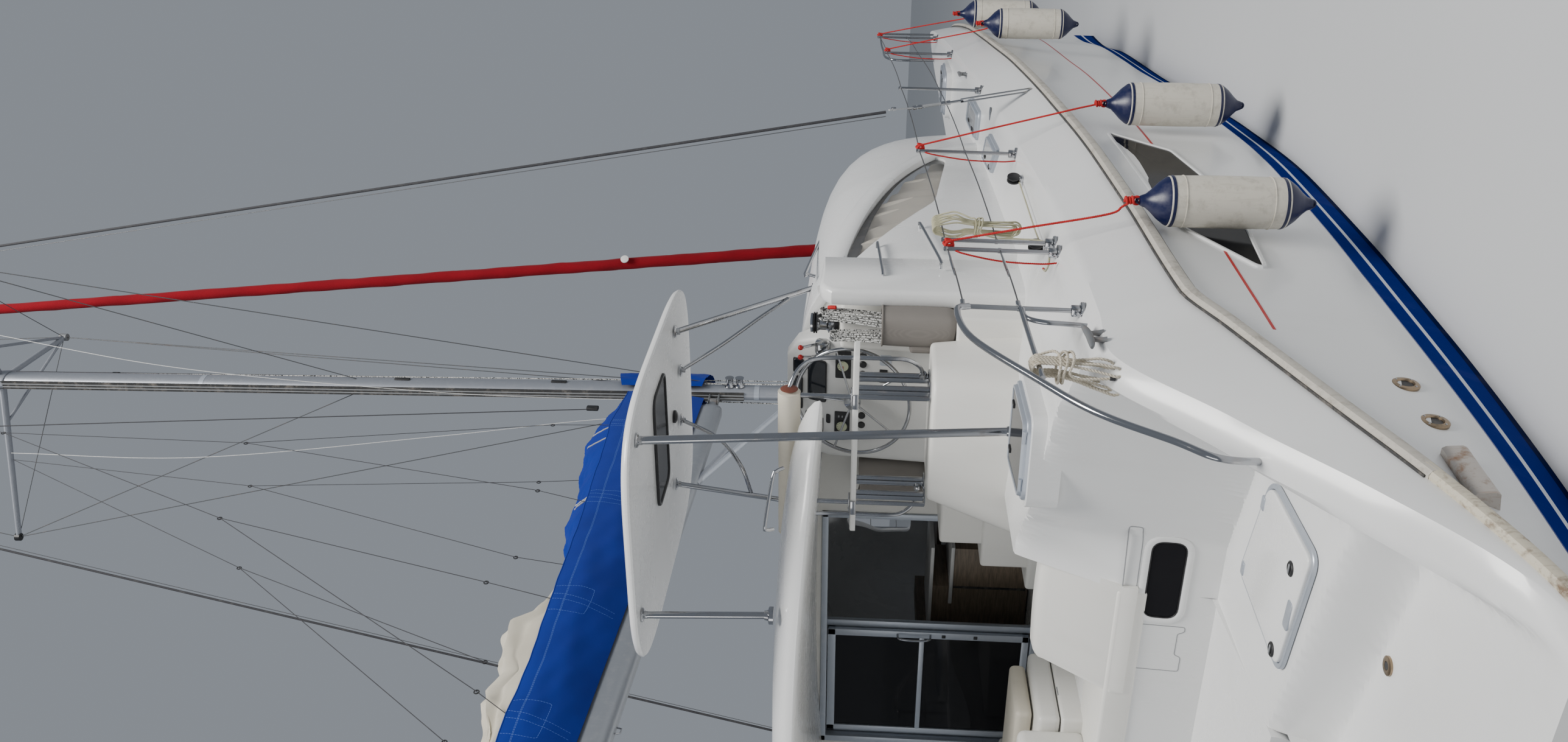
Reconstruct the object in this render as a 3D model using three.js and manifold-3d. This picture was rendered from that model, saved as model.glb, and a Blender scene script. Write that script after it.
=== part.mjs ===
// Cruising sailing catamaran, 13 m long, twin rudders, raised helm to starboard.
// Lengths in mm. x is counted from the stern in the tables (station), y to port, z up
// from the waterline; the whole yacht is then moved so that the origin is amidships.
import * as THREE from 'three';
import Module from 'manifold-3d';
import { mergeVertices } from 'three/addons/utils/BufferGeometryUtils.js';

const wasm = await Module();
wasm.setup();

// Driving dimensions.
const ORIGIN_STATION = 6490;
const GAP = 0.3;
const HULL_INNER_Y = 1750;
const BEACH = { step: 1440, riser: 2545, lowZ: 520, highZ: 780 };
const FLOOR_Z = 1300;
const BULKHEAD_X = 4950;
const ROOF = { z: 2950.3 };
const MAST = { x: 8100, footZ: 3190, topZ: 20700, rake: 0.0319, chord: 230, width: 150 };
const HOUNDS_Z = 19600;
const SPREADER_Z = 11560;
const BOOM = { gooseX: 7900, z: 4420, length: 5650, deep: 250, wide: 150, fall: 0.045 };
const HARDTOP_Z = 4020;
const WHEEL = { x: 4600, y: -1780, z: 2780, radius: 400, rake: 12 };
const CROSSBEAM_X = 12480;
const CHAINPLATE = { x: 6585, y: 3462, z: 1540 };
const RUDDER = { x: 1180, y: 2570, stockTop: -323.9 };
const DRIVE = { x: 2640, y: 2570 };

// Colours.
const finish = (color, roughness, metalness = 0) => ({ color, roughness, metalness });
const GELCOAT = finish(0xdcdcda, 0.35);
const GELCOAT_WARM = finish(0xd6d2c8, 0.45);
const ANTIFOUL = finish(0x1b2f63, 0.85);
const STAINLESS = finish(0xb4b6b8, 0.22, 0.95);
const ALUMINIUM = finish(0x9a9ea2, 0.45, 0.7);
const DARK_GLASS = finish(0x1b2024, 0.1);
const BLUE_CLOTH = finish(0x0f3f9c, 0.9);
const RED_CLOTH = finish(0x8c1424, 0.9);
const SAILCLOTH = finish(0xd9d5c6, 0.85);
const RUBBER_WHITE = finish(0xcfc9ba, 0.6);
const CREAM_VINYL = finish(0xd8cfb6, 0.6);
const TAUPE_MESH = finish(0x8a8378, 0.9);
const OAK = finish(0x8b7256, 0.6);
const CONSOLE = finish(0xdadad6, 0.5);
const BLACK_WIRE = finish(0x1c1d20, 0.6);
const BRONZE = finish(0xa07c4a, 0.35, 0.9);
const CAST_GREY = finish(0x6f7478, 0.6, 0.5);
const NETTING = finish(0x2a2b2d, 0.95);

// Geometry helpers.
const V = (x, y, z) => new THREE.Vector3(x, y, z);

function fromTriangles(points, faces) {
  let volume = 0;
  for (const [a, b, c] of faces) {
    volume += points[a].dot(points[b].clone().cross(points[c])) / 6;
  }
  const index = faces.flatMap(([a, b, c]) => (volume < 0 ? [a, c, b] : [a, b, c]));
  const geometry = new THREE.BufferGeometry();
  geometry.setAttribute('position', new THREE.Float32BufferAttribute(
    points.flatMap((p) => [p.x, p.y, p.z]), 3));
  geometry.setIndex(index);
  return geometry;
}

// Skin through rings of equal count, closed by caps triangulated in the plane (a, b).
function loft(rings, a = 'y', b = 'z') {
  const n = rings[0].length;
  const points = rings.flat();
  const faces = [];
  for (let r = 0; r + 1 < rings.length; r += 1) {
    for (let i = 0; i < n; i += 1) {
      const j = (i + 1) % n;
      faces.push([r * n + i, r * n + j, (r + 1) * n + j]);
      faces.push([r * n + i, (r + 1) * n + j, (r + 1) * n + i]);
    }
  }
  const area = (ps) => THREE.ShapeUtils.area(ps);
  const cap = (ring, offset, last) => {
    const flat = ring.map((p) => new THREE.Vector2(p[a], p[b]));
    const way = Math.sign(area(flat));
    for (const [p, q, s] of THREE.ShapeUtils.triangulateShape(flat, [])) {
      const same = Math.sign(area([flat[p], flat[q], flat[s]])) === way;
      const [u, v, w] = [offset + p, offset + q, offset + s];
      faces.push(same === last ? [u, v, w] : [u, w, v]);
    }
  };
  cap(rings[0], 0, false);
  cap(rings[rings.length - 1], (rings.length - 1) * n, true);
  return fromTriangles(points, faces);
}

const shape = (outline) => new THREE.Shape(outline.map(([a, b]) => new THREE.Vector2(a, b)));
const extrude = (outline, depth) => new THREE.ExtrudeGeometry(shape(outline),
  { depth, bevelEnabled: false, steps: 1 });
// Outline in (x, y) standing from z0 to z1; in (x, z) from y0 to y1; in (y, z) from x0 to x1.
const slabZ = (outline, z0, z1) => extrude(outline, z1 - z0).translate(0, 0, z0);
const slabY = (outline, y0, y1) => extrude(outline, y1 - y0).rotateX(Math.PI / 2).translate(0, y1, 0);
const slabX = (outline, x0, x1) => extrude(outline, x1 - x0)
  .applyMatrix4(new THREE.Matrix4().makeBasis(V(0, 1, 0), V(0, 0, 1), V(1, 0, 0))).translate(x0, 0, 0);
const box = (x0, x1, y0, y1, z0, z1) => new THREE.BoxGeometry(x1 - x0, y1 - y0, z1 - z0)
  .translate((x0 + x1) / 2, (y0 + y1) / 2, (z0 + z1) / 2);

function rod(a, b, radius, endRadius = radius, sides = 8) {
  const along = b.clone().sub(a);
  const g = new THREE.CylinderGeometry(endRadius, radius, along.length(), sides);
  g.applyQuaternion(new THREE.Quaternion().setFromUnitVectors(V(0, 1, 0), along.clone().normalize()));
  return g.translate((a.x + b.x) / 2, (a.y + b.y) / 2, (a.z + b.z) / 2);
}

const ngon = (rx, ry, sides) => shape(Array.from({ length: sides }, (_, i) => {
  const t = (2 * Math.PI * (i + 0.5)) / sides;
  return [rx * Math.cos(t), ry * Math.sin(t)];
}));

function tube(points, radius, steps = 16, sides = 6, closed = false, flat = 1) {
  const path = new THREE.CatmullRomCurve3(points, closed, 'centripetal');
  return new THREE.ExtrudeGeometry(ngon(radius, radius * flat, sides),
    { steps, extrudePath: path, bevelEnabled: false });
}

// A solid of revolution about +Z from [radius, z] pairs that start and end on the axis.
const turned = (profile, sides = 12) => new THREE.LatheGeometry(
  profile.map(([r, z]) => new THREE.Vector2(r, z)), sides).rotateX(Math.PI / 2);

function solid(geometry) {
  const g = geometry.clone();
  g.deleteAttribute('normal');
  g.deleteAttribute('uv');
  const m = mergeVertices(g, 1e-3);
  return new wasm.Manifold(new wasm.Mesh({
    numProp: 3,
    vertProperties: new Float32Array(m.attributes.position.array),
    triVerts: new Uint32Array(m.index.array),
  }));
}

function skin(manifold) {
  const m = manifold.getMesh();
  const geometry = new THREE.BufferGeometry();
  geometry.setAttribute('position', new THREE.Float32BufferAttribute(m.vertProperties, 3));
  geometry.setIndex(Array.from(m.triVerts));
  return geometry;
}

const unite = (...parts) => skin(parts.map(solid).reduce((a, b) => a.add(b)));
const cut = (body, ...tools) => skin(tools.map(solid).reduce((a, b) => a.subtract(b), solid(body)));
const common = (a, b) => skin(solid(a).intersect(solid(b)));

function mirrored(geometry) {
  const g = geometry.clone().scale(1, -1, 1);
  const flat = g.index ? g : mergeVertices(g);
  const index = Array.from(flat.index.array);
  for (let i = 0; i < index.length; i += 3) [index[i + 1], index[i + 2]] = [index[i + 2], index[i + 1]];
  flat.setIndex(index);
  return flat;
}

const yacht = new THREE.Group();
yacht.name = 'sailing_catamaran';
const afloat = new THREE.Group();
afloat.name = 'from_stern';
afloat.position.x = -ORIGIN_STATION;
yacht.add(afloat);

function add(name, geometry, look) {
  const g = geometry.clone();
  g.deleteAttribute('uv');
  g.computeVertexNormals();
  const mesh = new THREE.Mesh(g, new THREE.MeshStandardMaterial(look));
  mesh.name = name;
  afloat.add(mesh);
}

// Piece drawn on the starboard side (y negative) and its mirror to port.
function pair(name, geometry, look) {
  add(`${name}_starboard`, geometry, look);
  add(`${name}_port`, mirrored(geometry), look);
}

const mastX = (z) => MAST.x - (z - MAST.footZ) * MAST.rake;

// Hulls.
// station, middle, keel z, waterline out, in, chine out, in, chine z, rail y, z,
// edge y, z, top outer y, z, top middle y, z, inner y, z, inner low y, z
const HULL_ROWS = [
  [100, 2540, -30, 3080, 2000, 3290, 1870, 230, 3390, 390, 3385, 430, 3280, 515, 2900, 518, 1750, 520,
    1750, 400],
  [400, 2550, -120, 3150, 1960, 3330, 1830, 300, 3440, 455, 3430, 520, 3300, 568, 2900, 570, 1750, 572,
    1750, 480],
  [900, 2570, -260, 3240, 1900, 3400, 1790, 340, 3490, 625, 3460, 860, 3300, 905, 2900, 906, 1750, 907,
    1750, 700],
  [1430, 2580, -370, 3310, 1850, 3450, 1770, 350, 3525, 840, 3440, 1210, 3300, 1264, 2900, 1266, 1750,
    1268, 1750, 700],
  [2100, 2590, -460, 3370, 1790, 3480, 1755, 350, 3560, 1095, 3440, 1625, 3290, 1690, 2950, 1740, 1750,
    1800, 1750, 700],
  [2420, 2590, -490, 3390, 1770, 3490, 1752, 350, 3580, 1220, 3460, 1610, 3250, 1680, 2980, 1765, 1750,
    1830, 1750, 700],
  [3600, 2590, -560, 3440, 1745, 3530, 1752, 350, 3590, 1270, 3430, 1605, 3240, 1680, 2950, 1765, 1750,
    1830, 1750, 700],
  [4500, 2590, -590, 3450, 1740, 3540, 1752, 350, 3590, 1315, 3400, 1640, 3240, 1672, 2800, 1690, 1750,
    1700, 1750, 700],
  [6000, 2580, -605, 3355, 1800, 3450, 1760, 350, 3545, 1410, 3320, 1700, 3180, 1725, 2780, 1740, 1750,
    1750, 1750, 700],
  [7500, 2570, -600, 3190, 1960, 3300, 1850, 350, 3450, 1500, 3220, 1768, 3080, 1790, 2700, 1805, 1750,
    1815, 1750, 700],
  [8900, 2570, -575, 3025, 2110, 3130, 2000, 350, 3300, 1570, 3110, 1832, 2980, 1852, 2500, 1865, 1750,
    1870, 1750, 700],
  [9650, 2570, -550, 2950, 2190, 3050, 2080, 350, 3210, 1600, 3040, 1863, 2920, 1883, 2500, 1893, 1960,
    1890, 2050, 700],
  [10900, 2570, -500, 2820, 2320, 2900, 2230, 350, 3050, 1655, 2910, 1922, 2810, 1938, 2570, 1945, 2190,
    1940, 2215, 900],
  [12200, 2570, -400, 2620, 2520, 2680, 2460, 350, 2820, 1710, 2740, 1980, 2690, 1990, 2570, 1995, 2370,
    1990, 2440, 900],
  [12750, 2570, -300, 2582, 2558, 2602, 2538, 350, 2690, 1735, 2650, 2000, 2620, 2008, 2570, 2012, 2490,
    2008, 2530, 900],
  [12950, 2570, -160, 2574, 2566, 2580, 2560, 350, 2602, 1745, 2600, 2005, 2592, 2012, 2570, 2015, 2545,
    2010, 2556, 900],
];

function hullRing(row) {
  const [x, mid, keel, wo, wi, co, ci, cz, ry, rz, ey, ez, ty, tz, my, mz, iy, iz, ly, lz] = row;
  return [
    [mid, keel], [mid + 0.5 * (wo - mid), keel * 0.86], [mid + 0.86 * (wo - mid), keel * 0.45],
    [wo, 0], [co, cz], [ry, rz], [ey, ez], [ty, tz], [my, mz], [iy, iz], [ly, lz], [ci, cz],
    [wi, 0], [mid - 0.86 * (mid - wi), keel * 0.45], [mid - 0.5 * (mid - wi), keel * 0.86],
  ].map(([y, z]) => V(x, -y, z));
}

// Space above the two stern levels, open aft and inboard, with the sloping inside of the wing.
function sternWell() {
  const profile = [[-400, BEACH.lowZ], [BEACH.step - 60, BEACH.lowZ], [BEACH.step + 40, BEACH.highZ],
    [BEACH.riser, BEACH.highZ], [BEACH.riser - 15, 1285], [2450, 1700], [2450, 2600], [-400, 2600]];
  const wedgeRing = (z) => {
    const flare = (z - 520) * 0.48;
    return [V(-500, 100, z), V(-500, -3560 - flare, z), V(500, -3240 - flare, z),
      V(2200, -2690 - flare, z), V(3200, -2360 - flare, z), V(3200, 100, z)];
  };
  return common(slabY(profile, -4600, 50), loft([wedgeRing(400), wedgeRing(2700)], 'x', 'y'));
}

const engineBay = box(1545, 2230, -2760, -2130, 90, 900);
const hatchPlinth = box(2480, 3150, -2810, -2200, 1600, 1850);
const foreHatchPlinth = box(9880, 10520, -2790, -2350, 1800, 1950);
const chainBoss = box(CHAINPLATE.x - 45, CHAINPLATE.x + 45, -CHAINPLATE.y - 25, -CHAINPLATE.y + 60, 1420,
  CHAINPLATE.z);
pair('hull', cut(unite(loft(HULL_ROWS.map(hullRing)), hatchPlinth, foreHatchPlinth, chainBoss),
  sternWell(), engineBay), GELCOAT);

const keelRing = (aft, fore, half, z) => [V(aft, -2570, z), V(aft + 350, -2570 + half, z),
  V(fore - 650, -2570 + half, z), V(fore, -2570, z), V(fore - 650, -2570 - half, z),
  V(aft + 350, -2570 - half, z)];
const hullBody = loft(HULL_ROWS.map(hullRing));
const hullBelow = hullBody.clone().translate(0, 0, -GAP);
pair('keel', cut(loft([keelRing(4850, 6950, 80, -500), keelRing(5050, 6700, 55, -1270)], 'x', 'y'),
  hullBelow),
  ANTIFOUL);

// Bridgedeck with the cockpit and saloon floor and the foredeck.
add('bridgedeck', slabY([[BEACH.step + 60, 620], [3000, 690], [8700, 740], [9300, 1000], [9480, 1500],
  [9500, 1860], [7250, 1860], [7250, FLOOR_Z], [BEACH.riser, FLOOR_Z],
  [BEACH.riser, BEACH.highZ], [BEACH.step + 60, BEACH.highZ]],
-HULL_INNER_Y + GAP, HULL_INNER_Y - GAP), GELCOAT);

// Cockpit moulding: coamings beside the two gates, bench with its back, side seat to port.
const COCKPIT_Y = HULL_INNER_Y - 2 * GAP;
const coaming = (y0, y1) => slabY([[BEACH.riser + 15, FLOOR_Z + GAP], [2620, FLOOR_Z + GAP + 1], [2850,
  1670],
  [2980, 1690], [3060, 1480], [3080, FLOOR_Z + GAP]], y0, y1);
const bench = box(2950, 3620, -500, COCKPIT_Y, FLOOR_Z + GAP, 1570);
const benchBack = box(2620, 2960, -420, 1055, FLOOR_Z + GAP, 1700);
const sideSeat = box(3500, 4500, 1080, COCKPIT_Y, FLOOR_Z + GAP, 1570);
const cockpitSill = box(BEACH.riser + 20, 3080, -COCKPIT_Y, COCKPIT_Y, FLOOR_Z + GAP, FLOOR_Z + 20);
add('cockpit_moulding', unite(coaming(-COCKPIT_Y, -1050), coaming(1050, COCKPIT_Y), bench, benchBack,
  sideSeat,
  cockpitSill), GELCOAT_WARM);

// Tools that give each seated piece its running gap over the decks.
const hullTight = (dy) => hullBody.clone().translate(0, dy, 0);
const deckTool = hullBody.clone().translate(0, 0, GAP);
const deckToolPort = mirrored(deckTool);
const floorTool = slabY([[BEACH.riser, 900], [9500 + GAP, 900], [9500 + GAP, 1860 + GAP],
  [7250 - GAP, 1860 + GAP], [7250 - GAP, FLOOR_Z + GAP], [BEACH.riser, FLOOR_Z + GAP]],
-HULL_INNER_Y - GAP, HULL_INNER_Y + GAP);
const seated = (geometry, ...more) => cut(geometry, deckTool, deckToolPort, floorTool, ...more);

// Saloon, a full rounded box with a blunt front.
const CABIN_START = 4300;
const roundedFront = (z, half, front, inset, aft) => {
  const port = [];
  const n = 10;
  for (let i = 1; i < n; i += 1) {
    const x = aft + (front - inset - aft) * Math.sin((Math.PI / 2) * (i / n)) ** 0.8;
    const along = (x - CABIN_START) / (front - inset - CABIN_START);
    port.push([x, (half - inset) * (1 - along ** 6) ** 0.11]);
  }
  const outline = [[aft, half - inset], ...port, [front - inset, 0],
    ...port.map(([x, y]) => [x, -y]).reverse(), [aft, -(half - inset)]];
  return outline.map(([x, y]) => V(x, y, z));
};
// level z, half width, front end
const WALL_LEVELS = [[1650, 2750, 8960], [2150, 2740, 8910], [2500, 2705, 8800], [2800, 2630, 8600],
  [2950, 2560, 8420]];
const levelShift = (i, over) => (i === 0 ? -over : i === WALL_LEVELS.length - 1 ? over : 0);
const wallShell = (inset, aft, over = 0) => loft(WALL_LEVELS.map(([z, half, front], i) => roundedFront(
  z + levelShift(i, over), half, front, inset, aft)), 'x', 'y');
const SIDE_WINDOW = [[5060, 2170], [5080, 2850], [5660, 2840], [6450, 2660], [7120, 2330], [7060, 2160],
  [5950, 2090]];
const FRONT_WINDOW = { y0: 350, y1: 2000, z0: 2120, z1: 2850 };
const sideHole = (k) => slabY(SIDE_WINDOW.map(([x, z]) => [6080 + (x - 6080) * k, 2420 + (z - 2420) * k]),
  -3000, -2000);
const frontHole = (d) => box(7600, 9300, -FRONT_WINDOW.y1 + d, -FRONT_WINDOW.y0 - d, FRONT_WINDOW.z0 + d,
  FRONT_WINDOW.z1 - d);
const WALL_START = BULKHEAD_X + 90;
add('saloon_walls', seated(wallShell(0, WALL_START), wallShell(70, WALL_START - 200, 30),
  sideHole(1), mirrored(sideHole(1)), frontHole(0), mirrored(frontHole(0)), hullTight(GAP),
  mirrored(hullTight(GAP))), GELCOAT);
const paneShell = cut(wallShell(22, WALL_START), wallShell(34, WALL_START - 200, 30));
pair('saloon_side_glass', common(paneShell, sideHole(0.9995)), DARK_GLASS);
pair('saloon_front_glass', common(paneShell, frontHole(GAP)), DARK_GLASS);

// Roof over cockpit and saloon, open above the helm.
// station, crown z, edge z
const ROOF_ROWS = [[2600, 3265, 2960], [4200, 3300, 3020], [6200, 3285, 3015], [7600, 3215, 2990], [8700,
  3110, 2975]];
const roofRing = ([x, crown, edge]) => {
  const half = 2700;
  const top = Array.from({ length: 11 }, (_, i) => {
    const y = half - (2 * half * i) / 10;
    return V(x, y, edge + (crown - edge) * (1 - (y / half) ** 2));
  });
  return [V(x, half, ROOF.z), ...top, V(x, -half, ROOF.z)];
};
const AFT_EDGE = [[3310, -2240], [3080, -1950], [2900, -1400], [2790, -700], [2750, 0]];
const roofOutline = () => {
  const front = roundedFront(0, 2600, 8480, 0, 5300).map((p) => [p.x, p.y]);
  return [...AFT_EDGE, ...AFT_EDGE.slice(0, -1).map(([x, y]) => [x, -y]).reverse(),
    [3800, 2420], [4900, 2590], ...front, [BULKHEAD_X + 5, -2590], [BULKHEAD_X + 5, -1225],
    [3640, -1225], [3640, -2240]];
};
const underRoof = slabX([[-1850, 2940], [1850, 2940], [1500, 3000], [800, 3045], [0, 3060], [-800, 3045],
  [-1500, 3000]], 2700, BULKHEAD_X - 80);
const mastStep = box(MAST.x - 190, MAST.x + 190, -150, 150, 3000, MAST.footZ);
add('roof', cut(unite(common(loft(ROOF_ROWS.map(roofRing)), slabZ(roofOutline(), 2900, 3500)), mastStep),
  common(underRoof, slabZ([[3000, -1150], [2900, 0], [3000, 1150], [3500, 1900], [4860, 1900], [4860,
    -1150]],
    2900, 3400)), box(0, 9000, -3000, 3000, 2800, ROOF.z)), GELCOAT);

// Aft bulkhead with its door.
const DOOR = { y0: -650, y1: 1600, z0: 1330, z1: 2920 };
add('aft_bulkhead', cut(seated(slabX([[-2700, 1250], [2700, 1250], [2700, 2500], [2550, ROOF.z - GAP],
  [-2550, ROOF.z - GAP], [-2700, 2500]], BULKHEAD_X, WALL_START - GAP)),
box(4900, 5100, DOOR.y0, DOOR.y1, DOOR.z0, DOOR.z1)), GELCOAT_WARM);
const leaf = (x, y0, y1, play) => cut(box(x, x + 34, y0, y1, DOOR.z0 + play, DOOR.z1 - play),
  box(x - 10, x + 10, y0 + 55, y1 - 55, DOOR.z0 + 60, DOOR.z1 - 60),
  box(x + 24, x + 50, y0 + 55, y1 - 55, DOOR.z0 + 60, DOOR.z1 - 60));
add('fixed_door_pane', leaf(5001, 405, DOOR.y1 - GAP, GAP), DARK_GLASS);
const runner = (y) => box(4965, 4985, y - 30, y + 30, DOOR.z0 + GAP, DOOR.z0 + 20);
add('sliding_door', unite(leaf(4958, 390, DOOR.y1 - 6, 6), runner(480), runner(1350)), DARK_GLASS);

// Saloon fittings seen through the door and windows.
add('galley_cabinet', unite(box(5490, 6100, 20, 800, FLOOR_Z + GAP, 1935), box(5490, 6100, 400, 800,
  1900, 2095),
  box(5470, 6120, 0, 560, 1925, 1955), box(5460, 6120, 390, 830, 2090, 2120)), OAK);
add('saloon_seat_and_table', unite(box(5700, 7150, 1050, 1700, FLOOR_Z + GAP, 1740),
  box(5700, 7150, 1500, 1700, 1700, 2150), box(6250, 7100, 300, 1100, FLOOR_Z + GAP, 1340),
  box(6620, 6780, 500, 640, 1330, 1990), box(6280, 7080, 200, 900, 1980, 2020)), OAK);

// Helm: steps, raised floor, seat block and outer wall.
const helmFloor = 2130;
const seatBlock = loft([
  [V(3440, -2500, 1650), V(4280, -2500, 1650), V(4280, -1410, 1650), V(3560, -1410, 1650)],
  [V(3600, -2470, 2285), V(4200, -2470, 2285), V(4200, -1560, 2285), V(3680, -1560, 2285)],
], 'x', 'y');
const helmSteps = [[-540, 1540], [-700, 1860], [-865, helmFloor]]
  .map(([y, z], i) => box(4260 + i, BULKHEAD_X - GAP, -1400, y, 1200, z));
const helmBase = box(4180, BULKHEAD_X - GAP, -2650, -1200, 1200, helmFloor);
const helmWing = slabY([[4430, 1600], [4430, 2700], [4450, 2900], [4500, 2990], [BULKHEAD_X - GAP, 3000],
  [BULKHEAD_X - GAP, 1600]], -2715, -2630);
add('helm_moulding', seated(unite(seatBlock, helmBase, helmWing, ...helmSteps)), GELCOAT);

const shaft = (d) => V(WHEEL.x + d * Math.cos(THREE.MathUtils.degToRad(WHEEL.rake)), WHEEL.y,
  WHEEL.z - d * Math.sin(THREE.MathUtils.degToRad(WHEEL.rake)));
add('helm_console', unite(rod(shaft(45.4), shaft(200), 38, 55, 12), loft([
  [V(4650, -2210, helmFloor + GAP), V(4944, -2210, helmFloor + GAP), V(4944, -1250, helmFloor + GAP),
    V(4650, -1250, helmFloor + GAP)],
  [V(4720, -2210, 2900), V(4944, -2210, 2900), V(4944, -1250, 2900), V(4720, -1250, 2900)],
  [V(4800, -2080, 3235), V(4944, -2080, 3235), V(4944, -1380, 3235), V(4800, -1380, 3235)],
], 'x', 'y')), CONSOLE);

// Steering wheel, tilted back on its shaft.
function wheelBody() {
  const rim = new THREE.TorusGeometry(WHEEL.radius, 15, 6, 36);
  const spokes = [0, 1, 2, 3, 4].map((i) => {
    const t = (2 * Math.PI * i) / 5 + Math.PI / 2;
    return rod(V(0, 0, 0), V(Math.cos(t) * WHEEL.radius, Math.sin(t) * WHEEL.radius, 0), 9, 9, 6);
  });
  const hub = rod(V(0, 0, -45), V(0, 0, 30), 45, 45, 12);
  return unite(rim, hub, ...spokes)
    .applyMatrix4(new THREE.Matrix4().makeBasis(V(0, -1, 0), V(0, 0, 1), V(-1, 0, 0)))
    .rotateY(THREE.MathUtils.degToRad(WHEEL.rake)).translate(WHEEL.x, WHEEL.y, WHEEL.z);
}
add('steering_wheel', wheelBody(), STAINLESS);

// Helm seat board on its bent tube posts, bolster and rope bag.
const seatTop = 2735;
const BOLSTER = { x: 3745, z: 3155, radius: 78 };
const seatFrames = [-2270, -1620].flatMap((y) => [
  rod(V(BOLSTER.x, y, 2285 + GAP), V(BOLSTER.x, y, BOLSTER.z - BOLSTER.radius - GAP), 24),
  rod(V(4040, y, 2285 + GAP), V(4040, y, seatTop), 24)]);
add('helm_seat', unite(slabZ([[3640, -2560], [4080, -2560], [4120, -2480], [4120, -1300], [4080, -1230],
  [3680, -1230]], seatTop - 1, seatTop + 35), ...seatFrames), GELCOAT);
add('helm_bolster', rod(V(BOLSTER.x, -2310, BOLSTER.z), V(BOLSTER.x, -1262, BOLSTER.z), BOLSTER.radius,
  BOLSTER.radius, 16), CREAM_VINYL);
const bagAt = (out, z) => [V(4226 - out, -2380 + out, z), V(4412, -2380 + out, z), V(4412, -2620, z),
  V(4226 - out, -2620, z)];
add('rope_bag', loft([bagAt(0, helmFloor + GAP), bagAt(15, 2590)], 'x', 'y'), TAUPE_MESH);

// Hardtop over the helm, on posts that end in a flange under it.
const topOutline = (a, b, n = 28) => Array.from({ length: n }, (_, i) => {
  const t = (2 * Math.PI * (i + 0.5)) / n;
  const p = 0.45;
  return [4030 + a * Math.sign(Math.cos(t)) * Math.abs(Math.cos(t)) ** p,
    -1590 + b * Math.sign(Math.sin(t)) * Math.abs(Math.sin(t)) ** p];
});
const topRing = (a, b, z) => topOutline(a, b).map(([x, y]) => V(x, y, z));
add('hardtop', loft([topRing(1195, 885, HARDTOP_Z - 18), topRing(1220, 910, HARDTOP_Z + 6),
  topRing(1170, 860, HARDTOP_Z + 34), topRing(700, 480, HARDTOP_Z + 62)], 'x', 'y'), GELCOAT);
const flangeZ = HARDTOP_Z - 18 - GAP;
const flange = cut(slabZ(topOutline(1110, 760, 20), flangeZ - 12, flangeZ),
  slabZ(topOutline(860, 420, 20), flangeZ - 30, flangeZ + 20));
const posts = [
  tube([V(3240, -2345, 1650), V(3190, -2240, 2600), V(3160, -2190, 3000), V(3147, -2200, flangeZ - 6)],
    25, 14),
  rod(V(3010, -1150, 3150), V(2990, -1130, flangeZ - 6), 22),
  rod(V(4450, -1050, 3150), V(4410, -1180, flangeZ - 6), 19),
  tube([V(4450, -1078, 3470), V(4450, -1330, 3550), V(4600, -1300, 3720), V(4730, -1180, flangeZ - 6)],
    14, 10),
  rod(V(5520, -2250, 3000), V(4643, -2230, flangeZ - 6), 20),
  tube([V(5287, -2243, 3250), V(5100, -2160, 3500), V(4900, -2100, flangeZ - 6)], 14, 10),
];
const roofSkin = common(loft(ROOF_ROWS.map(([x, c, e]) => roofRing([x, c + GAP, e + GAP]))),
  slabZ(roofOutline(), 2800, 3500));
add('hardtop_frame', cut(unite(...posts, flange), roofSkin, deckTool,
  box(2000, 6000, -3000, 0, flangeZ, HARDTOP_Z + 100)), STAINLESS);

// Mast.
const mastSection = (k = 1) => Array.from({ length: 14 }, (_, i) => {
  const t = (2 * Math.PI * (i + 0.5)) / 14;
  return [Math.cos(t) * MAST.chord * 0.5 * k, Math.sin(t) * MAST.width * 0.5 * k];
});
const mastRing = (z, k = 1) => mastSection(k).map(([x, y]) => V(mastX(z) + x, y, z));
const boomZ = (x) => BOOM.z - 230 + (BOOM.gooseX - x) * BOOM.fall;
const GOOSE = V(BOOM.gooseX - 60, 0, boomZ(BOOM.gooseX - 60));
const alongMast = (p, d) => V(p.x - d * MAST.rake, p.y, p.z + d);
const tang = (d) => box(-30, mastX(GOOSE.z) - 40 - GOOSE.x, -32, 32, d - 7, d + 7)
  .rotateY(-Math.atan(MAST.rake)).translate(GOOSE.x, GOOSE.y, GOOSE.z);
add('mast', unite(loft([mastRing(MAST.footZ + GAP), mastRing(17200), mastRing(MAST.topZ, 0.72)], 'x', 'y'),
  tang(45 + GAP), tang(-45 - GAP), box(mastX(HOUNDS_Z) - 60, mastX(HOUNDS_Z) + 20, -120, 120,
    HOUNDS_Z - 60 + GAP, HOUNDS_Z)), ALUMINIUM);

const collarCut = loft([mastRing(SPREADER_Z - 400, 1.004), mastRing(SPREADER_Z + 400, 1.004)], 'x', 'y');
const collar = loft([mastRing(SPREADER_Z - 90, 1.16), mastRing(SPREADER_Z + 90, 1.16)], 'x', 'y');
const tip = V(7250, -1540, SPREADER_Z - 120);
const root = V(mastX(SPREADER_Z) - 10, -60, SPREADER_Z);
const strutTip = V(8862, 0, SPREADER_Z - 45);
add('spreaders', cut(unite(collar,
  rod(root, tip, 46, 34), rod(V(root.x, 60, root.z), V(tip.x, -tip.y, tip.z), 46, 34),
  rod(V(mastX(SPREADER_Z), 0, SPREADER_Z), strutTip, 32, 26),
  rod(V(7700, -420, SPREADER_Z - 30), strutTip, 16), rod(V(7700, 420, SPREADER_Z - 30), strutTip, 16),
  turned([[0, -40], [42, -40], [42, 40], [0, 40]], 10).translate(strutTip.x, 0, strutTip.z)), collarCut),
    ALUMINIUM);

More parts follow.
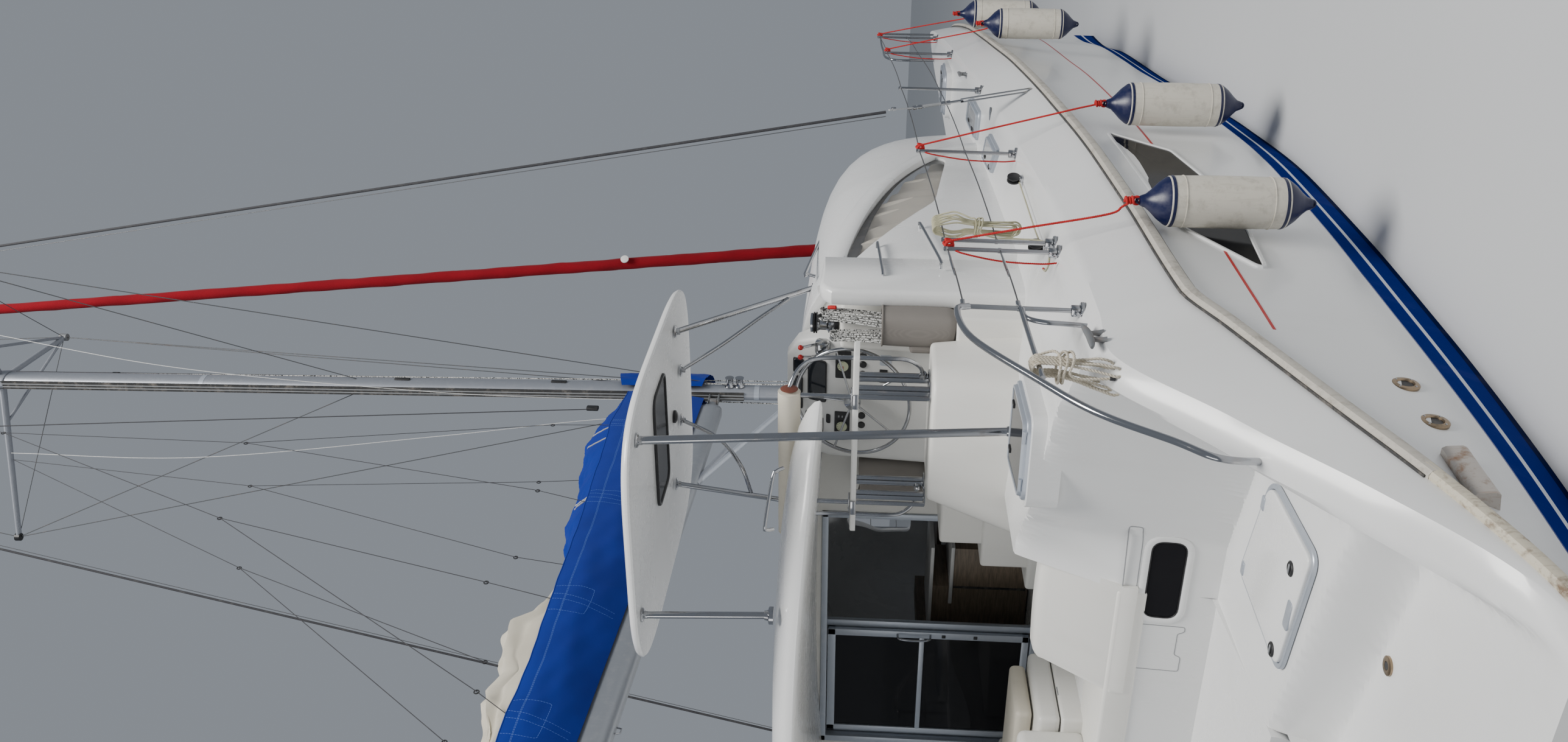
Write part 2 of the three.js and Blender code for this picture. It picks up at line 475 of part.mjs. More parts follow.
// Boom with rod kicker, sail bag and flaked mainsail.
const boomEnd = BOOM.gooseX - BOOM.length;
const boomRing = (x, k = 1) => Array.from({ length: 12 }, (_, i) => {
  const t = (2 * Math.PI * (i + 0.5)) / 12;
  return V(x, Math.cos(t) * BOOM.wide * 0.5 * k, boomZ(x) + Math.sin(t) * BOOM.deep * 0.5 * k);
});
const kickerTop = V(6300, 0, boomZ(6300) - 60);
add('boom', unite(loft([boomRing(boomEnd, 0.9), boomRing(boomEnd + 60), boomRing(BOOM.gooseX - 220),
  boomRing(BOOM.gooseX - 110, 0.24), boomRing(BOOM.gooseX - 55, 0.24)]), rod(kickerTop, V(7870, 0, 3420),
    28, 28, 8),
rod(alongMast(GOOSE, -38), alongMast(GOOSE, 38), 34, 34, 10)), ALUMINIUM);
// station, half width at the foot, half width at the shoulder, shoulder z, ridge half width, ridge z
const BAG_ROWS = [
  [2330, 95, 170, 4900, 90, 4960], [3100, 100, 215, 4960, 120, 5010], [4250, 100, 230, 4960, 130, 5020],
  [4450, 100, 230, 4970, 90, 5110], [5650, 100, 220, 5000, 60, 5200], [6950, 95, 200, 5010, 50, 5290],
  [7760, 80, 150, 5000, 45, 5230],
];
const bagRing = ([x, f, w, z, r, top]) => [[-f, boomZ(x) + 60], [-w, (boomZ(x) + z) / 2 + 20], [-w, z],
  [-r, top],
  [r, top], [w, z], [w, (boomZ(x) + z) / 2 + 20], [f, boomZ(x) + 60]].map(([y, q]) => V(x, y, q));
const boomTool = loft([boomRing(boomEnd - 400, 1.01), boomRing(BOOM.gooseX + 200, 1.01)]);
add('sail_bag', cut(loft(BAG_ROWS.map(bagRing)), boomTool), BLUE_CLOTH);
const SAIL_ROWS = [[2360, 90, 4900, 5060], [2700, 150, 4900, 5230], [3500, 165, 4900, 5290], [4150, 150,
  4900, 5360],
  [4420, 80, 4900, 5150]];
const bagTool = loft(BAG_ROWS.map(([x, f, w, z, r, top]) => bagRing([x, f, w + 0.3, z + 0.3, r + 0.3,
  top + 0.3])));
add('mainsail', cut(loft(SAIL_ROWS.map(([x, w, z, top]) => [[-w, z], [-w * 0.9, top - 90], [-w * 0.4, top],
  [w * 0.5, top - 20], [w * 0.95, top - 100], [w, z]].map(([y, q]) => V(x, y, q)))), bagTool), SAILCLOTH);

// Forestay, furled genoa, shrouds.
const STAY_POST_Z = 1764;
const stayFoot = V(CROSSBEAM_X, 0, 1770.2);
const stayTop = V(mastX(HOUNDS_Z) + 118, 0, HOUNDS_Z);
const stayAt = (t) => stayFoot.clone().lerp(stayTop, t);
add('forestay_drum', unite(rod(stayAt(0.0), stayAt(0.018), 22), rod(stayAt(0.009), stayAt(0.0105), 95,
  95, 14),
  rod(stayAt(0.0045), stayAt(0.006), 95, 95, 14), rod(stayAt(0.003), stayAt(0.012), 55, 55, 12)),
    ALUMINIUM);
const genoa = [[0.01802, 40], [0.03, 95], [0.09, 118], [0.3, 112], [0.6, 92], [0.9, 60], [0.965, 30],
  [0.998, 16]];
const stayDir = stayTop.clone().sub(stayFoot).normalize();
const stayTurn = new THREE.Quaternion().setFromUnitVectors(V(0, 0, 1), stayDir);
add('furled_genoa', loft(genoa.map(([t, r]) => Array.from({ length: 12 }, (_, i) => {
  const u = (2 * Math.PI * (i + 0.5)) / 12;
  return V(Math.cos(u) * r, Math.sin(u) * r, 0).applyQuaternion(stayTurn).add(stayAt(t));
})), 'x', 'y'), RED_CLOTH);

// z, centre x, centre y, half length, half width of each level of one shroud
const shroudTopZ = HOUNDS_Z - 60;
const shroudAt = (z) => {
  const t = (z - 1990) / (shroudTopZ - 1990);
  return [6540 + t * (mastX(HOUNDS_Z) - 6570), 3395 + t * (105 - 3395)];
};
const SHROUD_ROWS = [
  [CHAINPLATE.z + GAP, 6585, 3462, 28, 7], [1980, 6541, 3397, 28, 7], [1990, ...shroudAt(1990), 21, 21],
  [2440, ...shroudAt(2440), 21, 21], [2450, ...shroudAt(2450), 8, 8], [shroudTopZ,
    ...shroudAt(shroudTopZ), 8, 8]];
pair('shroud', loft(SHROUD_ROWS.map(([z, x, y, a, c]) => Array.from({ length: 6 }, (_, i) => {
  const t = (2 * Math.PI * i) / 6;
  return V(x + a * Math.cos(t), -y + c * Math.sin(t), z);
})), 'x', 'y'), BLACK_WIRE);

// Crossbeam, anchor arm, trampolines.
add('crossbeam', cut(unite(rod(V(CROSSBEAM_X, -2560, 1380), V(CROSSBEAM_X, 2560, 1380), 90, 90, 14),
  rod(V(CROSSBEAM_X, -2250, 1440), V(CROSSBEAM_X, 0, 1735), 22), rod(V(CROSSBEAM_X, 2250, 1440),
    V(CROSSBEAM_X, 0, 1735), 22), rod(V(CROSSBEAM_X, 0, 1380), V(CROSSBEAM_X, 0, STAY_POST_Z), 34)),
hullTight(GAP), mirrored(hullTight(GAP))), ALUMINIUM);
const beamTool = rod(V(CROSSBEAM_X, -2600, 1380), V(CROSSBEAM_X, 2600, 1380), 90 + GAP, 90 + GAP, 14);
add('anchor_arm', cut(unite(box(9500 + GAP, 12960, -70, 70, 1230, 1350),
  rod(V(12760, -90, 1420), V(12760, 90, 1420), 45, 45, 12), box(12640, 12900, -90, -76, 1200, 1480),
  box(12640, 12900, 76, 90, 1200, 1480), rod(V(11900, 0, 1150), V(12860, 0, 1400), 28, 22, 8),
  loft([[V(11700, -170, 1080), V(12150, 0, 1190), V(11700, 170, 1080), V(11550, 0, 1090)],
    [V(11700, -150, 1060), V(12150, 0, 1140), V(11700, 150, 1060), V(11570, 0, 1060)]], 'x', 'y'),
  rod(V(12000, 0, 1150), V(12000, 0, 1290), 30)), beamTool), CAST_GREY);
const netZ = (x) => 1800 - (x - 9500) * 0.122;
const netRing = (dz) => [[9490, -20], [12480, -20], [12480, -2500], [9490, -2500]]
  .map(([x, y]) => V(x, y, netZ(x) + dz));
pair('trampoline', cut(loft([netRing(-5), netRing(5)], 'x', 'y'), hullTight(GAP), beamTool,
  box(9000, 9500 + GAP, -2600, 0, 900, 1900)), NETTING);

// Guardrails: pushpit, stanchions, lifelines and bow rail in one welded run.
const RAIL_Y = [[1240, 3370], [2620, 3385], [3480, 3352], [3640, 3345], [5530, 3290], [7700, 3190],
  [10150, 2950],
  [11850, 2755]];
const deckZ = (x) => 1640 + 0.045 * (x - 4500);
const postTop = (x) => deckZ(x) + (x < 4000 ? 680 : 690);
const railPosts = RAIL_Y.slice(1).map(([x, y]) => rod(V(x, -y + 10, deckZ(x) - 120), V(x, -y,
  postTop(x)), 13, 13, 6));
const wire = (k) => RAIL_Y.slice(1, -1).map(([x, y], i) => {
  const [x2, y2] = RAIL_Y[i + 2];
  return rod(V(x, -y, deckZ(x) + (postTop(x) - deckZ(x)) * k), V(x2, -y2,
    deckZ(x2) + (postTop(x2) - deckZ(x2)) * k),
    4.5, 4.5, 5);
});
const pushpit = [[1300, -3330, 1080], [1240, -3372, 1310], [1345, -3385, 1471], [1554, -3392, 1748],
  [1843, -3396, 1965],
  [2230, -3398, 2211], [2560, -3390, 2262], [2622, -3385, 2190]].map((p) => V(...p));
const bowRail = [[11850, -2755, postTop(11850)], [12400, -2680, 2620], [12760, -2570, 2630], [12500,
  -2470, 2600],
  [12100, -2440, 2500], [12080, -2440, 1900]].map((p) => V(...p));
pair('guardrail', cut(unite(tube(pushpit, 16, 28), tube(bowRail, 14, 40), ...railPosts, ...wire(0.985),
  ...wire(0.52),
  rod(V(1843, -3396, 1930), V(2620, -3385, 1950), 12, 12, 6), rod(V(12400, -2672, 1900), V(12400, -2676,
    2630), 13, 13, 6)),
deckTool), STAINLESS);

// Opening lids.
const lid = (x0, x1, y0, y1, z0, t) => loft([
  [V(x0 + 4, y0 + 4, z0), V(x1 - 4, y0 + 4, z0), V(x1 - 4, y1 - 4, z0), V(x0 + 4, y1 - 4, z0)],
  [V(x0, y0, z0 + 6), V(x1, y0, z0 + 6), V(x1, y1, z0 + 6), V(x0, y1, z0 + 6)],
  [V(x0 + 10, y0 + 10, z0 + t), V(x1 - 10, y0 + 10, z0 + t), V(x1 - 10, y1 - 10, z0 + t), V(x0 + 10,
    y1 - 10, z0 + t)],
], 'x', 'y');
const engineLid = (out, z) => [V(1392 - out, -2815 - out, z), V(2070 + out, -2810 - out, z),
  V(2255 + out, -2100 + out, z), V(1517 - out, -2088 + out, z)];
pair('engine_hatch', loft([engineLid(-4, BEACH.highZ + GAP), engineLid(0, BEACH.highZ + 6),
  engineLid(-10, BEACH.highZ + 32)], 'x', 'y'), GELCOAT);
pair('aft_deck_hatch', lid(2500, 3130, -2790, -2220, 1850 + GAP, 34), DARK_GLASS);
pair('fore_deck_hatch', lid(9900, 10500, -2770, -2370, 1950 + GAP, 34), DARK_GLASS);

// Under water: rudders, saildrives, propellers; engines in their bays.
const foil = (cx, cy, chord, half, z) => [[-0.5, 0], [-0.42, 0.5], [-0.2, 1], [0.1, 0.85], [0.5, 0.08],
  [0.5, -0.08],
  [0.1, -0.85], [-0.2, -1], [-0.42, -0.5]].map(([a, b]) => V(cx - a * chord, cy + b * half, z));
pair('rudder', unite(loft([foil(RUDDER.x - 60, -RUDDER.y, 480, 30, -400),
  foil(RUDDER.x - 40, -RUDDER.y, 380, 22, -1240)], 'x', 'y'),
rod(V(RUDDER.x, -RUDDER.y, -420), V(RUDDER.x, -RUDDER.y, RUDDER.stockTop), 26, 26, 16)), ANTIFOUL);
pair('saildrive', cut(unite(loft([foil(DRIVE.x + 60, -DRIVE.y, 300, 45, -430), foil(DRIVE.x, -DRIVE.y,
  260, 34, -900)],
  'x', 'y'), rod(V(DRIVE.x - 140, -DRIVE.y, -880), V(DRIVE.x + 150, -DRIVE.y, -880), 55, 40, 12)),
    hullBelow), CAST_GREY);
function propeller() {
  const hub = rod(V(DRIVE.x - 230, -DRIVE.y, -880), V(DRIVE.x - 140.4, -DRIVE.y, -880), 34, 46, 12);
  const blade = (k) => loft([[-40, 26, 12], [-62, 110, 7], [-50, 205, 4]].map(([c, r, t]) => {
    const twist = 0.9 - r / 400;
    return [[-1, -t], [1, -t], [1, t], [-1, t]].map(([s1, d]) => V(
      d * Math.cos(twist) - s1 * Math.abs(c) * 0.6 * Math.sin(twist),
        s1 * Math.abs(c) * Math.cos(twist) * 0.9 + d, r));
  }), 'x', 'y').rotateX((2 * Math.PI * k) / 3).translate(DRIVE.x - 188, -DRIVE.y, -880);
  return unite(hub, blade(0), blade(1), blade(2));
}
pair('propeller', propeller(), BRONZE);
pair('engine', box(1590, 2180, -2680, -2220, 90 + GAP, 600), CAST_GREY);

// Fenders hung over the starboard side, each with its line round a stanchion head.
// station, y, z of the lower end, radius, stanchion number, drop of the hitch
const FENDERS = [[3260, -3728, 450, 132, 2, 100], [5300, -3705, 300, 138, 4, 100], [9250, -3440, 810,
  138, 6, 100],
  [10500, -3290, 960, 138, 7, 100]];
FENDERS.forEach(([x, y, z, r, post, drop], i) => {
  const [px, py] = RAIL_Y[post];
  const head = V(px, -py, postTop(px) - drop);
  const hitch = rod(V(px, -py + 0.5, head.z - 25), V(px, -py, head.z + 20), 24, 24, 8);
  const edge = V(x + (px - x) * 0.2, y + 150, deckZ(x) + 60);
  const body = turned([[0, -20], [26, -20], [34, 30], [r * 0.8, 90], [r, 150], [r, 690], [r * 0.8, 750],
    [34, 815], [26, 860], [0, 860]], 14).translate(x, y, z);
  const post0 = V(px, -py + 10, deckZ(px) - 120);
  const post1 = V(px, -py, postTop(px));
  const out = post1.clone().sub(post0).normalize().multiplyScalar(60);
  add(`fender_${i + 1}`, cut(unite(body, rod(V(x, y, z + 840), edge, 6, 6, 6), rod(edge, head, 6, 6, 6),
    hitch),
    rod(post0, post1.clone().add(out), 13 + GAP, 13 + GAP, 6)), RUBBER_WHITE);
});

// Spare rope hung up in two hanks: over the lower rail aft and over the upper lifeline.
const hankAt = (x, y, z, a, b) => Array.from({ length: 8 }, (_, i) => {
  const t = (2 * Math.PI * (i + 0.5)) / 8;
  return V(x + a * Math.cos(t), y + b * Math.sin(t), z);
});
const railTool = rod(V(1843, -3396, 1930), V(2620, -3385, 1950), 12 + 2 * GAP, 12 + 2 * GAP, 6);
add('rope_hank_rail', cut(loft([hankAt(1955, -3440, 1385, 50, 30), hankAt(1960, -3440, 1430, 90, 45),
  hankAt(1985, -3415, 1780, 80, 60), hankAt(1995, -3391, 1900, 75, 55), hankAt(1995, -3391, 1975, 60, 40)],
'x', 'y'), deckTool, railTool), RUBBER_WHITE);
const lifeline = rod(V(3640, -3345, deckZ(3640) + 680 * 0.985), V(5530, -3290, deckZ(5530) + 690 * 0.985),
  4.5 + 2 * GAP, 4.5 + 2 * GAP, 5);
const lowLine = rod(V(3640, -3345, deckZ(3640) + 680 * 0.52), V(5530, -3290, deckZ(5530) + 690 * 0.52),
  4.5 + 2 * GAP, 4.5 + 2 * GAP, 5);
add('rope_hank_lifeline', cut(loft([hankAt(3800, -3342, 1810, 40, 25), hankAt(3800, -3342, 1850, 65, 45),
  hankAt(3810, -3341, 2100, 70, 50), hankAt(3840, -3339, 2150, 110, 60), hankAt(3840, -3339, 2260, 105, 50),
  hankAt(3840, -3339, 2330, 70, 30)], 'x', 'y'), lifeline, lowLine), TAUPE_MESH);

export default yacht;
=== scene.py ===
"""Looks of a cruising sailing catamaran: hulls, decks, helm, rig, canvas, ropes and fenders."""

import math

import bmesh
import bpy
import numpy as np
from bpy.props import FloatProperty, FloatVectorProperty
from mathutils import Matrix, Vector


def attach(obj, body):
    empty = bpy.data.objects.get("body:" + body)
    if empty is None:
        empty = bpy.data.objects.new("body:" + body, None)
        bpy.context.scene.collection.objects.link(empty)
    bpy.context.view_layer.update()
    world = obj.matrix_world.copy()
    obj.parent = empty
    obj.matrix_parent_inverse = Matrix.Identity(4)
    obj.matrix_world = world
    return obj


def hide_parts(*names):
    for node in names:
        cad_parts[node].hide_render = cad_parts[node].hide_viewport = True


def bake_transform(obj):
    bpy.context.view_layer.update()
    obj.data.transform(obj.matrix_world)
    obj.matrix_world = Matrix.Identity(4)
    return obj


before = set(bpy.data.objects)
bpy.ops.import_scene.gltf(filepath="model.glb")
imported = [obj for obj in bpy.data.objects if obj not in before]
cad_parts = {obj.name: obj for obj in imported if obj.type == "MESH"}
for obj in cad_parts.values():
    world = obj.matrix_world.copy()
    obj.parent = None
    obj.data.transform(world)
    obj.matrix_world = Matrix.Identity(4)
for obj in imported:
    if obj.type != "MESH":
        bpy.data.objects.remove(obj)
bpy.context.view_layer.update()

bl_info = {
    "name": "Sailing catamaran looks",
    "version": (1, 0, 0),
    "blender": (4, 5, 0),
    "location": "View3D > Sidebar > Catamaran",
    "description": "Builds the finished surfaces of a cruising sailing catamaran",
    "category": "Object",
}

MM = 0.001
AMIDSHIPS = 6.49                    # stations count from the stern, x from amidships
SIDES = (("starboard", -1), ("port", 1))


def at(station, y, z):
    """Point from a station counted from the stern."""
    return Vector((station - AMIDSHIPS, y, z))


def curve_through(knots, values, where):
    """Monotone cubic through one column of a table."""
    x, y = np.asarray(knots, float), np.asarray(values, float)
    step, slope = np.diff(x), np.diff(y) / np.diff(x)
    tangent = np.zeros_like(y)
    same = slope[:-1] * slope[1:] > 0
    tangent[1:-1][same] = (2 * slope[:-1] * slope[1:])[same] / (slope[:-1] + slope[1:])[same]
    tangent[0], tangent[-1] = slope[0], slope[-1]
    i = np.clip(np.searchsorted(x, where) - 1, 0, len(step) - 1)
    t = (where - x[i]) / step[i]
    return ((2 * t**3 - 3 * t**2 + 1) * y[i] + (t**3 - 2 * t**2 + t) * step[i] * tangent[i]
            + (-2 * t**3 + 3 * t**2) * y[i + 1] + (t**3 - t**2) * step[i] * tangent[i + 1])


def soft_min(a, b, reach):
    h = np.clip(0.5 + 0.5 * (b - a) / reach, 0, 1)
    return b + (a - b) * h - reach * h * (1 - h)


def soft_max(a, b, reach):
    return -soft_min(-a, -b, reach)


def soft_step(t):
    t = np.clip(t, 0, 1)
    return t * t * (3 - 2 * t)


# Shapes as (points, faces) pairs

def smooth_path(points, count, closed=False):
    """Evenly spaced points on a smooth curve through the given ones."""
    p = np.array([tuple(q) for q in points], float)
    if closed:
        p = np.vstack([p[-1], p, p[0], p[1]])
    else:
        p = np.vstack([2 * p[0] - p[1], p, 2 * p[-1] - p[-2]])
    dense = []
    for a, b, c, d in zip(p, p[1:], p[2:], p[3:]):
        t = np.linspace(0, 1, 24, endpoint=False)[:, None]
        dense.append(0.5 * (2 * b + (c - a) * t + (2 * a - 5 * b + 4 * c - d) * t**2
                            + (3 * b - a - 3 * c + d) * t**3))
    dense = np.vstack(dense + [p[-2][None]])
    run = np.r_[0, np.cumsum(np.linalg.norm(np.diff(dense, axis=0), axis=1))]
    where = np.linspace(0, run[-1], count + closed)[:count]
    return np.column_stack([np.interp(where, run, dense[:, k]) for k in range(3)])


def round_angles(count):
    return np.linspace(0, 2 * math.pi, count, False)


def bulged(value, power):
    """Power of a sine or cosine that keeps its sign, for rounded squares."""
    return math.copysign(abs(value) ** power, value)


def bar(low, high, half):
    """Section of a flat bar as (out, across) pairs."""
    return [(low, -half), (high, -half), (high, half), (low, half)]


def skin_rings(rings, capped=True, looped=False):
    """Faces over rings of equal count, with an n-gon on each open end."""
    n, m = len(rings[0]), len(rings)
    points = [tuple(p) for ring in rings for p in ring]
    faces = []
    for r in range(m if looped else m - 1):
        s = (r + 1) % m
        faces += [(r * n + i, r * n + (i + 1) % n, s * n + (i + 1) % n, s * n + i) for i in range(n)]
    if capped and not looped:
        faces += [tuple(reversed(range(n))), tuple(range((m - 1) * n, m * n))]
    return points, faces


def tube_along(path, radius, sides=12, closed=False, lobes=0, pitch=0.0, flat=1.0):
    """Round or lobed tube on a path; radius is one number or one for each point."""
    path = np.asarray(path, float)
    n = len(path)
    ahead = np.roll(path, -1, 0) - np.roll(path, 1, 0) if closed else np.gradient(path, axis=0)
    ahead /= np.linalg.norm(ahead, axis=1)[:, None] + 1e-12
    side = np.cross(ahead[0], (0, 0, 1) if abs(ahead[0][2]) < 0.9 else (1, 0, 0))
    rings, run = [], 0.0
    radii = np.broadcast_to(radius, (n,))
    for i in range(n):
        side = side - ahead[i] * (side @ ahead[i])
        side /= np.linalg.norm(side) + 1e-12
        up = np.cross(side, ahead[i])
        if i:
            run += np.linalg.norm(path[i] - path[i - 1])
        turn = 2 * math.pi * run / pitch if pitch else 0.0
        ring = []
        for k in range(sides):
            a = 2 * math.pi * k / sides
            r = radii[i] * (1 + 0.16 * math.cos(lobes * a)) if lobes else radii[i]
            ring.append(path[i] + r * (math.cos(a + turn) * side + flat * math.sin(a + turn) * up))
        rings.append(ring)
    return skin_rings(rings, looped=closed)


def turned(profile, foot, along=(0, 0, 1), sides=24):
    """Body of revolution from (radius, height) pairs on an axis."""
    rings = [[(max(r, 1e-5) * math.cos(2 * math.pi * k / sides),
               max(r, 1e-5) * math.sin(2 * math.pi * k / sides), h) for k in range(sides)] for r,
             h in profile]
    points, faces = skin_rings(rings)
    turn = Vector((0, 0, 1)).rotation_difference(Vector(along)).to_matrix()
    return [tuple(turn @ Vector(p) + Vector(foot)) for p in points], faces


def rounded_outline(corners, radius, steps=5):
    """Polygon with each corner replaced by an arc of the given radius."""
    out, n = [], len(corners)
    radii = radius if isinstance(radius, (list, tuple)) else [radius] * n
    for i, (corner, r) in enumerate(zip(corners, radii)):
        c = Vector(corner)
        a, b = (Vector(corners[i - 1]) - c), (Vector(corners[(i + 1) % n]) - c)
        reach = min(r, 0.45 * a.length, 0.45 * b.length)
        p, q = c + a.normalized() * reach, c + b.normalized() * reach
        for k in range(steps + 1):
            t = k / steps
            out.append(tuple((1 - t) ** 2 * p + 2 * t * (1 - t) * c + t * t * q))
    return out


def inset(outline, depth):
    """Outline moved inward by depth along its corner normals."""
    p = np.array(outline, float)
    area = np.sum(p[:, 0] * np.roll(p[:, 1], -1) - p[:, 1] * np.roll(p[:, 0], -1))
    edge = np.roll(p, -1, 0) - np.roll(p, 1, 0)
    normal = np.column_stack([-edge[:, 1], edge[:, 0]]) / (np.linalg.norm(edge, axis=1)[:, None] + 1e-9)
    return p + normal * depth * math.copysign(1, area)


def plate(outline, thick, edge=0.004, to=None, dome=0.0):
    """Flat piece with rounded upper edges, from z 0 to its thickness, then placed by a matrix."""
    rings = [[(x, y, 0) for x, y in outline], [(x, y, thick - edge) for x, y in outline]]
    for k in (1, 2, 3):
        a = math.pi / 2 * k / 3
        rings.append([(x, y, thick - edge + edge * math.sin(a)) for x,
                      y in inset(outline, edge * (1 - math.cos(a)))])
    if dome:
        rings.append([(x, y, thick + dome) for x, y in inset(outline, edge + 4 * dome)])
    points, faces = skin_rings(rings)
    area = sum(a[0] * b[1] - a[1] * b[0] for a, b in zip(outline, outline[1:] + outline[:1]))
    if area < 0:
        faces = [tuple(reversed(f)) for f in faces]
    if to is not None:
        points = [tuple(to @ Vector(p)) for p in points]
    return points, faces


def rounded_box(low, high, radius=0.02, steps=3, to=None):
    """Box with rounded edges between two corners."""
    bm = bmesh.new()
    low, high = Vector(low), Vector(high)
    size = high - low
    bmesh.ops.create_cube(bm, size=1, matrix=Matrix.Translation((low + high) / 2) @ Matrix.Diagonal((*size,
                                                                                                     1)))
    bmesh.ops.bevel(bm, geom=bm.edges[:], offset=min(radius, 0.45 * min(size)), segments=steps,
                    affect="EDGES", profile=0.5)
    return from_bmesh(bm, to)


def box_at(centre, low, high, radius=0.02, steps=3):
    """Rounded box between two corners measured from a point."""
    return rounded_box(Vector(centre) + Vector(low), Vector(centre) + Vector(high), radius, steps)


def block(low, high, radius=0.02, steps=3):
    """Rounded box between two corners given by their stations."""
    return rounded_box(at(*low), at(*high), radius, steps)


def from_bmesh(bm, to=None):
    bm.verts.index_update()
    points = [tuple((to @ v.co) if to else v.co) for v in bm.verts]
    faces = [tuple(v.index for v in f.verts) for f in bm.faces]
    bm.free()
    return points, faces


def mirrored(shape):
    points, faces = shape
    return [(x, -y, z) for x, y, z in points], [tuple(reversed(f)) for f in faces]


def moved(shape, to):
    """The same shape placed by a matrix."""
    points, faces = shape
    return [tuple(to @ Vector(p)) for p in points], faces


def facing(origin, out, up=(0, 0, 1)):
    """Matrix whose z points out of a surface and whose y points up along it."""
    z = Vector(out).normalized()
    x = Vector(up).cross(z).normalized()
    y = z.cross(x)
    return Matrix.Translation(Vector(origin)) @ Matrix((x, y, z)).transposed().to_4x4()


class Mould:
    """Gathers closed shapes, each with its own material, into one mesh object."""

    def __init__(self):
        self.points, self.faces, self.finish, self.materials = [], [], [], []

    def add(self, shape, material, side=None):
        points, faces = mirrored(shape) if side == 1 else shape
        if material not in self.materials:
            self.materials.append(material)
        start = len(self.points)
        self.points += [tuple(p) for p in points]
        self.faces += [tuple(start + i for i in f) for f in faces]
        self.finish += [self.materials.index(material)] * len(faces)
        return self

    def piece(self, name, body, slot, replaces=(), crease=35):
        mesh = bpy.data.meshes.new(name)
        mesh.from_pydata(self.points, [], self.faces)
        for material in self.materials:
            mesh.materials.append(material)
        mesh.polygons.foreach_set("material_index", self.finish)
        mesh.polygons.foreach_set("use_smooth", [True] * len(mesh.polygons))
        mesh.validate()
        mesh.set_sharp_from_angle(angle=math.radians(crease))
        obj = bpy.data.objects.new(name, mesh)
        bpy.context.scene.collection.objects.link(obj)
        return settle(obj, body, replaces)


def settle(obj, body, replaces=()):
    if body:
        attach(obj, body)
    if replaces:
        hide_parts(*replaces)
    return obj


# Shader groups that several materials share

def new_group(name, inputs, outputs):
    tree = bpy.data.node_groups.new(name, "ShaderNodeTree")
    for title, kind, value in inputs:
        socket = tree.interface.new_socket(title, in_out="INPUT", socket_type=kind)
        if value is not None:
            socket.default_value = value
    for title, kind in outputs:
        tree.interface.new_socket(title, in_out="OUTPUT", socket_type=kind)
    return tree, tree.nodes.new("NodeGroupInput"), tree.nodes.new("NodeGroupOutput")


def node(tree, kind, links=(), **settings):
    """Adds a node; links give its inputs by name or index, as sockets or plain values."""
    made = tree.nodes.new(kind)
    for key, value in settings.items():
        setattr(made, key, value)
    for key, value in dict(links).items():
        if isinstance(value, bpy.types.NodeSocket):
            tree.links.new(value, made.inputs[key])
        else:
            made.inputs[key].default_value = value
    return made


def place_coords(tree, stretch=(1, 1, 1)):
    where = node(tree, "ShaderNodeTexCoord")
    return node(tree, "ShaderNodeMapping", {"Vector": where.outputs["Object"], "Scale": stretch}).outputs[0]


def noise(tree, scale, stretch=(1, 1, 1), detail=4, rough=0.55):
    return node(tree, "ShaderNodeTexNoise", {"Vector": place_coords(tree, stretch), "Scale": scale,
                                             "Detail": detail, "Roughness": rough}).outputs["Fac"]


def ramp(tree, value, low, high, out_low=0.0, out_high=1.0):
    return node(tree, "ShaderNodeMapRange", {"Value": value, "From Min": low, "From Max": high,
                                             "To Min": out_low, "To Max": out_high}).outputs[0]


def mix(tree, share, a, b, blend="MIX"):
    made = node(tree, "ShaderNodeMix", {0: share, 6: a, 7: b}, data_type="RGBA", blend_type=blend)
    return made.outputs[2]


def maths(tree, operation, a, b=0.0):
    return node(tree, "ShaderNodeMath", {0: a, 1: b}, operation=operation).outputs[0]


COLOUR, VALUE = "NodeSocketColor", "NodeSocketFloat"


def weather_group():
    """Broad clouding, run-down streaks and specks of grime over a clean colour."""
    tree, inside, out = new_group("weather",
                                  [("Colour", COLOUR, (1, 1, 1, 1)), ("Grime", COLOUR, (0.3, 0.27, 0.2, 1)),
                                   ("Amount", VALUE, 0.3), ("Rough", VALUE, 0.3)],
                                  [("Colour", COLOUR), ("Rough", VALUE), ("Height", VALUE)])
    clouds = ramp(tree, noise(tree, 1.1, detail=5), 0.35, 0.75)
    streaks = ramp(tree, noise(tree, 5.0, (1, 1, 0.12), detail=6), 0.52, 0.8)
    specks = ramp(tree, noise(tree, 70, detail=2), 0.64, 0.74)
    grime = maths(tree, "ADD", maths(tree, "MULTIPLY", clouds, 0.35),
                  maths(tree, "ADD", maths(tree, "MULTIPLY", streaks, 0.5),
                        maths(tree, "MULTIPLY", specks, 0.25)))
    share = maths(tree, "MULTIPLY", grime, inside.outputs["Amount"])
    tree.links.new(mix(tree, share, inside.outputs["Colour"], inside.outputs["Grime"]),
                   out.inputs["Colour"])
    tree.links.new(maths(tree, "ADD", inside.outputs["Rough"], maths(tree, "MULTIPLY", share, 0.5)),
                   out.inputs["Rough"])
    tree.links.new(noise(tree, 260, detail=3), out.inputs["Height"])
    return tree


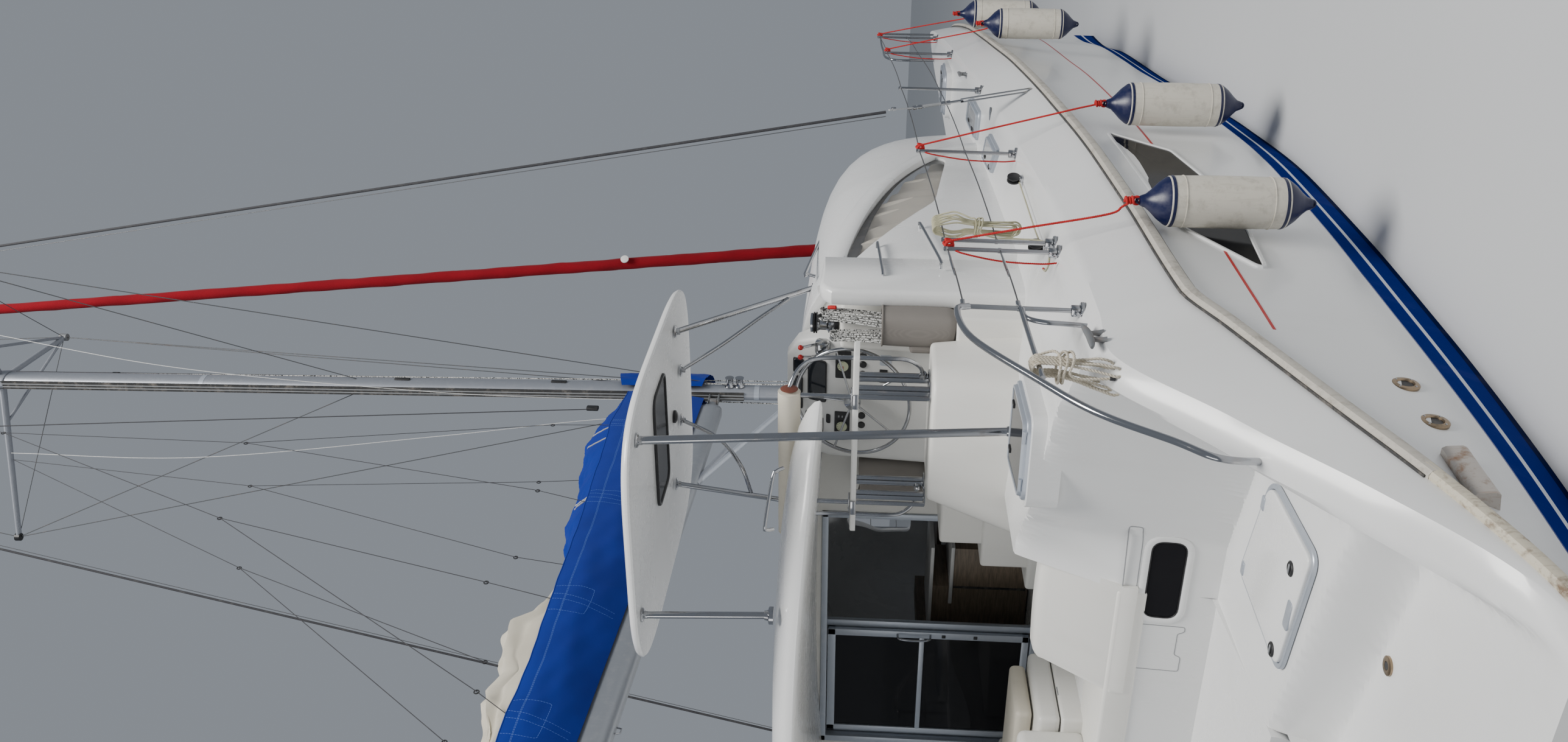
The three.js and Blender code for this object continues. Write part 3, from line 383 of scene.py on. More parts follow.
def weave_group():
    """Crossing threads with painted shade in the hollows between them and a little unevenness, for canvas
    and sailcloth.
    """
    tree, inside, out = new_group("weave",
                                  [("Colour", COLOUR, (1, 1, 1, 1)), ("Shade", COLOUR, (0, 0, 0, 1)),
                                   ("Threads", VALUE, 900.0), ("Fade", VALUE, 0.3)],
                                  [("Colour", COLOUR), ("Height", VALUE)])
    where = node(tree, "ShaderNodeTexCoord").outputs["Object"]
    waves = [node(tree, "ShaderNodeTexWave",
                  {"Vector": where, "Scale": inside.outputs["Threads"], "Distortion": 0.6},
                  bands_direction=way).outputs["Fac"] for way in ("X", "Z")]
    height = maths(tree, "MAXIMUM", *waves)
    fade = maths(tree, "MULTIPLY", ramp(tree, noise(tree, 2.2, detail=6), 0.35, 0.75),
                 inside.outputs["Fade"])
    # Painted shade: the colour goes towards Shade in the hollows between the threads; fade below adds
    # random darker patches.
    dark = mix(tree, maths(tree, "MULTIPLY", maths(tree, "SUBTRACT", 1.0, height), 0.35),
               inside.outputs["Colour"], inside.outputs["Shade"])
    tree.links.new(mix(tree, fade, dark, inside.outputs["Shade"]), out.inputs["Colour"])
    tree.links.new(height, out.inputs["Height"])
    return tree


def scuff_group():
    """Fine directional scratches and patches, for bare metal and worn vinyl."""
    tree, inside, out = new_group("scuffs",
                                  [("Colour", COLOUR, (1, 1, 1, 1)), ("Worn", COLOUR, (0.4, 0.35, 0.3, 1)),
                                   ("Amount", VALUE, 0.3), ("Rough", VALUE, 0.3)],
                                  [("Colour", COLOUR), ("Rough", VALUE), ("Height", VALUE)])
    patches = ramp(tree, noise(tree, 14, detail=7, rough=0.7), 0.5, 0.68)
    lines = ramp(tree, noise(tree, 55, (1, 1, 0.08), detail=5), 0.55, 0.75)
    share = maths(tree, "MULTIPLY", maths(tree, "MAXIMUM", patches, maths(tree, "MULTIPLY", lines, 0.6)),
                  inside.outputs["Amount"])
    tree.links.new(mix(tree, share, inside.outputs["Colour"], inside.outputs["Worn"]), out.inputs["Colour"])
    tree.links.new(maths(tree, "ADD", inside.outputs["Rough"], maths(tree, "MULTIPLY", share, 0.4)),
                   out.inputs["Rough"])
    tree.links.new(lines, out.inputs["Height"])
    return tree


GROUPS = {"weather": weather_group(), "weave": weave_group(), "scuffs": scuff_group()}


def rgb(colour):
    return (*colour, 1.0)


def material(name, group, values, bump=0.0, depth=0.001, **shader):
    """Principled material whose colour, roughness and bump come from one shared group."""
    mat = bpy.data.materials.new(name)
    mat.use_nodes = True
    tree = mat.node_tree
    principled = tree.nodes["Principled BSDF"]
    for key, value in shader.items():
        principled.inputs[key.replace("_", " ")].default_value = value
    inner = node(tree, "ShaderNodeGroup", node_tree=GROUPS[group])
    for key, value in values.items():
        inner.inputs[key].default_value = value
    tree.links.new(inner.outputs["Colour"], principled.inputs["Base Color"])
    if "Rough" in inner.outputs:
        tree.links.new(inner.outputs["Rough"], principled.inputs["Roughness"])
    if bump:
        made = node(tree, "ShaderNodeBump",
                    {"Height": inner.outputs["Height"], "Strength": bump, "Distance": depth})
        tree.links.new(made.outputs[0], principled.inputs["Normal"])
    mat["inner"] = inner.name
    return mat


def recolour(mat, build):
    """Feeds the group's clean colour from another pattern; build makes it in the material's tree."""
    tree = mat.node_tree
    tree.links.new(build(tree), tree.nodes[mat["inner"]].inputs["Colour"])
    return mat


class YachtLooks(bpy.types.PropertyGroup):
    """Sizes and colours that a user may change."""

    gelcoat: FloatVectorProperty(name="Gelcoat", description="Colour of the white mouldings",
                                 subtype="COLOR", default=(0.80, 0.805, 0.80))
    stripe: FloatVectorProperty(name="Stripe", description="Colour of the bands at the waterline",
                                subtype="COLOR", default=(0.001, 0.018, 0.19))
    pinstripe: FloatVectorProperty(name="Pinstripe", description="Colour of the line along the side",
                                   subtype="COLOR", default=(0.45, 0.005, 0.005))
    canvas: FloatVectorProperty(name="Canvas", description="Colour of the boom cover", subtype="COLOR",
                                default=(0.0, 0.024, 0.27))
    headsail: FloatVectorProperty(name="Headsail strip",
                                  description="Colour of the cover strip on the furled sail",
                                  subtype="COLOR", default=(0.27, 0.003, 0.012))
    sailcloth: FloatVectorProperty(name="Sailcloth", description="Colour of the stowed sail",
                                   subtype="COLOR", default=(0.62, 0.58, 0.48))
    floor: FloatVectorProperty(name="Floor", description="Colour of the floor at the waterline",
                               subtype="COLOR", default=(0.55, 0.56, 0.57))
    light: FloatProperty(name="Light", description="Power of the soft key light", default=6400.0, min=0.0,
                         unit="POWER")


def looks():
    return bpy.context.scene.yacht_looks


# Hull and deck forms, in millimetres in the tables and metres after them

HULL_COLUMNS = ("x mid keel water_out water_in chine_out chine_in chine_z rail_y rail_z edge_y edge_z "
                "top_y top_z inner_top_y inner_top_z in_y in_z low_y low_z").split()
HULL_ROWS = [
    (100, 2540, -30, 3080, 2000, 3290, 1870, 230, 3390, 390, 3385, 430, 3280, 515, 2900, 518, 1750, 520,
     1750, 400),
    (400, 2550, -120, 3150, 1960, 3330, 1830, 300, 3440, 455, 3430, 520, 3300, 568, 2900, 570, 1750, 572,
     1750, 480),
    (900, 2570, -260, 3240, 1900, 3400, 1790, 340, 3490, 625, 3460, 860, 3300, 905, 2900, 906, 1750, 907,
     1750, 700),
    (1430, 2580, -370, 3310, 1850, 3450, 1770, 350, 3525, 840, 3440, 1210, 3300, 1264, 2900, 1266, 1750,
     1268, 1750, 700),
    (2100, 2590, -460, 3370, 1790, 3480, 1755, 350, 3560, 1095, 3440, 1625, 3290, 1690, 2950, 1740, 1750,
     1800, 1750, 700),
    (2420, 2590, -490, 3390, 1770, 3490, 1752, 350, 3580, 1220, 3460, 1610, 3250, 1680, 2980, 1765, 1750,
     1830, 1750, 700),
    (3600, 2590, -560, 3440, 1745, 3530, 1752, 350, 3590, 1270, 3430, 1605, 3240, 1680, 2950, 1765, 1750,
     1830, 1750, 700),
    (4500, 2590, -590, 3450, 1740, 3540, 1752, 350, 3590, 1315, 3400, 1640, 3240, 1672, 2800, 1690, 1750,
     1700, 1750, 700),
    (6000, 2580, -605, 3355, 1800, 3450, 1760, 350, 3545, 1410, 3320, 1700, 3180, 1725, 2780, 1740, 1750,
     1750, 1750, 700),
    (7500, 2570, -600, 3190, 1960, 3300, 1850, 350, 3450, 1500, 3220, 1768, 3080, 1790, 2700, 1805, 1750,
     1815, 1750, 700),
    (8900, 2570, -575, 3025, 2110, 3130, 2000, 350, 3300, 1570, 3110, 1832, 2980, 1852, 2500, 1865, 1750,
     1870, 1750, 700),
    (9650, 2570, -550, 2950, 2190, 3050, 2080, 350, 3210, 1600, 3040, 1863, 2920, 1883, 2500, 1893, 1960,
     1890, 2050, 700),
    (10900, 2570, -500, 2820, 2320, 2900, 2230, 350, 3050, 1655, 2910, 1922, 2810, 1938, 2570, 1945, 2190,
     1940, 2215, 900),
    (12200, 2570, -400, 2620, 2520, 2680, 2460, 350, 2820, 1710, 2740, 1980, 2690, 1990, 2570, 1995, 2370,
     1990, 2440, 900),
    (12750, 2570, -300, 2582, 2558, 2602, 2538, 350, 2690, 1735, 2650, 2000, 2620, 2008, 2570, 2012, 2490,
     2008, 2530, 900),
    (12950, 2570, -160, 2574, 2566, 2580, 2560, 350, 2602, 1745, 2600, 2005, 2592, 2012, 2570, 2015, 2545,
     2010, 2556, 900),
]
HULL = {name: np.array(column) * MM for name, column in zip(HULL_COLUMNS, zip(*HULL_ROWS))}
STERN, BOW = HULL["x"][0], HULL["x"][-1]
DECK_SPLIT = HULL["in_y"][0]        # half width of the bridgedeck between the hulls
LOW_STEP, HIGH_STEP, COCKPIT_FLOOR = 0.520, 0.780, 1.300
SHELF_START, RISER = 1.500, 2.545
BRIDGE_FRONT, FOREDECK_Z = 9.500, 1.860


def form(name, station):
    return curve_through(HULL["x"], HULL[name], station)


def side_y(station, z):
    """Half breadth of the hull's outer face below the rub rail."""
    chine, rail = form("chine_z", station), form("rail_z", station)
    t = np.clip((z - chine) / (rail - chine), 0, 1)
    up = form("chine_out", station) + (form("rail_y", station) - form("chine_out", station)) * t
    up = up - 0.02 * np.sin(np.pi * t) * np.clip((station - 2) / 3, 0, 1)
    low = form("water_out", station) + (form("chine_out", station) - form("water_out", station)) * np.clip(
        z / chine, 0, 1)
    return np.where(z > chine, up, low)


def crown(station, y):
    """Deck surface before the stern well is taken out of it."""
    f = {name: form(name, station) for name in HULL_COLUMNS[10:18]}
    inner = f["in_z"] + (f["inner_top_z"] - f["in_z"]) * np.clip(
        (y - f["in_y"]) / np.maximum(f["inner_top_y"] - f["in_y"], 1e-3), 0, 1)
    middle = f["inner_top_z"] + (f["top_z"] - f["inner_top_z"]) * np.clip(
        (y - f["inner_top_y"]) / (f["top_y"] - f["inner_top_y"]), 0, 1)
    over = np.clip((y - f["top_y"]) / (f["edge_y"] - f["top_y"]), 0, 1)
    shoulder = f["top_z"] + (f["edge_z"] - f["top_z"]) * over**2.2
    return np.where(y < f["inner_top_y"], inner, np.where(y < f["top_y"], middle, shoulder))


def riser_start(y):
    return RISER - 0.34 * np.maximum(y - 2.1, 0)


def deck_z(station, y):
    """Height of the finished deck, with the two stern steps and the sloping inside of the wing."""
    top = crown(station, y)
    edge = 1.51 - 0.276 * (y - 2.0)
    steps = LOW_STEP + (HIGH_STEP - LOW_STEP) * soft_step((station - edge + 0.16) / 0.16)
    into = station - riser_start(y)
    slope = 0.46 / (0.26 - 0.19 * soft_step((y - 1.75) / 0.5))
    face = soft_min(HIGH_STEP + 14 * into, 1.29 + slope * (into - 0.04), 0.05)
    wing = LOW_STEP + (y - 3.24 + 0.3235 * (station - 0.5)) / 0.48
    well = soft_max(soft_max(steps, face, 0.035), wing, 0.05)
    return soft_min(top, well, 0.03)


def bridge_z(station, y):
    """Deck between the hulls: aft shelf, riser, cockpit and saloon floor, foredeck."""
    into = station - RISER
    face = np.minimum(HIGH_STEP + 14 * into, COCKPIT_FLOOR)
    aft = soft_max(np.full_like(station, HIGH_STEP), face, 0.02)
    return np.where(station > 7.25, FOREDECK_Z, np.minimum(aft, COCKPIT_FLOOR)) + 0 * y


def stations_between(*stretches):
    """Stations from (start, end, step) stretches, the last end included."""
    parts = [np.arange(a, b - 1e-6, s) for a, b, s in stretches]
    return np.concatenate(parts + [[stretches[-1][1]]])


def hull_rings():
    """Closed sections of the starboard hull: deck from inboard out, outer side, bottom, inner side."""
    x = stations_between((STERN, 0.16, 0.02), (0.16, 1.1, 0.05), (1.1, 1.6, 0.022), (1.6, 2.3, 0.04),
                         (2.3, 2.62, 0.01), (2.62, 3.3, 0.03), (3.3, 9.5, 0.13), (9.5, 12.6, 0.12),
                         (12.6, BOW, 0.035))
    across = np.r_[np.linspace(0, 0.9, 46), 0.9 + 0.1 * np.linspace(0, 1, 9)[1:] ** 0.8]
    f = {name: form(name, x) for name in HULL_COLUMNS}
    rows = []
    for t in across:
        y = f["in_y"] + (f["edge_y"] - f["in_y"]) * t
        rows.append((y, deck_z(x, y)))
    for t in (0.08, 0.3, 0.55, 0.8):
        rows.append((f["edge_y"] + (f["rail_y"] - f["edge_y"]) * t + 0.006 * math.sin(math.pi * t),
                     f["edge_z"] + (f["rail_z"] - f["edge_z"]) * t))
    for t in np.linspace(0, 1, 10):
        z = f["rail_z"] + (f["chine_z"] + 0.004 - f["rail_z"]) * t
        rows.append((side_y(x, z), z))
    for t in (0.15, 0.5, 1.0):
        z = f["chine_z"] * (1 - t)
        rows.append((side_y(x, z), z))
    for half, side in (("water_out", 1), ("water_in", -1)):
        turn = np.linspace(80, 0, 9) if side > 0 else np.linspace(10, 90, 9)
        for a in np.radians(turn):
            rows.append((f["mid"] + (f[half] - f["mid"]) * math.sin(a), f["keel"] * math.cos(a)))
    rows += [(f["chine_in"], f["chine_z"]), (f["low_y"], f["low_z"])]
    inner_z = deck_z(x, f["in_y"])
    rows += [(f["low_y"] + (f["in_y"] - f["low_y"]) * t, f["low_z"] + (inner_z - f["low_z"]) * t)
             for t in (0.4, 0.8)]
    return [[(s - AMIDSHIPS, -r[0][i], r[1][i]) for r in rows] for i, s in enumerate(x)]


def hull_shape():
    points, faces = skin_rings(hull_rings())
    bm = bmesh.new()
    made = [bm.verts.new(p) for p in points]
    for f in faces:
        bm.faces.new([made[i] for i in f])
    bmesh.ops.remove_doubles(bm, verts=bm.verts, dist=0.0004)
    bmesh.ops.recalc_face_normals(bm, faces=bm.faces)
    return from_bmesh(bm)


def bridge_shape():
    x = stations_between((SHELF_START, 2.3, 0.08), (2.3, 2.62, 0.012), (2.62, 7.2, 0.25), (7.2, 7.3, 0.01),
                         (7.3, BRIDGE_FRONT, 0.2))
    y = np.linspace(-DECK_SPLIT, DECK_SPLIT, 29)
    rings = []
    for s in x:
        under = float(np.interp(s, (1.5, 3.0, 8.7, 9.3, 9.5), (0.62, 0.69, 0.74, 1.0, 1.5)))
        deck = bridge_z(np.full_like(y, s), y)
        deck = np.maximum(deck, under + 0.1)
        low = [(s - AMIDSHIPS, side * (DECK_SPLIT - r * (1 - math.sin(a))), under + r * (1 - math.cos(a)))
               for side in (1, -1) for r in (0.14,)
               for a in (np.linspace(math.pi / 2, 0, 5) if side > 0 else np.linspace(0, math.pi / 2, 5))]
        rings.append([(s - AMIDSHIPS, v, d) for v, d in zip(y, deck)] + low)
    points, faces = skin_rings(rings)
    return points, [tuple(reversed(f)) for f in faces]


# Materials

FINISH = {}


def bands(tree, axis, stops, low, high):
    """Colour in sharp bands along one object axis; stops are (height, colour) from the lowest up."""
    where = node(tree, "ShaderNodeTexCoord").outputs["Object"]
    height = node(tree, "ShaderNodeSeparateXYZ", {0: where}).outputs[axis]
    share = ramp(tree, height, low, high)
    made = node(tree, "ShaderNodeValToRGB", {"Fac": share})
    ramps = made.color_ramp
    ramps.interpolation = "CONSTANT"
    ramps.elements[0].color = stops[0][1]
    ramps.elements.remove(ramps.elements[1])
    for level, colour in stops[1:]:
        ramps.elements.new((level - low) / (high - low)).color = colour
    return made.outputs["Color"]


def finish(key, group, colour, marks=(0.4, 0.35, 0.3), amount=0.3, rough=0.3, name=None, **shader):
    """One hard or rope finish; marks is the colour of its grime or wear."""
    second = "Grime" if group == "weather" else "Worn"
    values = {"Colour": rgb(colour), second: rgb(marks), "Amount": amount, "Rough": rough}
    FINISH[key] = material(name or key, group, values, **shader)


def woven(key, colour, shade, threads=900.0, fade=0.3, name=None, **shader):
    """One cloth finish; shade is the darker colour painted between its threads as their shade, and in
    random faded patches.
    """
    values = {"Colour": rgb(colour), "Shade": rgb(shade), "Threads": threads, "Fade": fade}
    FINISH[key] = material(name or key, "weave", values, **shader)


GRIME = (0.36, 0.33, 0.25)
BLACK, MID_GREY = (0.1, 0.1, 0.1), (0.5, 0.5, 0.5)
UNDERWATER, PALE_BAND = (0.002, 0.009, 0.06), (0.66, 0.70, 0.76)
BAND_LEVELS = (0.035, 0.118, 0.142, 0.238)      # heights where the bands along the waterline change colour
BAND_REACH = 1.5
MATT_CLOTH = {"bump": 0.25, "depth": 0.0008, "Roughness": 0.9, "Sheen_Weight": 0.05,
              "Specular_IOR_Level": 0.2}


def make_hull_side():
    """Gelcoat with the bands along the waterline, which have no gloss coat."""
    p = looks()
    colours = [rgb(c) for c in (p.stripe, PALE_BAND, p.stripe, p.gelcoat)]
    stops = [(-BAND_REACH, rgb(UNDERWATER))] + list(zip(BAND_LEVELS, colours))
    finish("hull_side", "weather", (1, 1, 1), GRIME, 0.14, 0.24, bump=0.02, Coat_Roughness=0.06)
    recolour(FINISH["hull_side"], lambda tree: bands(tree, "Z", stops, -BAND_REACH, BAND_REACH))
    tree = FINISH["hull_side"].node_tree
    where = node(tree, "ShaderNodeTexCoord").outputs["Object"]
    height = node(tree, "ShaderNodeSeparateXYZ", {0: where}).outputs["Z"]
    for socket, bright in (("Coat Weight", 0.14), ("Specular IOR Level", 0.5)):
        edge = BAND_LEVELS[-1]
        tree.links.new(ramp(tree, height, edge, edge + 0.004, 0.0, bright),
                       tree.nodes["Principled BSDF"].inputs[socket])


def make_finishes():
    p = looks()
    finish("gelcoat", "weather", p.gelcoat, GRIME, 0.16, 0.26, bump=0.03, Coat_Weight=0.25,
           Coat_Roughness=0.12)
    make_hull_side()
    finish("warm", "weather", (0.78, 0.77, 0.73), GRIME, 0.2, 0.38, "warm_gelcoat", bump=0.05)
    finish("nonslip", "weather", (0.76, 0.77, 0.77), GRIME, 0.25, 0.6, bump=0.5, depth=0.002)
    finish("moulded", "weather", (0.74, 0.74, 0.72), GRIME, 0.18, 0.38, "moulded_white", bump=0.06)
    finish("bottom", "weather", UNDERWATER, (0.05, 0.09, 0.06), 0.8, 0.75, "antifouling", bump=0.3,
           depth=0.002)

    finish("dark_glass", "weather", (0.012, 0.012, 0.014), (0.2, 0.19, 0.17), 0.03, 0.12,
           Specular_IOR_Level=0.05)
    finish("pane", "weather", (0.80, 0.80, 0.80), (0.3, 0.3, 0.3), 0.05, 0.02, "tinted_pane",
           Transmission_Weight=0.96, IOR=1.1)
    finish("tinted", "weather", (0.05, 0.05, 0.055), (0.2, 0.2, 0.2), 0.1, 0.04, "tinted_door",
           Transmission_Weight=0.75, IOR=1.3)
    finish("screen", "weather", (0.01, 0.013, 0.018), BLACK, 0.2, 0.08, "display_glass", Coat_Weight=0.6)
    finish("dial", "weather", (0.52, 0.55, 0.38), GRIME, 0.2, 0.3, "dial_face")
    finish("red_button", "weather", (0.42, 0.01, 0.01), (0.3, 0.27, 0.2), 0.1, 0.3)
    finish("cream", "weather", (0.72, 0.67, 0.56), (0.35, 0.3, 0.2), 0.35, 0.45, "cream_vinyl", bump=0.25,
           depth=0.0008)
    finish("leather", "weather", (0.17, 0.05, 0.03), (0.05, 0.03, 0.02), 0.5, 0.5, "leather_end", bump=0.2)
    finish("oak", "weather", (1, 1, 1), (0.1, 0.08, 0.05), 0.3, 0.5, bump=0.1)
    recolour(FINISH["oak"], lambda tree: mix(tree,
                                             ramp(tree, noise(tree, 6, (1, 1, 12), 6, 0.7), 0.35, 0.7),
                                             rgb((0.27, 0.21, 0.15)), rgb((0.12, 0.09, 0.06))))

    finish("rub_rail", "scuffs", (0.52, 0.49, 0.43), (0.22, 0.19, 0.15), 0.6, 0.55, bump=0.3)
    finish("worn_rail", "scuffs", (0.58, 0.53, 0.42), (0.16, 0.10, 0.06), 0.9, 0.6, bump=0.5, depth=0.003)
    # Black for sealant lines and small black marks; the same black is also the painted shade strip inside
    # the cabin's side windows.
    finish("black_line", "scuffs", (0.03, 0.03, 0.03), rough=0.5, name="black_sealant_and_painted_shade")
    finish("pinstripe", "scuffs", p.pinstripe, (0.5, 0.2, 0.18), 0.3, 0.4)
    finish("stainless", "scuffs", (0.41, 0.42, 0.44), (0.30, 0.22, 0.15), 0.2, 0.12, bump=0.02,
           Metallic=1.0)
    finish("anodised", "scuffs", (0.33, 0.35, 0.39), MID_GREY, 0.14, 0.42, bump=0.03, Metallic=0.6)
    finish("silver_frame", "scuffs", (0.46, 0.50, 0.56), (0.7, 0.7, 0.7), 0.2, 0.4, bump=0.03,
           Metallic=0.55)
    finish("grey_frame", "scuffs", (0.27, 0.28, 0.29), MID_GREY, 0.25, 0.45, Metallic=0.3)
    finish("boom_grey", "scuffs", (0.30, 0.32, 0.35), MID_GREY, 0.2, 0.38, bump=0.03, Metallic=0.5)
    finish("grey_wire", "scuffs", (0.10, 0.105, 0.11), (0.15, 0.1, 0.08), 0.4, 0.4, bump=0.3, Metallic=0.6)
    finish("bronze", "scuffs", (0.32, 0.24, 0.16), (0.10, 0.09, 0.06), 0.5, 0.3, bump=0.1, Metallic=1.0)
    finish("cast_grey", "scuffs", (0.20, 0.21, 0.22), (0.3, 0.2, 0.13), 0.3, 0.55, bump=0.2, depth=0.002,
           Metallic=0.4)
    finish("rusty", "scuffs", (0.50, 0.46, 0.42), (0.26, 0.11, 0.03), 0.7, 0.35, "worn_guard", bump=0.2,
           Metallic=0.8)
    finish("black_plastic", "scuffs", (0.012, 0.012, 0.013), (0.08, 0.08, 0.08), 0.3, 0.4, bump=0.08)
    finish("netting", "scuffs", (0.03, 0.03, 0.032), (0.12, 0.12, 0.12), 0.4, 0.8, bump=0.3)
    finish("fender_white", "scuffs", (0.68, 0.64, 0.55), (0.28, 0.25, 0.19), 0.38, 0.42, bump=0.12,
           depth=0.002)
    finish("fender_navy", "scuffs", (0.002, 0.006, 0.05), (0.06, 0.06, 0.1), 0.4, 0.35, bump=0.1)
    for name, colour, worn in (("rope_red", (0.50, 0.012, 0.012), (0.18, 0.01, 0.01)),
                               ("rope_beige", (0.60, 0.55, 0.45), (0.30, 0.22, 0.12)),
                               ("rope_olive", (0.46, 0.44, 0.30), (0.2, 0.19, 0.1)),
                               ("rope_white", (0.66, 0.66, 0.64), (0.3, 0.3, 0.28)),
                               ("rope_dark", (0.03, 0.03, 0.035), BLACK)):
        finish(name, "scuffs", colour, worn, 0.5, 0.8, bump=0.4, depth=0.002)
    finish("rope_flecked", "scuffs", (1, 1, 1), (0.2, 0.2, 0.2), 0.3, 0.8, bump=0.4, depth=0.002)
    recolour(FINISH["rope_flecked"], lambda tree: mix(tree,
                                                      ramp(tree, noise(tree, 95, detail=1), 0.52, 0.56),
                                                      rgb((0.62, 0.62, 0.6)), rgb((0.02, 0.02, 0.02))))

    woven("canvas", p.canvas, (0.0, 0.008, 0.09), 420.0, 0.35, **MATT_CLOTH)
    woven("headsail", p.headsail, (0.09, 0.001, 0.004), 420.0, 0.35, "headsail_strip", **MATT_CLOTH)
    woven("sailcloth", p.sailcloth, (0.30, 0.27, 0.2), 500.0, 0.4, bump=0.15, depth=0.0008, Roughness=0.7)
    woven("webbing", (0.42, 0.42, 0.41), (0.2, 0.2, 0.2), 500.0, bump=0.2, Roughness=0.8)
    woven("thread", (0.10, 0.20, 0.55), (0.03, 0.08, 0.3), name="pale_thread", Roughness=0.8)
    woven("taupe", (0.25, 0.23, 0.21), (0.12, 0.11, 0.1), 260.0, 0.25, "taupe_mesh", bump=0.5, depth=0.001,
          Roughness=0.85)
    woven("curtain", (0.86, 0.81, 0.71), (0.42, 0.36, 0.27), 300.0, 0.3, bump=0.2, Roughness=0.9)


NODE_FINISH = {
    "gelcoat": ("hull_starboard hull_port bridgedeck saloon_walls roof helm_moulding helm_seat hardtop "
                "engine_hatch_starboard engine_hatch_port"),
    "warm": "cockpit_moulding aft_bulkhead", "moulded": "helm_console",
    "bottom": "keel_starboard keel_port rudder_starboard rudder_port",
    "stainless": "steering_wheel hardtop_frame guardrail_starboard guardrail_port",
    "anodised": "mast spreaders boom forestay_drum crossbeam",
    "dark_glass": ("saloon_side_glass_starboard saloon_side_glass_port "
                   "saloon_front_glass_starboard saloon_front_glass_port "
                   "aft_deck_hatch_starboard aft_deck_hatch_port "
                   "fore_deck_hatch_starboard fore_deck_hatch_port"),
    "pane": "fixed_door_pane sliding_door", "oak": "galley_cabinet saloon_seat_and_table",
    "cream": "helm_bolster", "taupe": "rope_bag", "canvas": "sail_bag", "sailcloth": "mainsail",
               "headsail": "furled_genoa",
    "black_plastic": "shroud_starboard shroud_port", "netting": "trampoline_starboard trampoline_port",
    "cast_grey": "anchor_arm saildrive_starboard saildrive_port engine_starboard engine_port",
    "bronze": "propeller_starboard propeller_port", "fender_white": "fender_1 fender_2 fender_3 fender_4",
}


class YACHT_OT_materials(bpy.types.Operator):
    """Makes every finish and gives the carried-over nodes theirs"""
    bl_idname = "yacht.materials"
    bl_label = "Materials"

    def execute(self, context):
        make_finishes()
        for finish, names in NODE_FINISH.items():
            for name in names.split():
                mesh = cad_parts[name].data
                mesh.materials.clear()
                mesh.materials.append(FINISH[finish])
        return {"FINISHED"}


# Stage

CAMERA = {"eye": at(-3.064, -5.867, 2.698), "yaw": 26.77, "pitch": 3.703, "roll": 1.724}
FOCAL_PIXELS, FRAME_PIXELS, SENSOR = 2062.4, 2576, 36.0


def photo_camera():
    """Camera turned on its side, so the mast points to the left."""
    yaw, pitch, roll = (math.radians(CAMERA[k]) for k in ("yaw", "pitch", "roll"))
    ahead = Vector((math.cos(yaw) * math.cos(pitch), math.sin(yaw) * math.cos(pitch), math.sin(pitch)))
    right = Vector((math.sin(yaw), -math.cos(yaw), 0))
    up = right.cross(ahead)
    right, up = right * math.cos(roll) + up * math.sin(roll), up * math.cos(roll) - right * math.sin(roll)
    data = bpy.data.cameras.new("photo_camera")
    data.sensor_width, data.lens = SENSOR, FOCAL_PIXELS * SENSOR / FRAME_PIXELS
    data.clip_end = 300
    camera = bpy.data.objects.new("photo_camera", data)
    turn = Matrix((-up, right, -ahead)).transposed()
    camera.matrix_world = Matrix.Translation(CAMERA["eye"]) @ turn.to_4x4()
    bpy.context.scene.collection.objects.link(camera)
    bpy.context.scene.camera = camera


class YACHT_OT_stage(bpy.types.Operator):
    """Camera, pale floor at the waterline and soft light"""
    bl_idname = "yacht.stage"
    bl_label = "Stage"

    def execute(self, context):
        photo_camera()
        reach = 90
        mesh = bpy.data.meshes.new("floor")
        mesh.from_pydata([(-reach, -reach, 0), (reach, -reach, 0), (reach, reach, 0), (-reach, reach, 0)],
                         [], [(0, 1, 2, 3)])
        mesh.materials.append(material("floor", "weather",
                                       {"Colour": rgb(looks().floor), "Grime": rgb((0.5, 0.5, 0.5)),
                                        "Amount": 0.15, "Rough": 0.5}))
        floor = bpy.data.objects.new("floor", mesh)
        context.scene.collection.objects.link(floor)
        world = bpy.data.worlds.new("studio")
        world.use_nodes = True
        world.node_tree.nodes["Background"].inputs["Color"].default_value = (0.80, 0.87, 0.97, 1)
        world.node_tree.nodes["Background"].inputs["Strength"].default_value = 0.31
        context.scene.world = world
        for name, place, size, power in (("key", (-7, -10, 22), 9, looks().light),
                                         ("fill", (-24, 6, 10), 12, 900)):
            data = bpy.data.lights.new(name, "AREA")
            data.energy, data.size, data.color = power, size, (1.0, 0.98, 0.95)
            light = bpy.data.objects.new(name, data)
            light.location = place
            light.rotation_euler = (Vector((0, 0, 2)) - Vector(place)).to_track_quat("-Z", "Y").to_euler()
            context.scene.collection.objects.link(light)
        return {"FINISHED"}


# Geometry node trees

def flow(name, inputs):
    """New geometry tree with named number inputs and a material input."""
    tree = bpy.data.node_groups.new(name, "GeometryNodeTree")
    tree.interface.new_socket("Geometry", in_out="INPUT", socket_type="NodeSocketGeometry")
    for title, value in inputs.items():
        tree.interface.new_socket(title, in_out="INPUT",
                                  socket_type="NodeSocketFloat").default_value = value
    tree.interface.new_socket("Finish", in_out="INPUT", socket_type="NodeSocketMaterial")
    tree.interface.new_socket("Geometry", in_out="OUTPUT", socket_type="NodeSocketGeometry")
    return tree, tree.nodes.new("NodeGroupInput"), tree.nodes.new("NodeGroupOutput")


def end_flow(tree, inside, out, geometry):
    real = node(tree, "GeometryNodeRealizeInstances", {0: geometry})
    done = node(tree, "GeometryNodeSetMaterial",
                {"Geometry": real.outputs[0], "Material": inside.outputs["Finish"]})
    tree.links.new(done.outputs[0], out.inputs[0])
    return tree


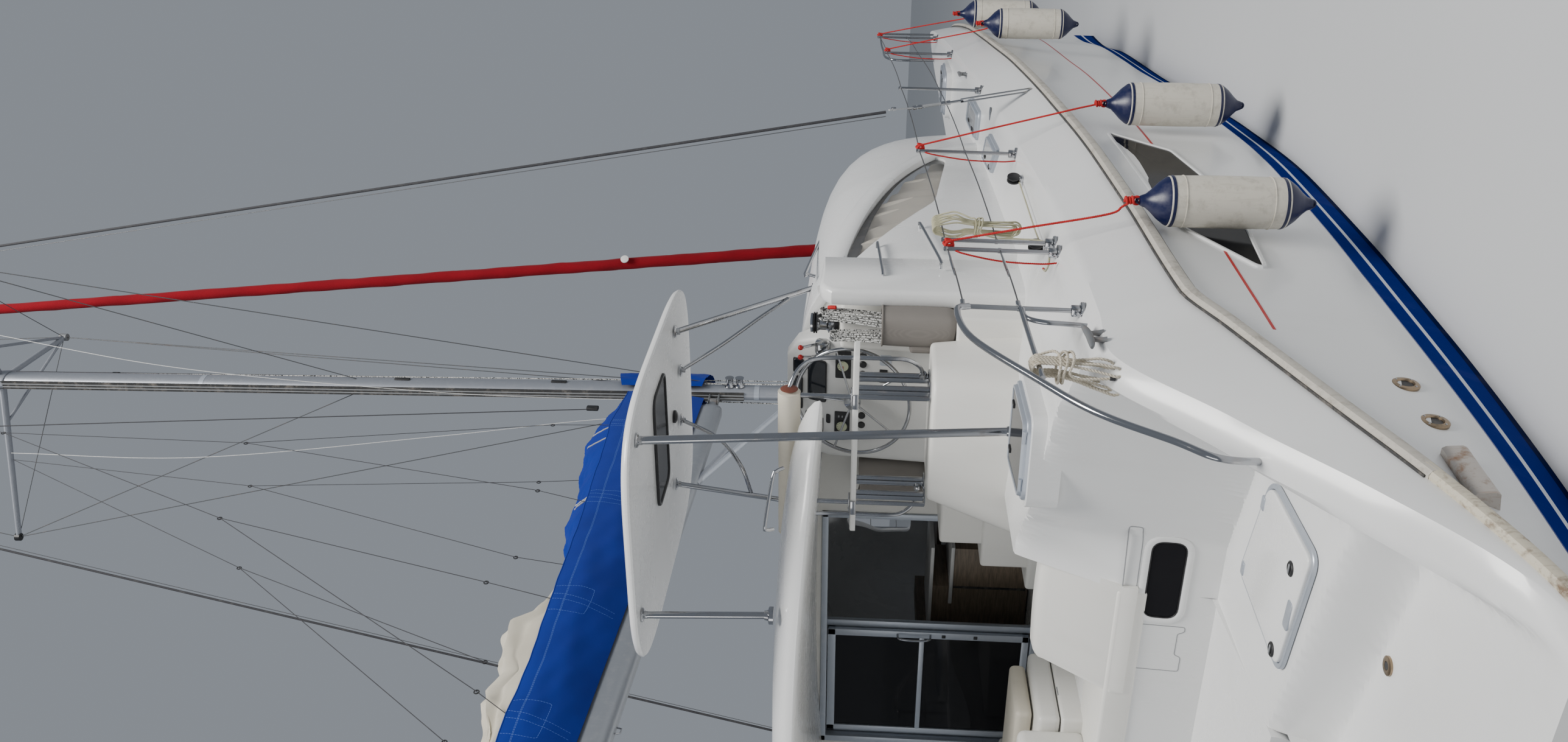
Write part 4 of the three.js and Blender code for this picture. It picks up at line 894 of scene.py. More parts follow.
def stitch_tree():
    """Short thread bars laid end to end along a line."""
    tree, inside, out = flow("stitches", {"Spacing": 0.02, "Bar": 0.013, "Thread": 0.0022})
    line = node(tree, "GeometryNodeMeshToCurve", {0: inside.outputs["Geometry"]}).outputs[0]
    even = node(tree, "GeometryNodeResampleCurve", {"Curve": line, "Length": inside.outputs["Spacing"]},
                mode="LENGTH")
    size = node(tree, "ShaderNodeCombineXYZ", {0: inside.outputs["Bar"], 1: inside.outputs["Thread"],
                                               2: inside.outputs["Thread"]})
    bar = node(tree, "GeometryNodeMeshCube", {"Size": size.outputs[0]})
    along = node(tree, "FunctionNodeAlignRotationToVector",
                 {"Vector": node(tree, "GeometryNodeInputTangent").outputs[0]}, axis="X")
    placed = node(tree, "GeometryNodeInstanceOnPoints",
                  {"Points": even.outputs[0], "Instance": bar.outputs[0], "Rotation": along.outputs[0]})
    return end_flow(tree, inside, out, placed.outputs[0])


def rope_tree():
    """Three-strand rope laid along a line: a lobed section that turns with the run."""
    tree, inside, out = flow("laid_rope", {"Radius": 0.008, "Pitch": 0.05, "Step": 0.006})
    line = node(tree, "GeometryNodeMeshToCurve", {0: inside.outputs["Geometry"]}).outputs[0]
    even = node(tree, "GeometryNodeResampleCurve", {"Curve": line, "Length": inside.outputs["Step"]},
                mode="LENGTH")
    run = node(tree, "GeometryNodeSplineParameter").outputs["Length"]
    tilt = maths(tree, "MULTIPLY", maths(tree, "DIVIDE", run, inside.outputs["Pitch"]), 2 * math.pi)
    turned_line = node(tree, "GeometryNodeSetCurveTilt", {"Curve": even.outputs[0], "Tilt": tilt})
    ring = node(tree, "GeometryNodeCurvePrimitiveCircle",
                {"Resolution": 15, "Radius": inside.outputs["Radius"]})
    where = node(tree, "GeometryNodeInputPosition").outputs[0]
    split = node(tree, "ShaderNodeSeparateXYZ", {0: where})
    angle = maths(tree, "ARCTAN2", split.outputs[1], split.outputs[0])
    lobe = maths(tree, "ADD", 0.86, maths(tree, "MULTIPLY",
                                          maths(tree, "COSINE", maths(tree, "MULTIPLY", angle, 3.0)), 0.16))
    scaled = node(tree, "ShaderNodeVectorMath", {0: where, "Scale": lobe}, operation="SCALE")
    lobed = node(tree, "GeometryNodeSetPosition",
                 {"Geometry": ring.outputs[0], "Position": scaled.outputs[0]})
    body = node(tree, "GeometryNodeCurveToMesh",
                {"Curve": turned_line.outputs[0], "Profile Curve": lobed.outputs[0], "Fill Caps": True})
    return end_flow(tree, inside, out, body.outputs[0])


def net_tree():
    """Knotless net: a thin cord on every edge of a grid."""
    tree, inside, out = flow("net", {"Cord": 0.0022})
    line = node(tree, "GeometryNodeMeshToCurve", {0: inside.outputs["Geometry"]}).outputs[0]
    ring = node(tree, "GeometryNodeCurvePrimitiveCircle",
                {"Resolution": 4, "Radius": inside.outputs["Cord"]})
    body = node(tree, "GeometryNodeCurveToMesh",
                {"Curve": line, "Profile Curve": ring.outputs[0], "Fill Caps": True})
    return end_flow(tree, inside, out, body.outputs[0])


def screw_tree():
    """Domed screw head with a slot on every point, turned to the point's own normal."""
    tree, inside, out = flow("screws", {"Head": 0.006, "Rise": 0.003})
    head = node(tree, "GeometryNodeMeshCylinder", {"Vertices": 12, "Radius": inside.outputs["Head"],
                                                   "Depth": inside.outputs["Rise"]})
    aim = node(tree, "FunctionNodeAlignRotationToVector",
               {"Vector": node(tree, "GeometryNodeInputNormal").outputs[0]}, axis="Z")
    centres = node(tree, "GeometryNodeMeshToPoints", {"Mesh": inside.outputs["Geometry"], "Radius": 0.001},
                   mode="FACES")
    placed = node(tree, "GeometryNodeInstanceOnPoints",
                  {"Points": centres.outputs[0], "Instance": head.outputs["Mesh"],
                   "Rotation": aim.outputs[0]})
    return end_flow(tree, inside, out, placed.outputs[0])


TREES = {"stitches": stitch_tree(), "rope": rope_tree(), "net": net_tree(), "screws": screw_tree()}


def grow(points, edges, tree, finish, faces=(), **values):
    """Runs one tree on a line or grid and returns the mesh it makes as a shape."""
    mesh = bpy.data.meshes.new("seed")
    mesh.from_pydata([tuple(p) for p in points], edges, faces)
    obj = bpy.data.objects.new("seed", mesh)
    bpy.context.scene.collection.objects.link(obj)
    step = obj.modifiers.new("grow", "NODES")
    step.node_group = TREES[tree]
    for item in TREES[tree].interface.items_tree:
        if item.in_out == "INPUT" and item.name in values:
            step[item.identifier] = values[item.name]
        elif item.in_out == "INPUT" and item.name == "Finish":
            step[item.identifier] = finish
    made = bpy.data.meshes.new_from_object(obj.evaluated_get(bpy.context.evaluated_depsgraph_get()))
    bpy.data.objects.remove(obj)
    return [tuple(v.co) for v in made.vertices], [tuple(p.vertices) for p in made.polygons]


def grow_line(path, tree, finish, closed=False, **values):
    edges = [(i, i + 1) for i in range(len(path) - 1)] + ([(len(path) - 1, 0)] if closed else [])
    return grow(path, edges, tree, finish, **values)


# Hulls

def on_side(station, z, out=0.0):
    """Point on the starboard hull's outer face."""
    return (station - AMIDSHIPS, -float(side_y(np.float64(station), np.float64(z))) - out, z)


def on_deck(station, y, out=0.0):
    """Point on the starboard deck; y counts outboard."""
    return (station - AMIDSHIPS, -y, float(deck_z(np.float64(station), np.float64(y))) + out)


def sweep(path, outs, profile, closed=False):
    """Constant section along a path; profile is in (out, along-cross-out) pairs."""
    path, outs = np.asarray(path, float), np.asarray(outs, float)
    ahead = np.roll(path, -1, 0) - np.roll(path, 1, 0) if closed else np.gradient(path, axis=0)
    ahead /= np.linalg.norm(ahead, axis=1)[:, None]
    outs = outs - ahead * np.sum(outs * ahead, axis=1)[:, None]
    outs /= np.linalg.norm(outs, axis=1)[:, None]
    over = np.cross(outs, ahead)
    return outward(skin_rings([[p + a * o + b * v for a, b in profile] for p, o,
                               v in zip(path, outs, over)], looped=closed))


def outward(shape):
    """Turns every face of a closed shape outward."""
    points, faces = shape
    bm = bmesh.new()
    made = [bm.verts.new(p) for p in points]
    for f in faces:
        bm.faces.new([made[i] for i in f])
    bmesh.ops.recalc_face_normals(bm, faces=bm.faces)
    return from_bmesh(bm)


def patch(outline, place, height, sunk=0.01, edge=0.004):
    """Thin piece that follows a surface; place takes (u, v, out) to a point."""
    mid = np.mean(np.array(outline), axis=0)

    def ring(scale, out):
        return [place(*(mid + (np.array(p) - mid) * scale), out) for p in outline]

    reach = float(np.mean(np.linalg.norm(np.array(outline) - mid, axis=1)))
    rings = [ring(1, -sunk), ring(1, height - edge), ring(1 - edge / reach, height)]
    rings += [ring(k, height) for k in (0.85, 0.65, 0.45, 0.25, 0.08)]
    return outward(skin_rings(rings))


def rim(outline, place, width, height, sunk=0.01):
    """Raised frame round an outline on a surface."""
    outer, inner = inset(outline, -width), np.array(outline)
    rings = [[place(*p, o) for p in line] for line, o in ((outer, -sunk), (outer, height * 0.6),
                                                          (inset(outline, -width * 0.8), height),
                                                          (inset(outline, -width * 0.2), height),
                                                          (inner, height * 0.6), (inner, -sunk))]
    return outward(skin_rings(rings, looped=True))


def screw_heads(centres, radius=0.006, out=(0, -1, 0)):
    shapes = [turned([(radius, -0.002), (radius, 0.001), (radius * 0.6, 0.003), (0, 0.003)], c, out, 10)
              for c in centres]
    points, faces = [], []
    for p, f in shapes:
        faces += [tuple(len(points) + i for i in g) for g in f]
        points += p
    return points, faces


HULL_WINDOW = [(2.82, 0.76), (3.35, 1.08), (5.10, 1.15), (4.84, 0.89), (4.78, 0.83), (4.21, 0.745),
               (3.42, 0.71)]
RUB_PROFILE = [(-0.006, -0.032), (0.016, -0.034), (0.030, -0.022), (0.034, 0), (0.030, 0.022),
               (0.016, 0.034), (-0.006, 0.032)]


def rub_path(low, high, count):
    stations = np.linspace(low, high, count)
    return [(s - AMIDSHIPS, -float(form("rail_y", s)), float(form("rail_z", s))) for s in stations]


def stern_path():
    """Rub rail bending round the stern corner at the level of the platform."""
    side = rub_path(0.18, 1.0, 12)
    corner = smooth_path([(-6.40, -2.05, 0.388), (-6.405, -2.7, 0.388), (-6.39, -3.1, 0.39),
                          (-6.375, -3.33, 0.395), side[0]], 16)
    return [tuple(p) for p in corner[:-1]] + side


class YACHT_OT_hulls(bpy.types.Operator):
    """Both hulls with their stern steps, wings and side decks, rub rails, windows and fittings"""
    bl_idname = "yacht.hulls"
    bl_label = "Hulls"

    def execute(self, context):
        f = FINISH
        shape = hull_shape()
        window = rounded_outline(HULL_WINDOW, [0.07, 0.12, 0.03, 0.05, 0.05, 0.12, 0.12], 6)
        long_rail, stern = rub_path(0.95, 12.9, 190), stern_path()
        side_out = [(0, -1, 0)] * len(long_rail)
        stern_out = [(-1, -0.15, 0)] * 9 + [(-0.7, -0.7, 0)] * 5 + [(-0.3, -1, 0)] * (len(stern) - 14)
        for name, side in SIDES:
            mould = Mould().add(shape, f["hull_side"], side)
            mould.add(sweep(long_rail, side_out, RUB_PROFILE), f["rub_rail"], side)
            mould.add(sweep(stern, stern_out, [(a, b * 0.9) for a, b in RUB_PROFILE]), f["worn_rail"], side)
            for level in (0.037, -0.037):
                line = [(x, y, z + level) for x, y, z in long_rail]
                mould.add(sweep(line, side_out, bar(-0.004, 0.008, 0.005)),
                          f["black_line"], side)
            for low, high, count in ((2.1, 3.02, 24), (4.93, 12.4, 90)):
                line = [on_side(s, 0.905) for s in np.linspace(low, high, count)]
                mould.add(sweep(line, [(0, -1, 0)] * count, bar(-0.003, 0.0012, 0.007)), f["pinstripe"],
                          side)
            mould.add(patch(window, on_side, 0.004), f["dark_glass"], side)
            mould.add(rim(window, on_side, 0.022, 0.012), f["gelcoat"], side)
            for s, z in ((1.42, 0.462), (1.715, 0.47)):
                foot = on_side(s, z)
                ring = [(0.030, 0.004), (0.032, -0.05), (0.056, -0.01), (0.058, 0.003), (0.052, 0.008),
                        (0.036, 0.010), (0.031, 0.004)]
                rings = [[(r * math.cos(a), r * math.sin(a), h) for a in round_angles(28)]
                         for r, h in ring[1:]]
                ring_shape = moved(skin_rings(rings, looped=True), facing(foot, (0, -1, 0)))
                mould.add(outward(ring_shape), f["bronze"], side)
                mould.add(turned([(0.032, -0.02), (0.032, 0.002), (0, 0.002)], foot, (0, -1, 0)),
                          f["black_line"], side)
                mould.add(screw_heads([(foot[0] + 0.044 * math.cos(a), foot[1] - 0.008,
                                        foot[2] + 0.044 * math.sin(a)) for a in (0.7, 2.3, 3.9, 5.5)],
                                      0.005), f["stainless"], side)
            guard = [on_side(s, 0.505 - 0.03 * (s - 0.84), 0.03) for s in np.linspace(0.84, 1.16, 9)]
            mould.add(sweep(guard, [(0, -1, 0.1)] * 9,
                            [(-0.06, -0.05), (0.012, -0.045), (0.02, -0.03), (0.02, 0.03), (0.012, 0.045),
                             (-0.06, 0.05)]), f["rusty"], side)
            mould.piece(f"hull_shell_{name}", "yacht", "gelcoat", [f"hull_{name}"], crease=32)
        Mould().add(bridge_shape(), FINISH["gelcoat"]).piece("bridgedeck_moulding", "yacht", "gelcoat",
                                                             ["bridgedeck"])
        return {"FINISHED"}


# Stern

HATCH_OUTLINE = [(1.392, 2.815), (2.070, 2.810), (2.255, 2.145), (1.517, 2.088)]
PORT_LIGHT = [(1.603, 0.980), (2.081, 0.980), (2.081, 1.151), (1.603, 1.151)]
LOCKER = [(1.24, 0.92), (1.335, 0.92), (1.35, 0.955), (1.495, 0.955), (1.51, 0.92), (1.54, 0.92),
          (1.54, 1.205), (2.09, 1.210), (2.18, 1.225), (2.18, 1.29), (1.24, 1.262)]


def ring_band(outline, width, low, high, place):
    """Flat frame between an outline and its inset, with rounded shoulders."""
    half = [(0, low), (0, high - 0.004), (0.004, high), (width - 0.004, high), (width, high - 0.004),
            (width, low)]
    return outward(skin_rings([[place(x, y, z) for x, y in inset(outline, d)] for d, z in half],
                              looped=True))


class YACHT_OT_stern(bpy.types.Operator):
    """Engine hatches, port lights, locker doors and fittings on the stern steps"""
    bl_idname = "yacht.stern"
    bl_label = "Stern fittings"

    def execute(self, context):
        f = FINISH
        outline = rounded_outline(HATCH_OUTLINE, [0.10, 0.12, 0.08, 0.10], 7)

        def lay(x, y, z):
            return (x - AMIDSHIPS, -y, z)

        def on_riser(y, z, out=0.0):
            run = riser_start(y) + np.linspace(-0.02, 0.4, 85)
            level = deck_z(run, np.full(85, y)) if y > DECK_SPLIT else bridge_z(run, y)
            return (float(np.interp(z, level, run)) - AMIDSHIPS - out, -y, z)

        light = rounded_outline(PORT_LIGHT, 0.06, 6)
        locker = rounded_outline(LOCKER, 0.012, 3)
        for name, side in SIDES:
            lid = Mould()
            lid.add(plate([(x - AMIDSHIPS, -y) for x, y in inset(outline, 0.030)], 0.03, 0.008,
                          Matrix.Translation((0, 0, 0.785))), f["gelcoat"], side)
            lid.add(ring_band(outline, 0.026, 0.785, 0.803, lay), f["silver_frame"], side)
            for x, y in ((1.62, 2.16), (1.60, 2.62)):
                lid.add(turned([(0.036, 0), (0.036, 0.006), (0.030, 0.010), (0.028, 0.007), (0, 0.007)],
                               lay(x, y, 0.813)), f["black_plastic"], side)
                lid.add(rounded_box(lay(x - 0.006, y + 0.024, 0.82), lay(x + 0.006, y - 0.024, 0.828),
                                    0.003), f["grey_frame"], side)
            lid.add(plate([(x - AMIDSHIPS, -y) for x,
                           y in rounded_outline([(1.50, 2.35), (1.56, 2.35), (1.55, 2.50), (1.49, 2.50)],
                                                0.02)], 0.006, 0.002, Matrix.Translation((0, 0, 0.813))),
                    f["silver_frame"], side)
            for y in (2.22, 2.66):
                lid.add(rounded_box(lay(2.16 - 0.22 * (y - 2.15), y + 0.035, 0.80),
                                    lay(2.20 - 0.22 * (y - 2.15), y - 0.035, 0.822), 0.006),
                        f["silver_frame"], side)
            lid.piece(f"engine_lid_{name}", f"engine_hatch_{name}", "gelcoat", [f"engine_hatch_{name}"])

            mould = Mould()
            mould.add(ring_band(inset(outline, -0.012), 0.010, 0.70, 0.777, lay), f["black_line"], side)
            mould.add(patch(light, on_riser, 0.004), f["dark_glass"], side)
            mould.add(rim(light, on_riser, 0.008, 0.008), f["black_plastic"], side)
            mould.add(rim(inset(light, -0.008), on_riser, 0.036, 0.010), f["gelcoat"], side)
            # A thin, slightly raised grey line marks the locker door's seam; its grey is painted shade,
            # standing in for the shadow in the groove.
            mould.add(rim(locker, on_riser, 0.004, 0.0015), f["grey_frame"], side)
            drain = lay(1.156, 2.468, 0.525)
            mould.add(turned([(0.042, -0.01), (0.042, 0.004), (0.036, 0.007), (0.020, 0.007),
                              (0.019, 0.004), (0, 0.004)], drain), f["bronze"], side)
            mould.add(turned([(0.017, 0), (0.017, 0.006), (0, 0.006)], drain), f["black_plastic"], side)
            mould.piece(f"stern_fittings_{name}", "yacht", "gelcoat")
        return {"FINISHED"}


# Rig

MAST = {"x": 8.100, "foot": 3.190, "top": 20.700, "rake": 0.0319, "chord": 0.230, "width": 0.150}


def mast_x(z):
    return MAST["x"] - AMIDSHIPS - (z - MAST["foot"]) * MAST["rake"]


def mast_ring(z, k=1.0, count=28):
    angles = round_angles(count)
    return [(mast_x(z) + math.cos(a) * MAST["chord"] * 0.5 * k, math.sin(a) * MAST["width"] * 0.5 * k, z)
            for a in angles]


# Cabin and cockpit

def carve(shape, cutters, bevel=0.0, operation="DIFFERENCE"):
    """Boolean of closed shapes, with an optional small round on the hard edges."""
    def solid(points_faces, name):
        mesh = bpy.data.meshes.new(name)
        mesh.from_pydata([tuple(p) for p in points_faces[0]], [], points_faces[1])
        obj = bpy.data.objects.new(name, mesh)
        bpy.context.scene.collection.objects.link(obj)
        return obj

    body = solid(outward(shape), "carved")
    tools = [solid(outward(c), "cutter") for c in cutters]
    for tool in tools:
        step = body.modifiers.new("cut", "BOOLEAN")
        step.operation, step.solver, step.object = operation, "EXACT", tool
    if bevel:
        step = body.modifiers.new("round", "BEVEL")
        step.width, step.segments, step.limit_method, step.angle_limit = bevel, 3, "ANGLE", math.radians(40)
    graph = bpy.context.evaluated_depsgraph_get()
    mesh = bpy.data.meshes.new_from_object(body.evaluated_get(graph))
    result = [tuple(v.co) for v in mesh.vertices], [tuple(p.vertices) for p in mesh.polygons]
    for obj in (body, *tools):
        bpy.data.objects.remove(obj)
    return result


def prism(outline, low, high, axis="z"):
    """Outline standing between two levels of one axis."""
    order = {"z": lambda a, b, c: (a, b, c), "y": lambda a, b, c: (a, c, b), "x": lambda a, b,
             c: (c, a, b)}[axis]
    return outward(skin_rings([[order(a, b, c) for a, b in outline] for c in (low, high)]))


CABIN = {"start": 4.30, "length": 4.66, "half": 2.76, "floor": 1.0, "height": 2.145, "p": 10.0, "q": 6.0,
         "r": 5.0}
CABIN_AFT = 4.945


def cabin_section(station, shrink=0.0, count=72, low=1.55):
    """One rib of the cabin shell, from the starboard foot over the top to the port foot."""
    c = CABIN
    k = max(1 - (max(station - c["start"], 0) / (c["length"] - shrink)) ** c["q"], 1e-6)
    t = np.radians(np.linspace(0, 90, 500))
    y = (c["half"] - shrink) * (k * np.cos(t) ** 2) ** (1 / c["p"])
    z = c["floor"] + (c["height"] - shrink) * (k * np.sin(t) ** 2) ** (1 / c["r"])
    z = z + 0.09 * (1 - (y / c["half"]) ** 2)
    run = np.r_[0, np.cumsum(np.hypot(np.diff(y), np.diff(z)))]
    where = np.interp(np.linspace(0, 1, count // 2 + 1), (0, 1),
                      (run[np.searchsorted(z, min(low, z[-1] - 1e-4))], run[-1]))
    y, z = np.interp(where, run, y), np.interp(where, run, z)
    half = [(station - AMIDSHIPS, -a, b) for a, b in zip(y, z)]
    return half + [(x, -a, b) for x, a, b in reversed(half[:-1])]


def cabin_y(station, z):
    c = CABIN
    k = 1 - (max(station - c["start"], 0) / c["length"]) ** c["q"] - (max(z - c["floor"],
                                                                          0) / c["height"]) ** c["r"]
    return c["half"] * max(k, 1e-4) ** (1 / c["p"])


def on_cabin(station, z, out=0.0):
    return (station - AMIDSHIPS, -cabin_y(station, z) - out, z)


SIDE_WINDOW = [(5.00, 2.875), (5.55, 2.875), (6.11, 2.785), (6.72, 2.60), (7.34, 2.30), (7.14, 2.08),
               (6.06, 2.21)]
ARCH = [(4.95, 2.963), (5.5, 2.90), (6.1, 2.77), (6.7, 2.56), (7.2, 2.28), (7.45, 2.02), (7.55, 1.80)]


def roof_shape():
    """Crowned slab over the cockpit with a softly rounded aft edge."""
    angles = np.radians(np.linspace(0, 360, 132, False))
    rings = []
    steps = [(r, 1) for r in (0.02, 0.2, 0.4, 0.6, 0.75, 0.87, 0.94, 0.98, 0.996, 1.0)]
    steps += [(r, -1) for r in (0.996, 0.98, 0.94, 0.87, 0.75, 0.6, 0.4, 0.2, 0.02)]
    for share, side in steps:
        ring = []
        for a in angles:
            reach = 2.17 if math.cos(a) > 0 else 0.06
            x = reach * bulged(math.cos(a), (2 / 2.77)) * share
            y = 2.52 * bulged(math.sin(a), (2 / 3)) * share
            level = 3.085 - 0.13 * (y / 2.4) ** 2
            thick = (0.165 if side > 0 else -0.055) * math.sqrt(max(1 - share ** 9, 0))
            ring.append((CABIN_AFT + 0.005 - x - AMIDSHIPS, y, level + thick))
        rings.append(ring)
    return outward(skin_rings(rings))


def grab_rail(a, b, lift, radius=0.011):
    """Handrail standing off a surface on two bent ends."""
    a, b, lift = Vector(a), Vector(b), Vector(lift)
    along = (b - a).normalized() * 0.04
    return tube_along(smooth_path([a, a + lift * 0.7 + along * 0.2, a + lift + along, b + lift - along,
                                   b + lift * 0.7 - along * 0.2, b], 28), radius, 10)


class YACHT_OT_cabin(bpy.types.Operator):
    """Cabin shell with its arched windows, curtains, grab rails and the cockpit roof"""
    bl_idname = "yacht.cabin"
    bl_label = "Cabin and roof"

    def execute(self, context):
        f = FINISH
        ribs = []
        for s in stations_between((CABIN_AFT, 7.4, 0.12), (7.4, 8.6, 0.06), (8.6, 8.955, 0.02)):
            ribs.append(cabin_section(s) + list(reversed(cabin_section(s, 0.055))))
        side = rounded_outline(SIDE_WINDOW, [0.05, 0.40, 0.5, 0.5, 0.04, 0.06, 0.08], 7)
        cut = [(x - AMIDSHIPS, z) for x, z in side]
        front = rounded_outline([(0.35, 2.12), (0.35, 2.86), (1.80, 2.84), (2.06, 2.50), (2.10, 2.14)],
                                0.07, 5)
        cutters = [prism(cut, -3.2, -2.2, "y"), prism(cut, 2.2, 3.2, "y")]
        for sign in (-1, 1):
            line = [(sign * y, z) for y, z in front]
            cutters.append(prism(line, 7.3 - AMIDSHIPS, 9.4 - AMIDSHIPS, "x"))
        shell = Mould().add(carve(skin_rings(ribs), cutters, 0.006), f["gelcoat"])
        arch = smooth_path([on_cabin(s, z) for s, z in ARCH], 70)
        # Black strip just inside the top of each side window, between the arch and the curtain: painted
        # shade, standing in for the unlit cabin behind the glass.
        shade = smooth_path([on_cabin(s, z, -0.034) for s, z in ((5.25, 2.87), (5.55, 2.84), (6.11, 2.745),
                                                                 (6.72, 2.555), (7.28, 2.26))], 50)
        band = [(-0.03, -0.075), (0.020, -0.078), (0.034, -0.06), (0.036, 0.03), (0.012, 0.085),
                (-0.05, 0.09)]
        for name, way in SIDES:
            shell.add(sweep(arch, [(0, -1, 0.25)] * len(arch), band), f["gelcoat"], way)
            # Painted shade: the black strip inside the window's upper edge.
            shell.add(sweep(shade, [(0, -1, 0.25)] * len(shade), bar(-0.004, 0, 0.11)),
                      f["black_line"], way)
        shell.piece("cabin_shell", "yacht", "gelcoat", ["saloon_walls"], crease=38)

        inner = inset(side, 0.004)
        for name, way in SIDES:
            glass = Mould().add(patch([tuple(p) for p in inner], lambda s, z,
                                      out: on_cabin(s, z, out - 0.022), 0.004, 0.004, 0.001), f["pane"],
                                way)
            glass.piece(f"side_glass_{name}", "yacht", "dark_glass", [f"saloon_side_glass_{name}"])
            pleats = Mould()
            columns = []
            for s in np.linspace(4.96, 7.2, 260):
                wave = 0.020 * math.sin(24 * s + 1.5 * math.sin(3 * s)) + 0.012 * math.sin(11 * s)
                top = float(np.interp(s, (4.9, 5.5, 6.1, 6.7, 7.2), (2.84, 2.80, 2.68, 2.42, 2.20)))
                columns.append([(s - AMIDSHIPS + 0.30 * (top - z), -cabin_y(s, z) + 0.085 + wave, z)
                                for z in np.linspace(top - 0.88, top, 14)])
            rings = [col + [(x, y + 0.004, z) for x, y, z in reversed(col)] for col in columns]
            curtain = pleats.add(outward(skin_rings(rings)), f["curtain"], way).piece(
                f"curtain_{name}", "yacht", "sailcloth", crease=60)
            top = np.array([col[-1] for col in columns])
            front_glass = Mould()
            rows = []
            for y, z in front:
                c = CABIN
                k = 1 - (y / c["half"]) ** c["p"] - ((z - c["floor"]) / c["height"]) ** c["r"]
                rows.append((c["start"] + c["length"] * max(k, 0.01) ** (1 / c["q"]) - AMIDSHIPS - 0.03, -y,
                             z))
            front_glass.add(outward(skin_rings([rows, [(x - 0.008, y, z) for x, y, z in rows]])), f["pane"],
                            way)
            front_glass.piece(f"front_glass_{name}", "yacht", "dark_glass", [f"saloon_front_glass_{name}"])

        corner = rounded_outline([(3.64, -3.2), (3.64, -1.225), (5.2, -1.225), (5.2, -3.2)], 0.12, 5)
        opening = prism([(x - AMIDSHIPS, y) for x, y in corner], 2.6, 3.6)
        roof = Mould().add(carve(roof_shape(), [opening], 0.012), f["gelcoat"])
        roof.add(outward(skin_rings([mast_ring(3.12, 1.9), mast_ring(3.19, 1.7)])), f["gelcoat"])
        roof.add(grab_rail((-3.52, -1.80, 3.20), (-3.40, -2.14, 3.15), (-0.05, -0.01, 0.05)),
                 f["stainless"])
        for way in (-1, 1):
            for a, b in (((4.62, 2.60), (5.22, 2.64)), ((4.72, 2.22), (5.48, 2.34))):
                rail = grab_rail(on_cabin(*a, -0.01), on_cabin(*b, -0.01), (0, -0.055, 0))
                roof.add(rail, f["stainless"], way)
            rail = grab_rail((-1.10, -2.38, 3.08), (0.20, -2.22, 2.99), (0, -0.02, 0.075), 0.0125)
            roof.add(rail, f["stainless"], way)
        roof.piece("cockpit_roof", "yacht", "gelcoat", ["roof"], crease=38)
        return {"FINISHED"}


# Cockpit

def coaming_shape():
    """Leaning panel beside the gate, with rounded top edge and a slanted inner end."""
    foot, lip, back = 2.548, 2.85, 3.07
    rings = []
    for t in np.linspace(0, 1, 16):
        near = max(0.0, 1 - t / 0.06)
        y = 1.05 + 0.74 * t + 0.02 * near
        top = 1.668 + 0.012 * math.sin(t * 3) - 0.012 * near
        section = [(foot, 1.20), (foot + 0.004, 1.272), (lip - 0.03, top - 0.045),
                   (lip - 0.012, top - 0.015), (lip + 0.02, top), (2.97, top + 0.005), (3.01, top - 0.02),
                   (3.03, top - 0.06), (back, 1.302), (back, 1.20)]
        rings.append([at(s, -y, z) for s, z in section])
    return outward(skin_rings(rings))


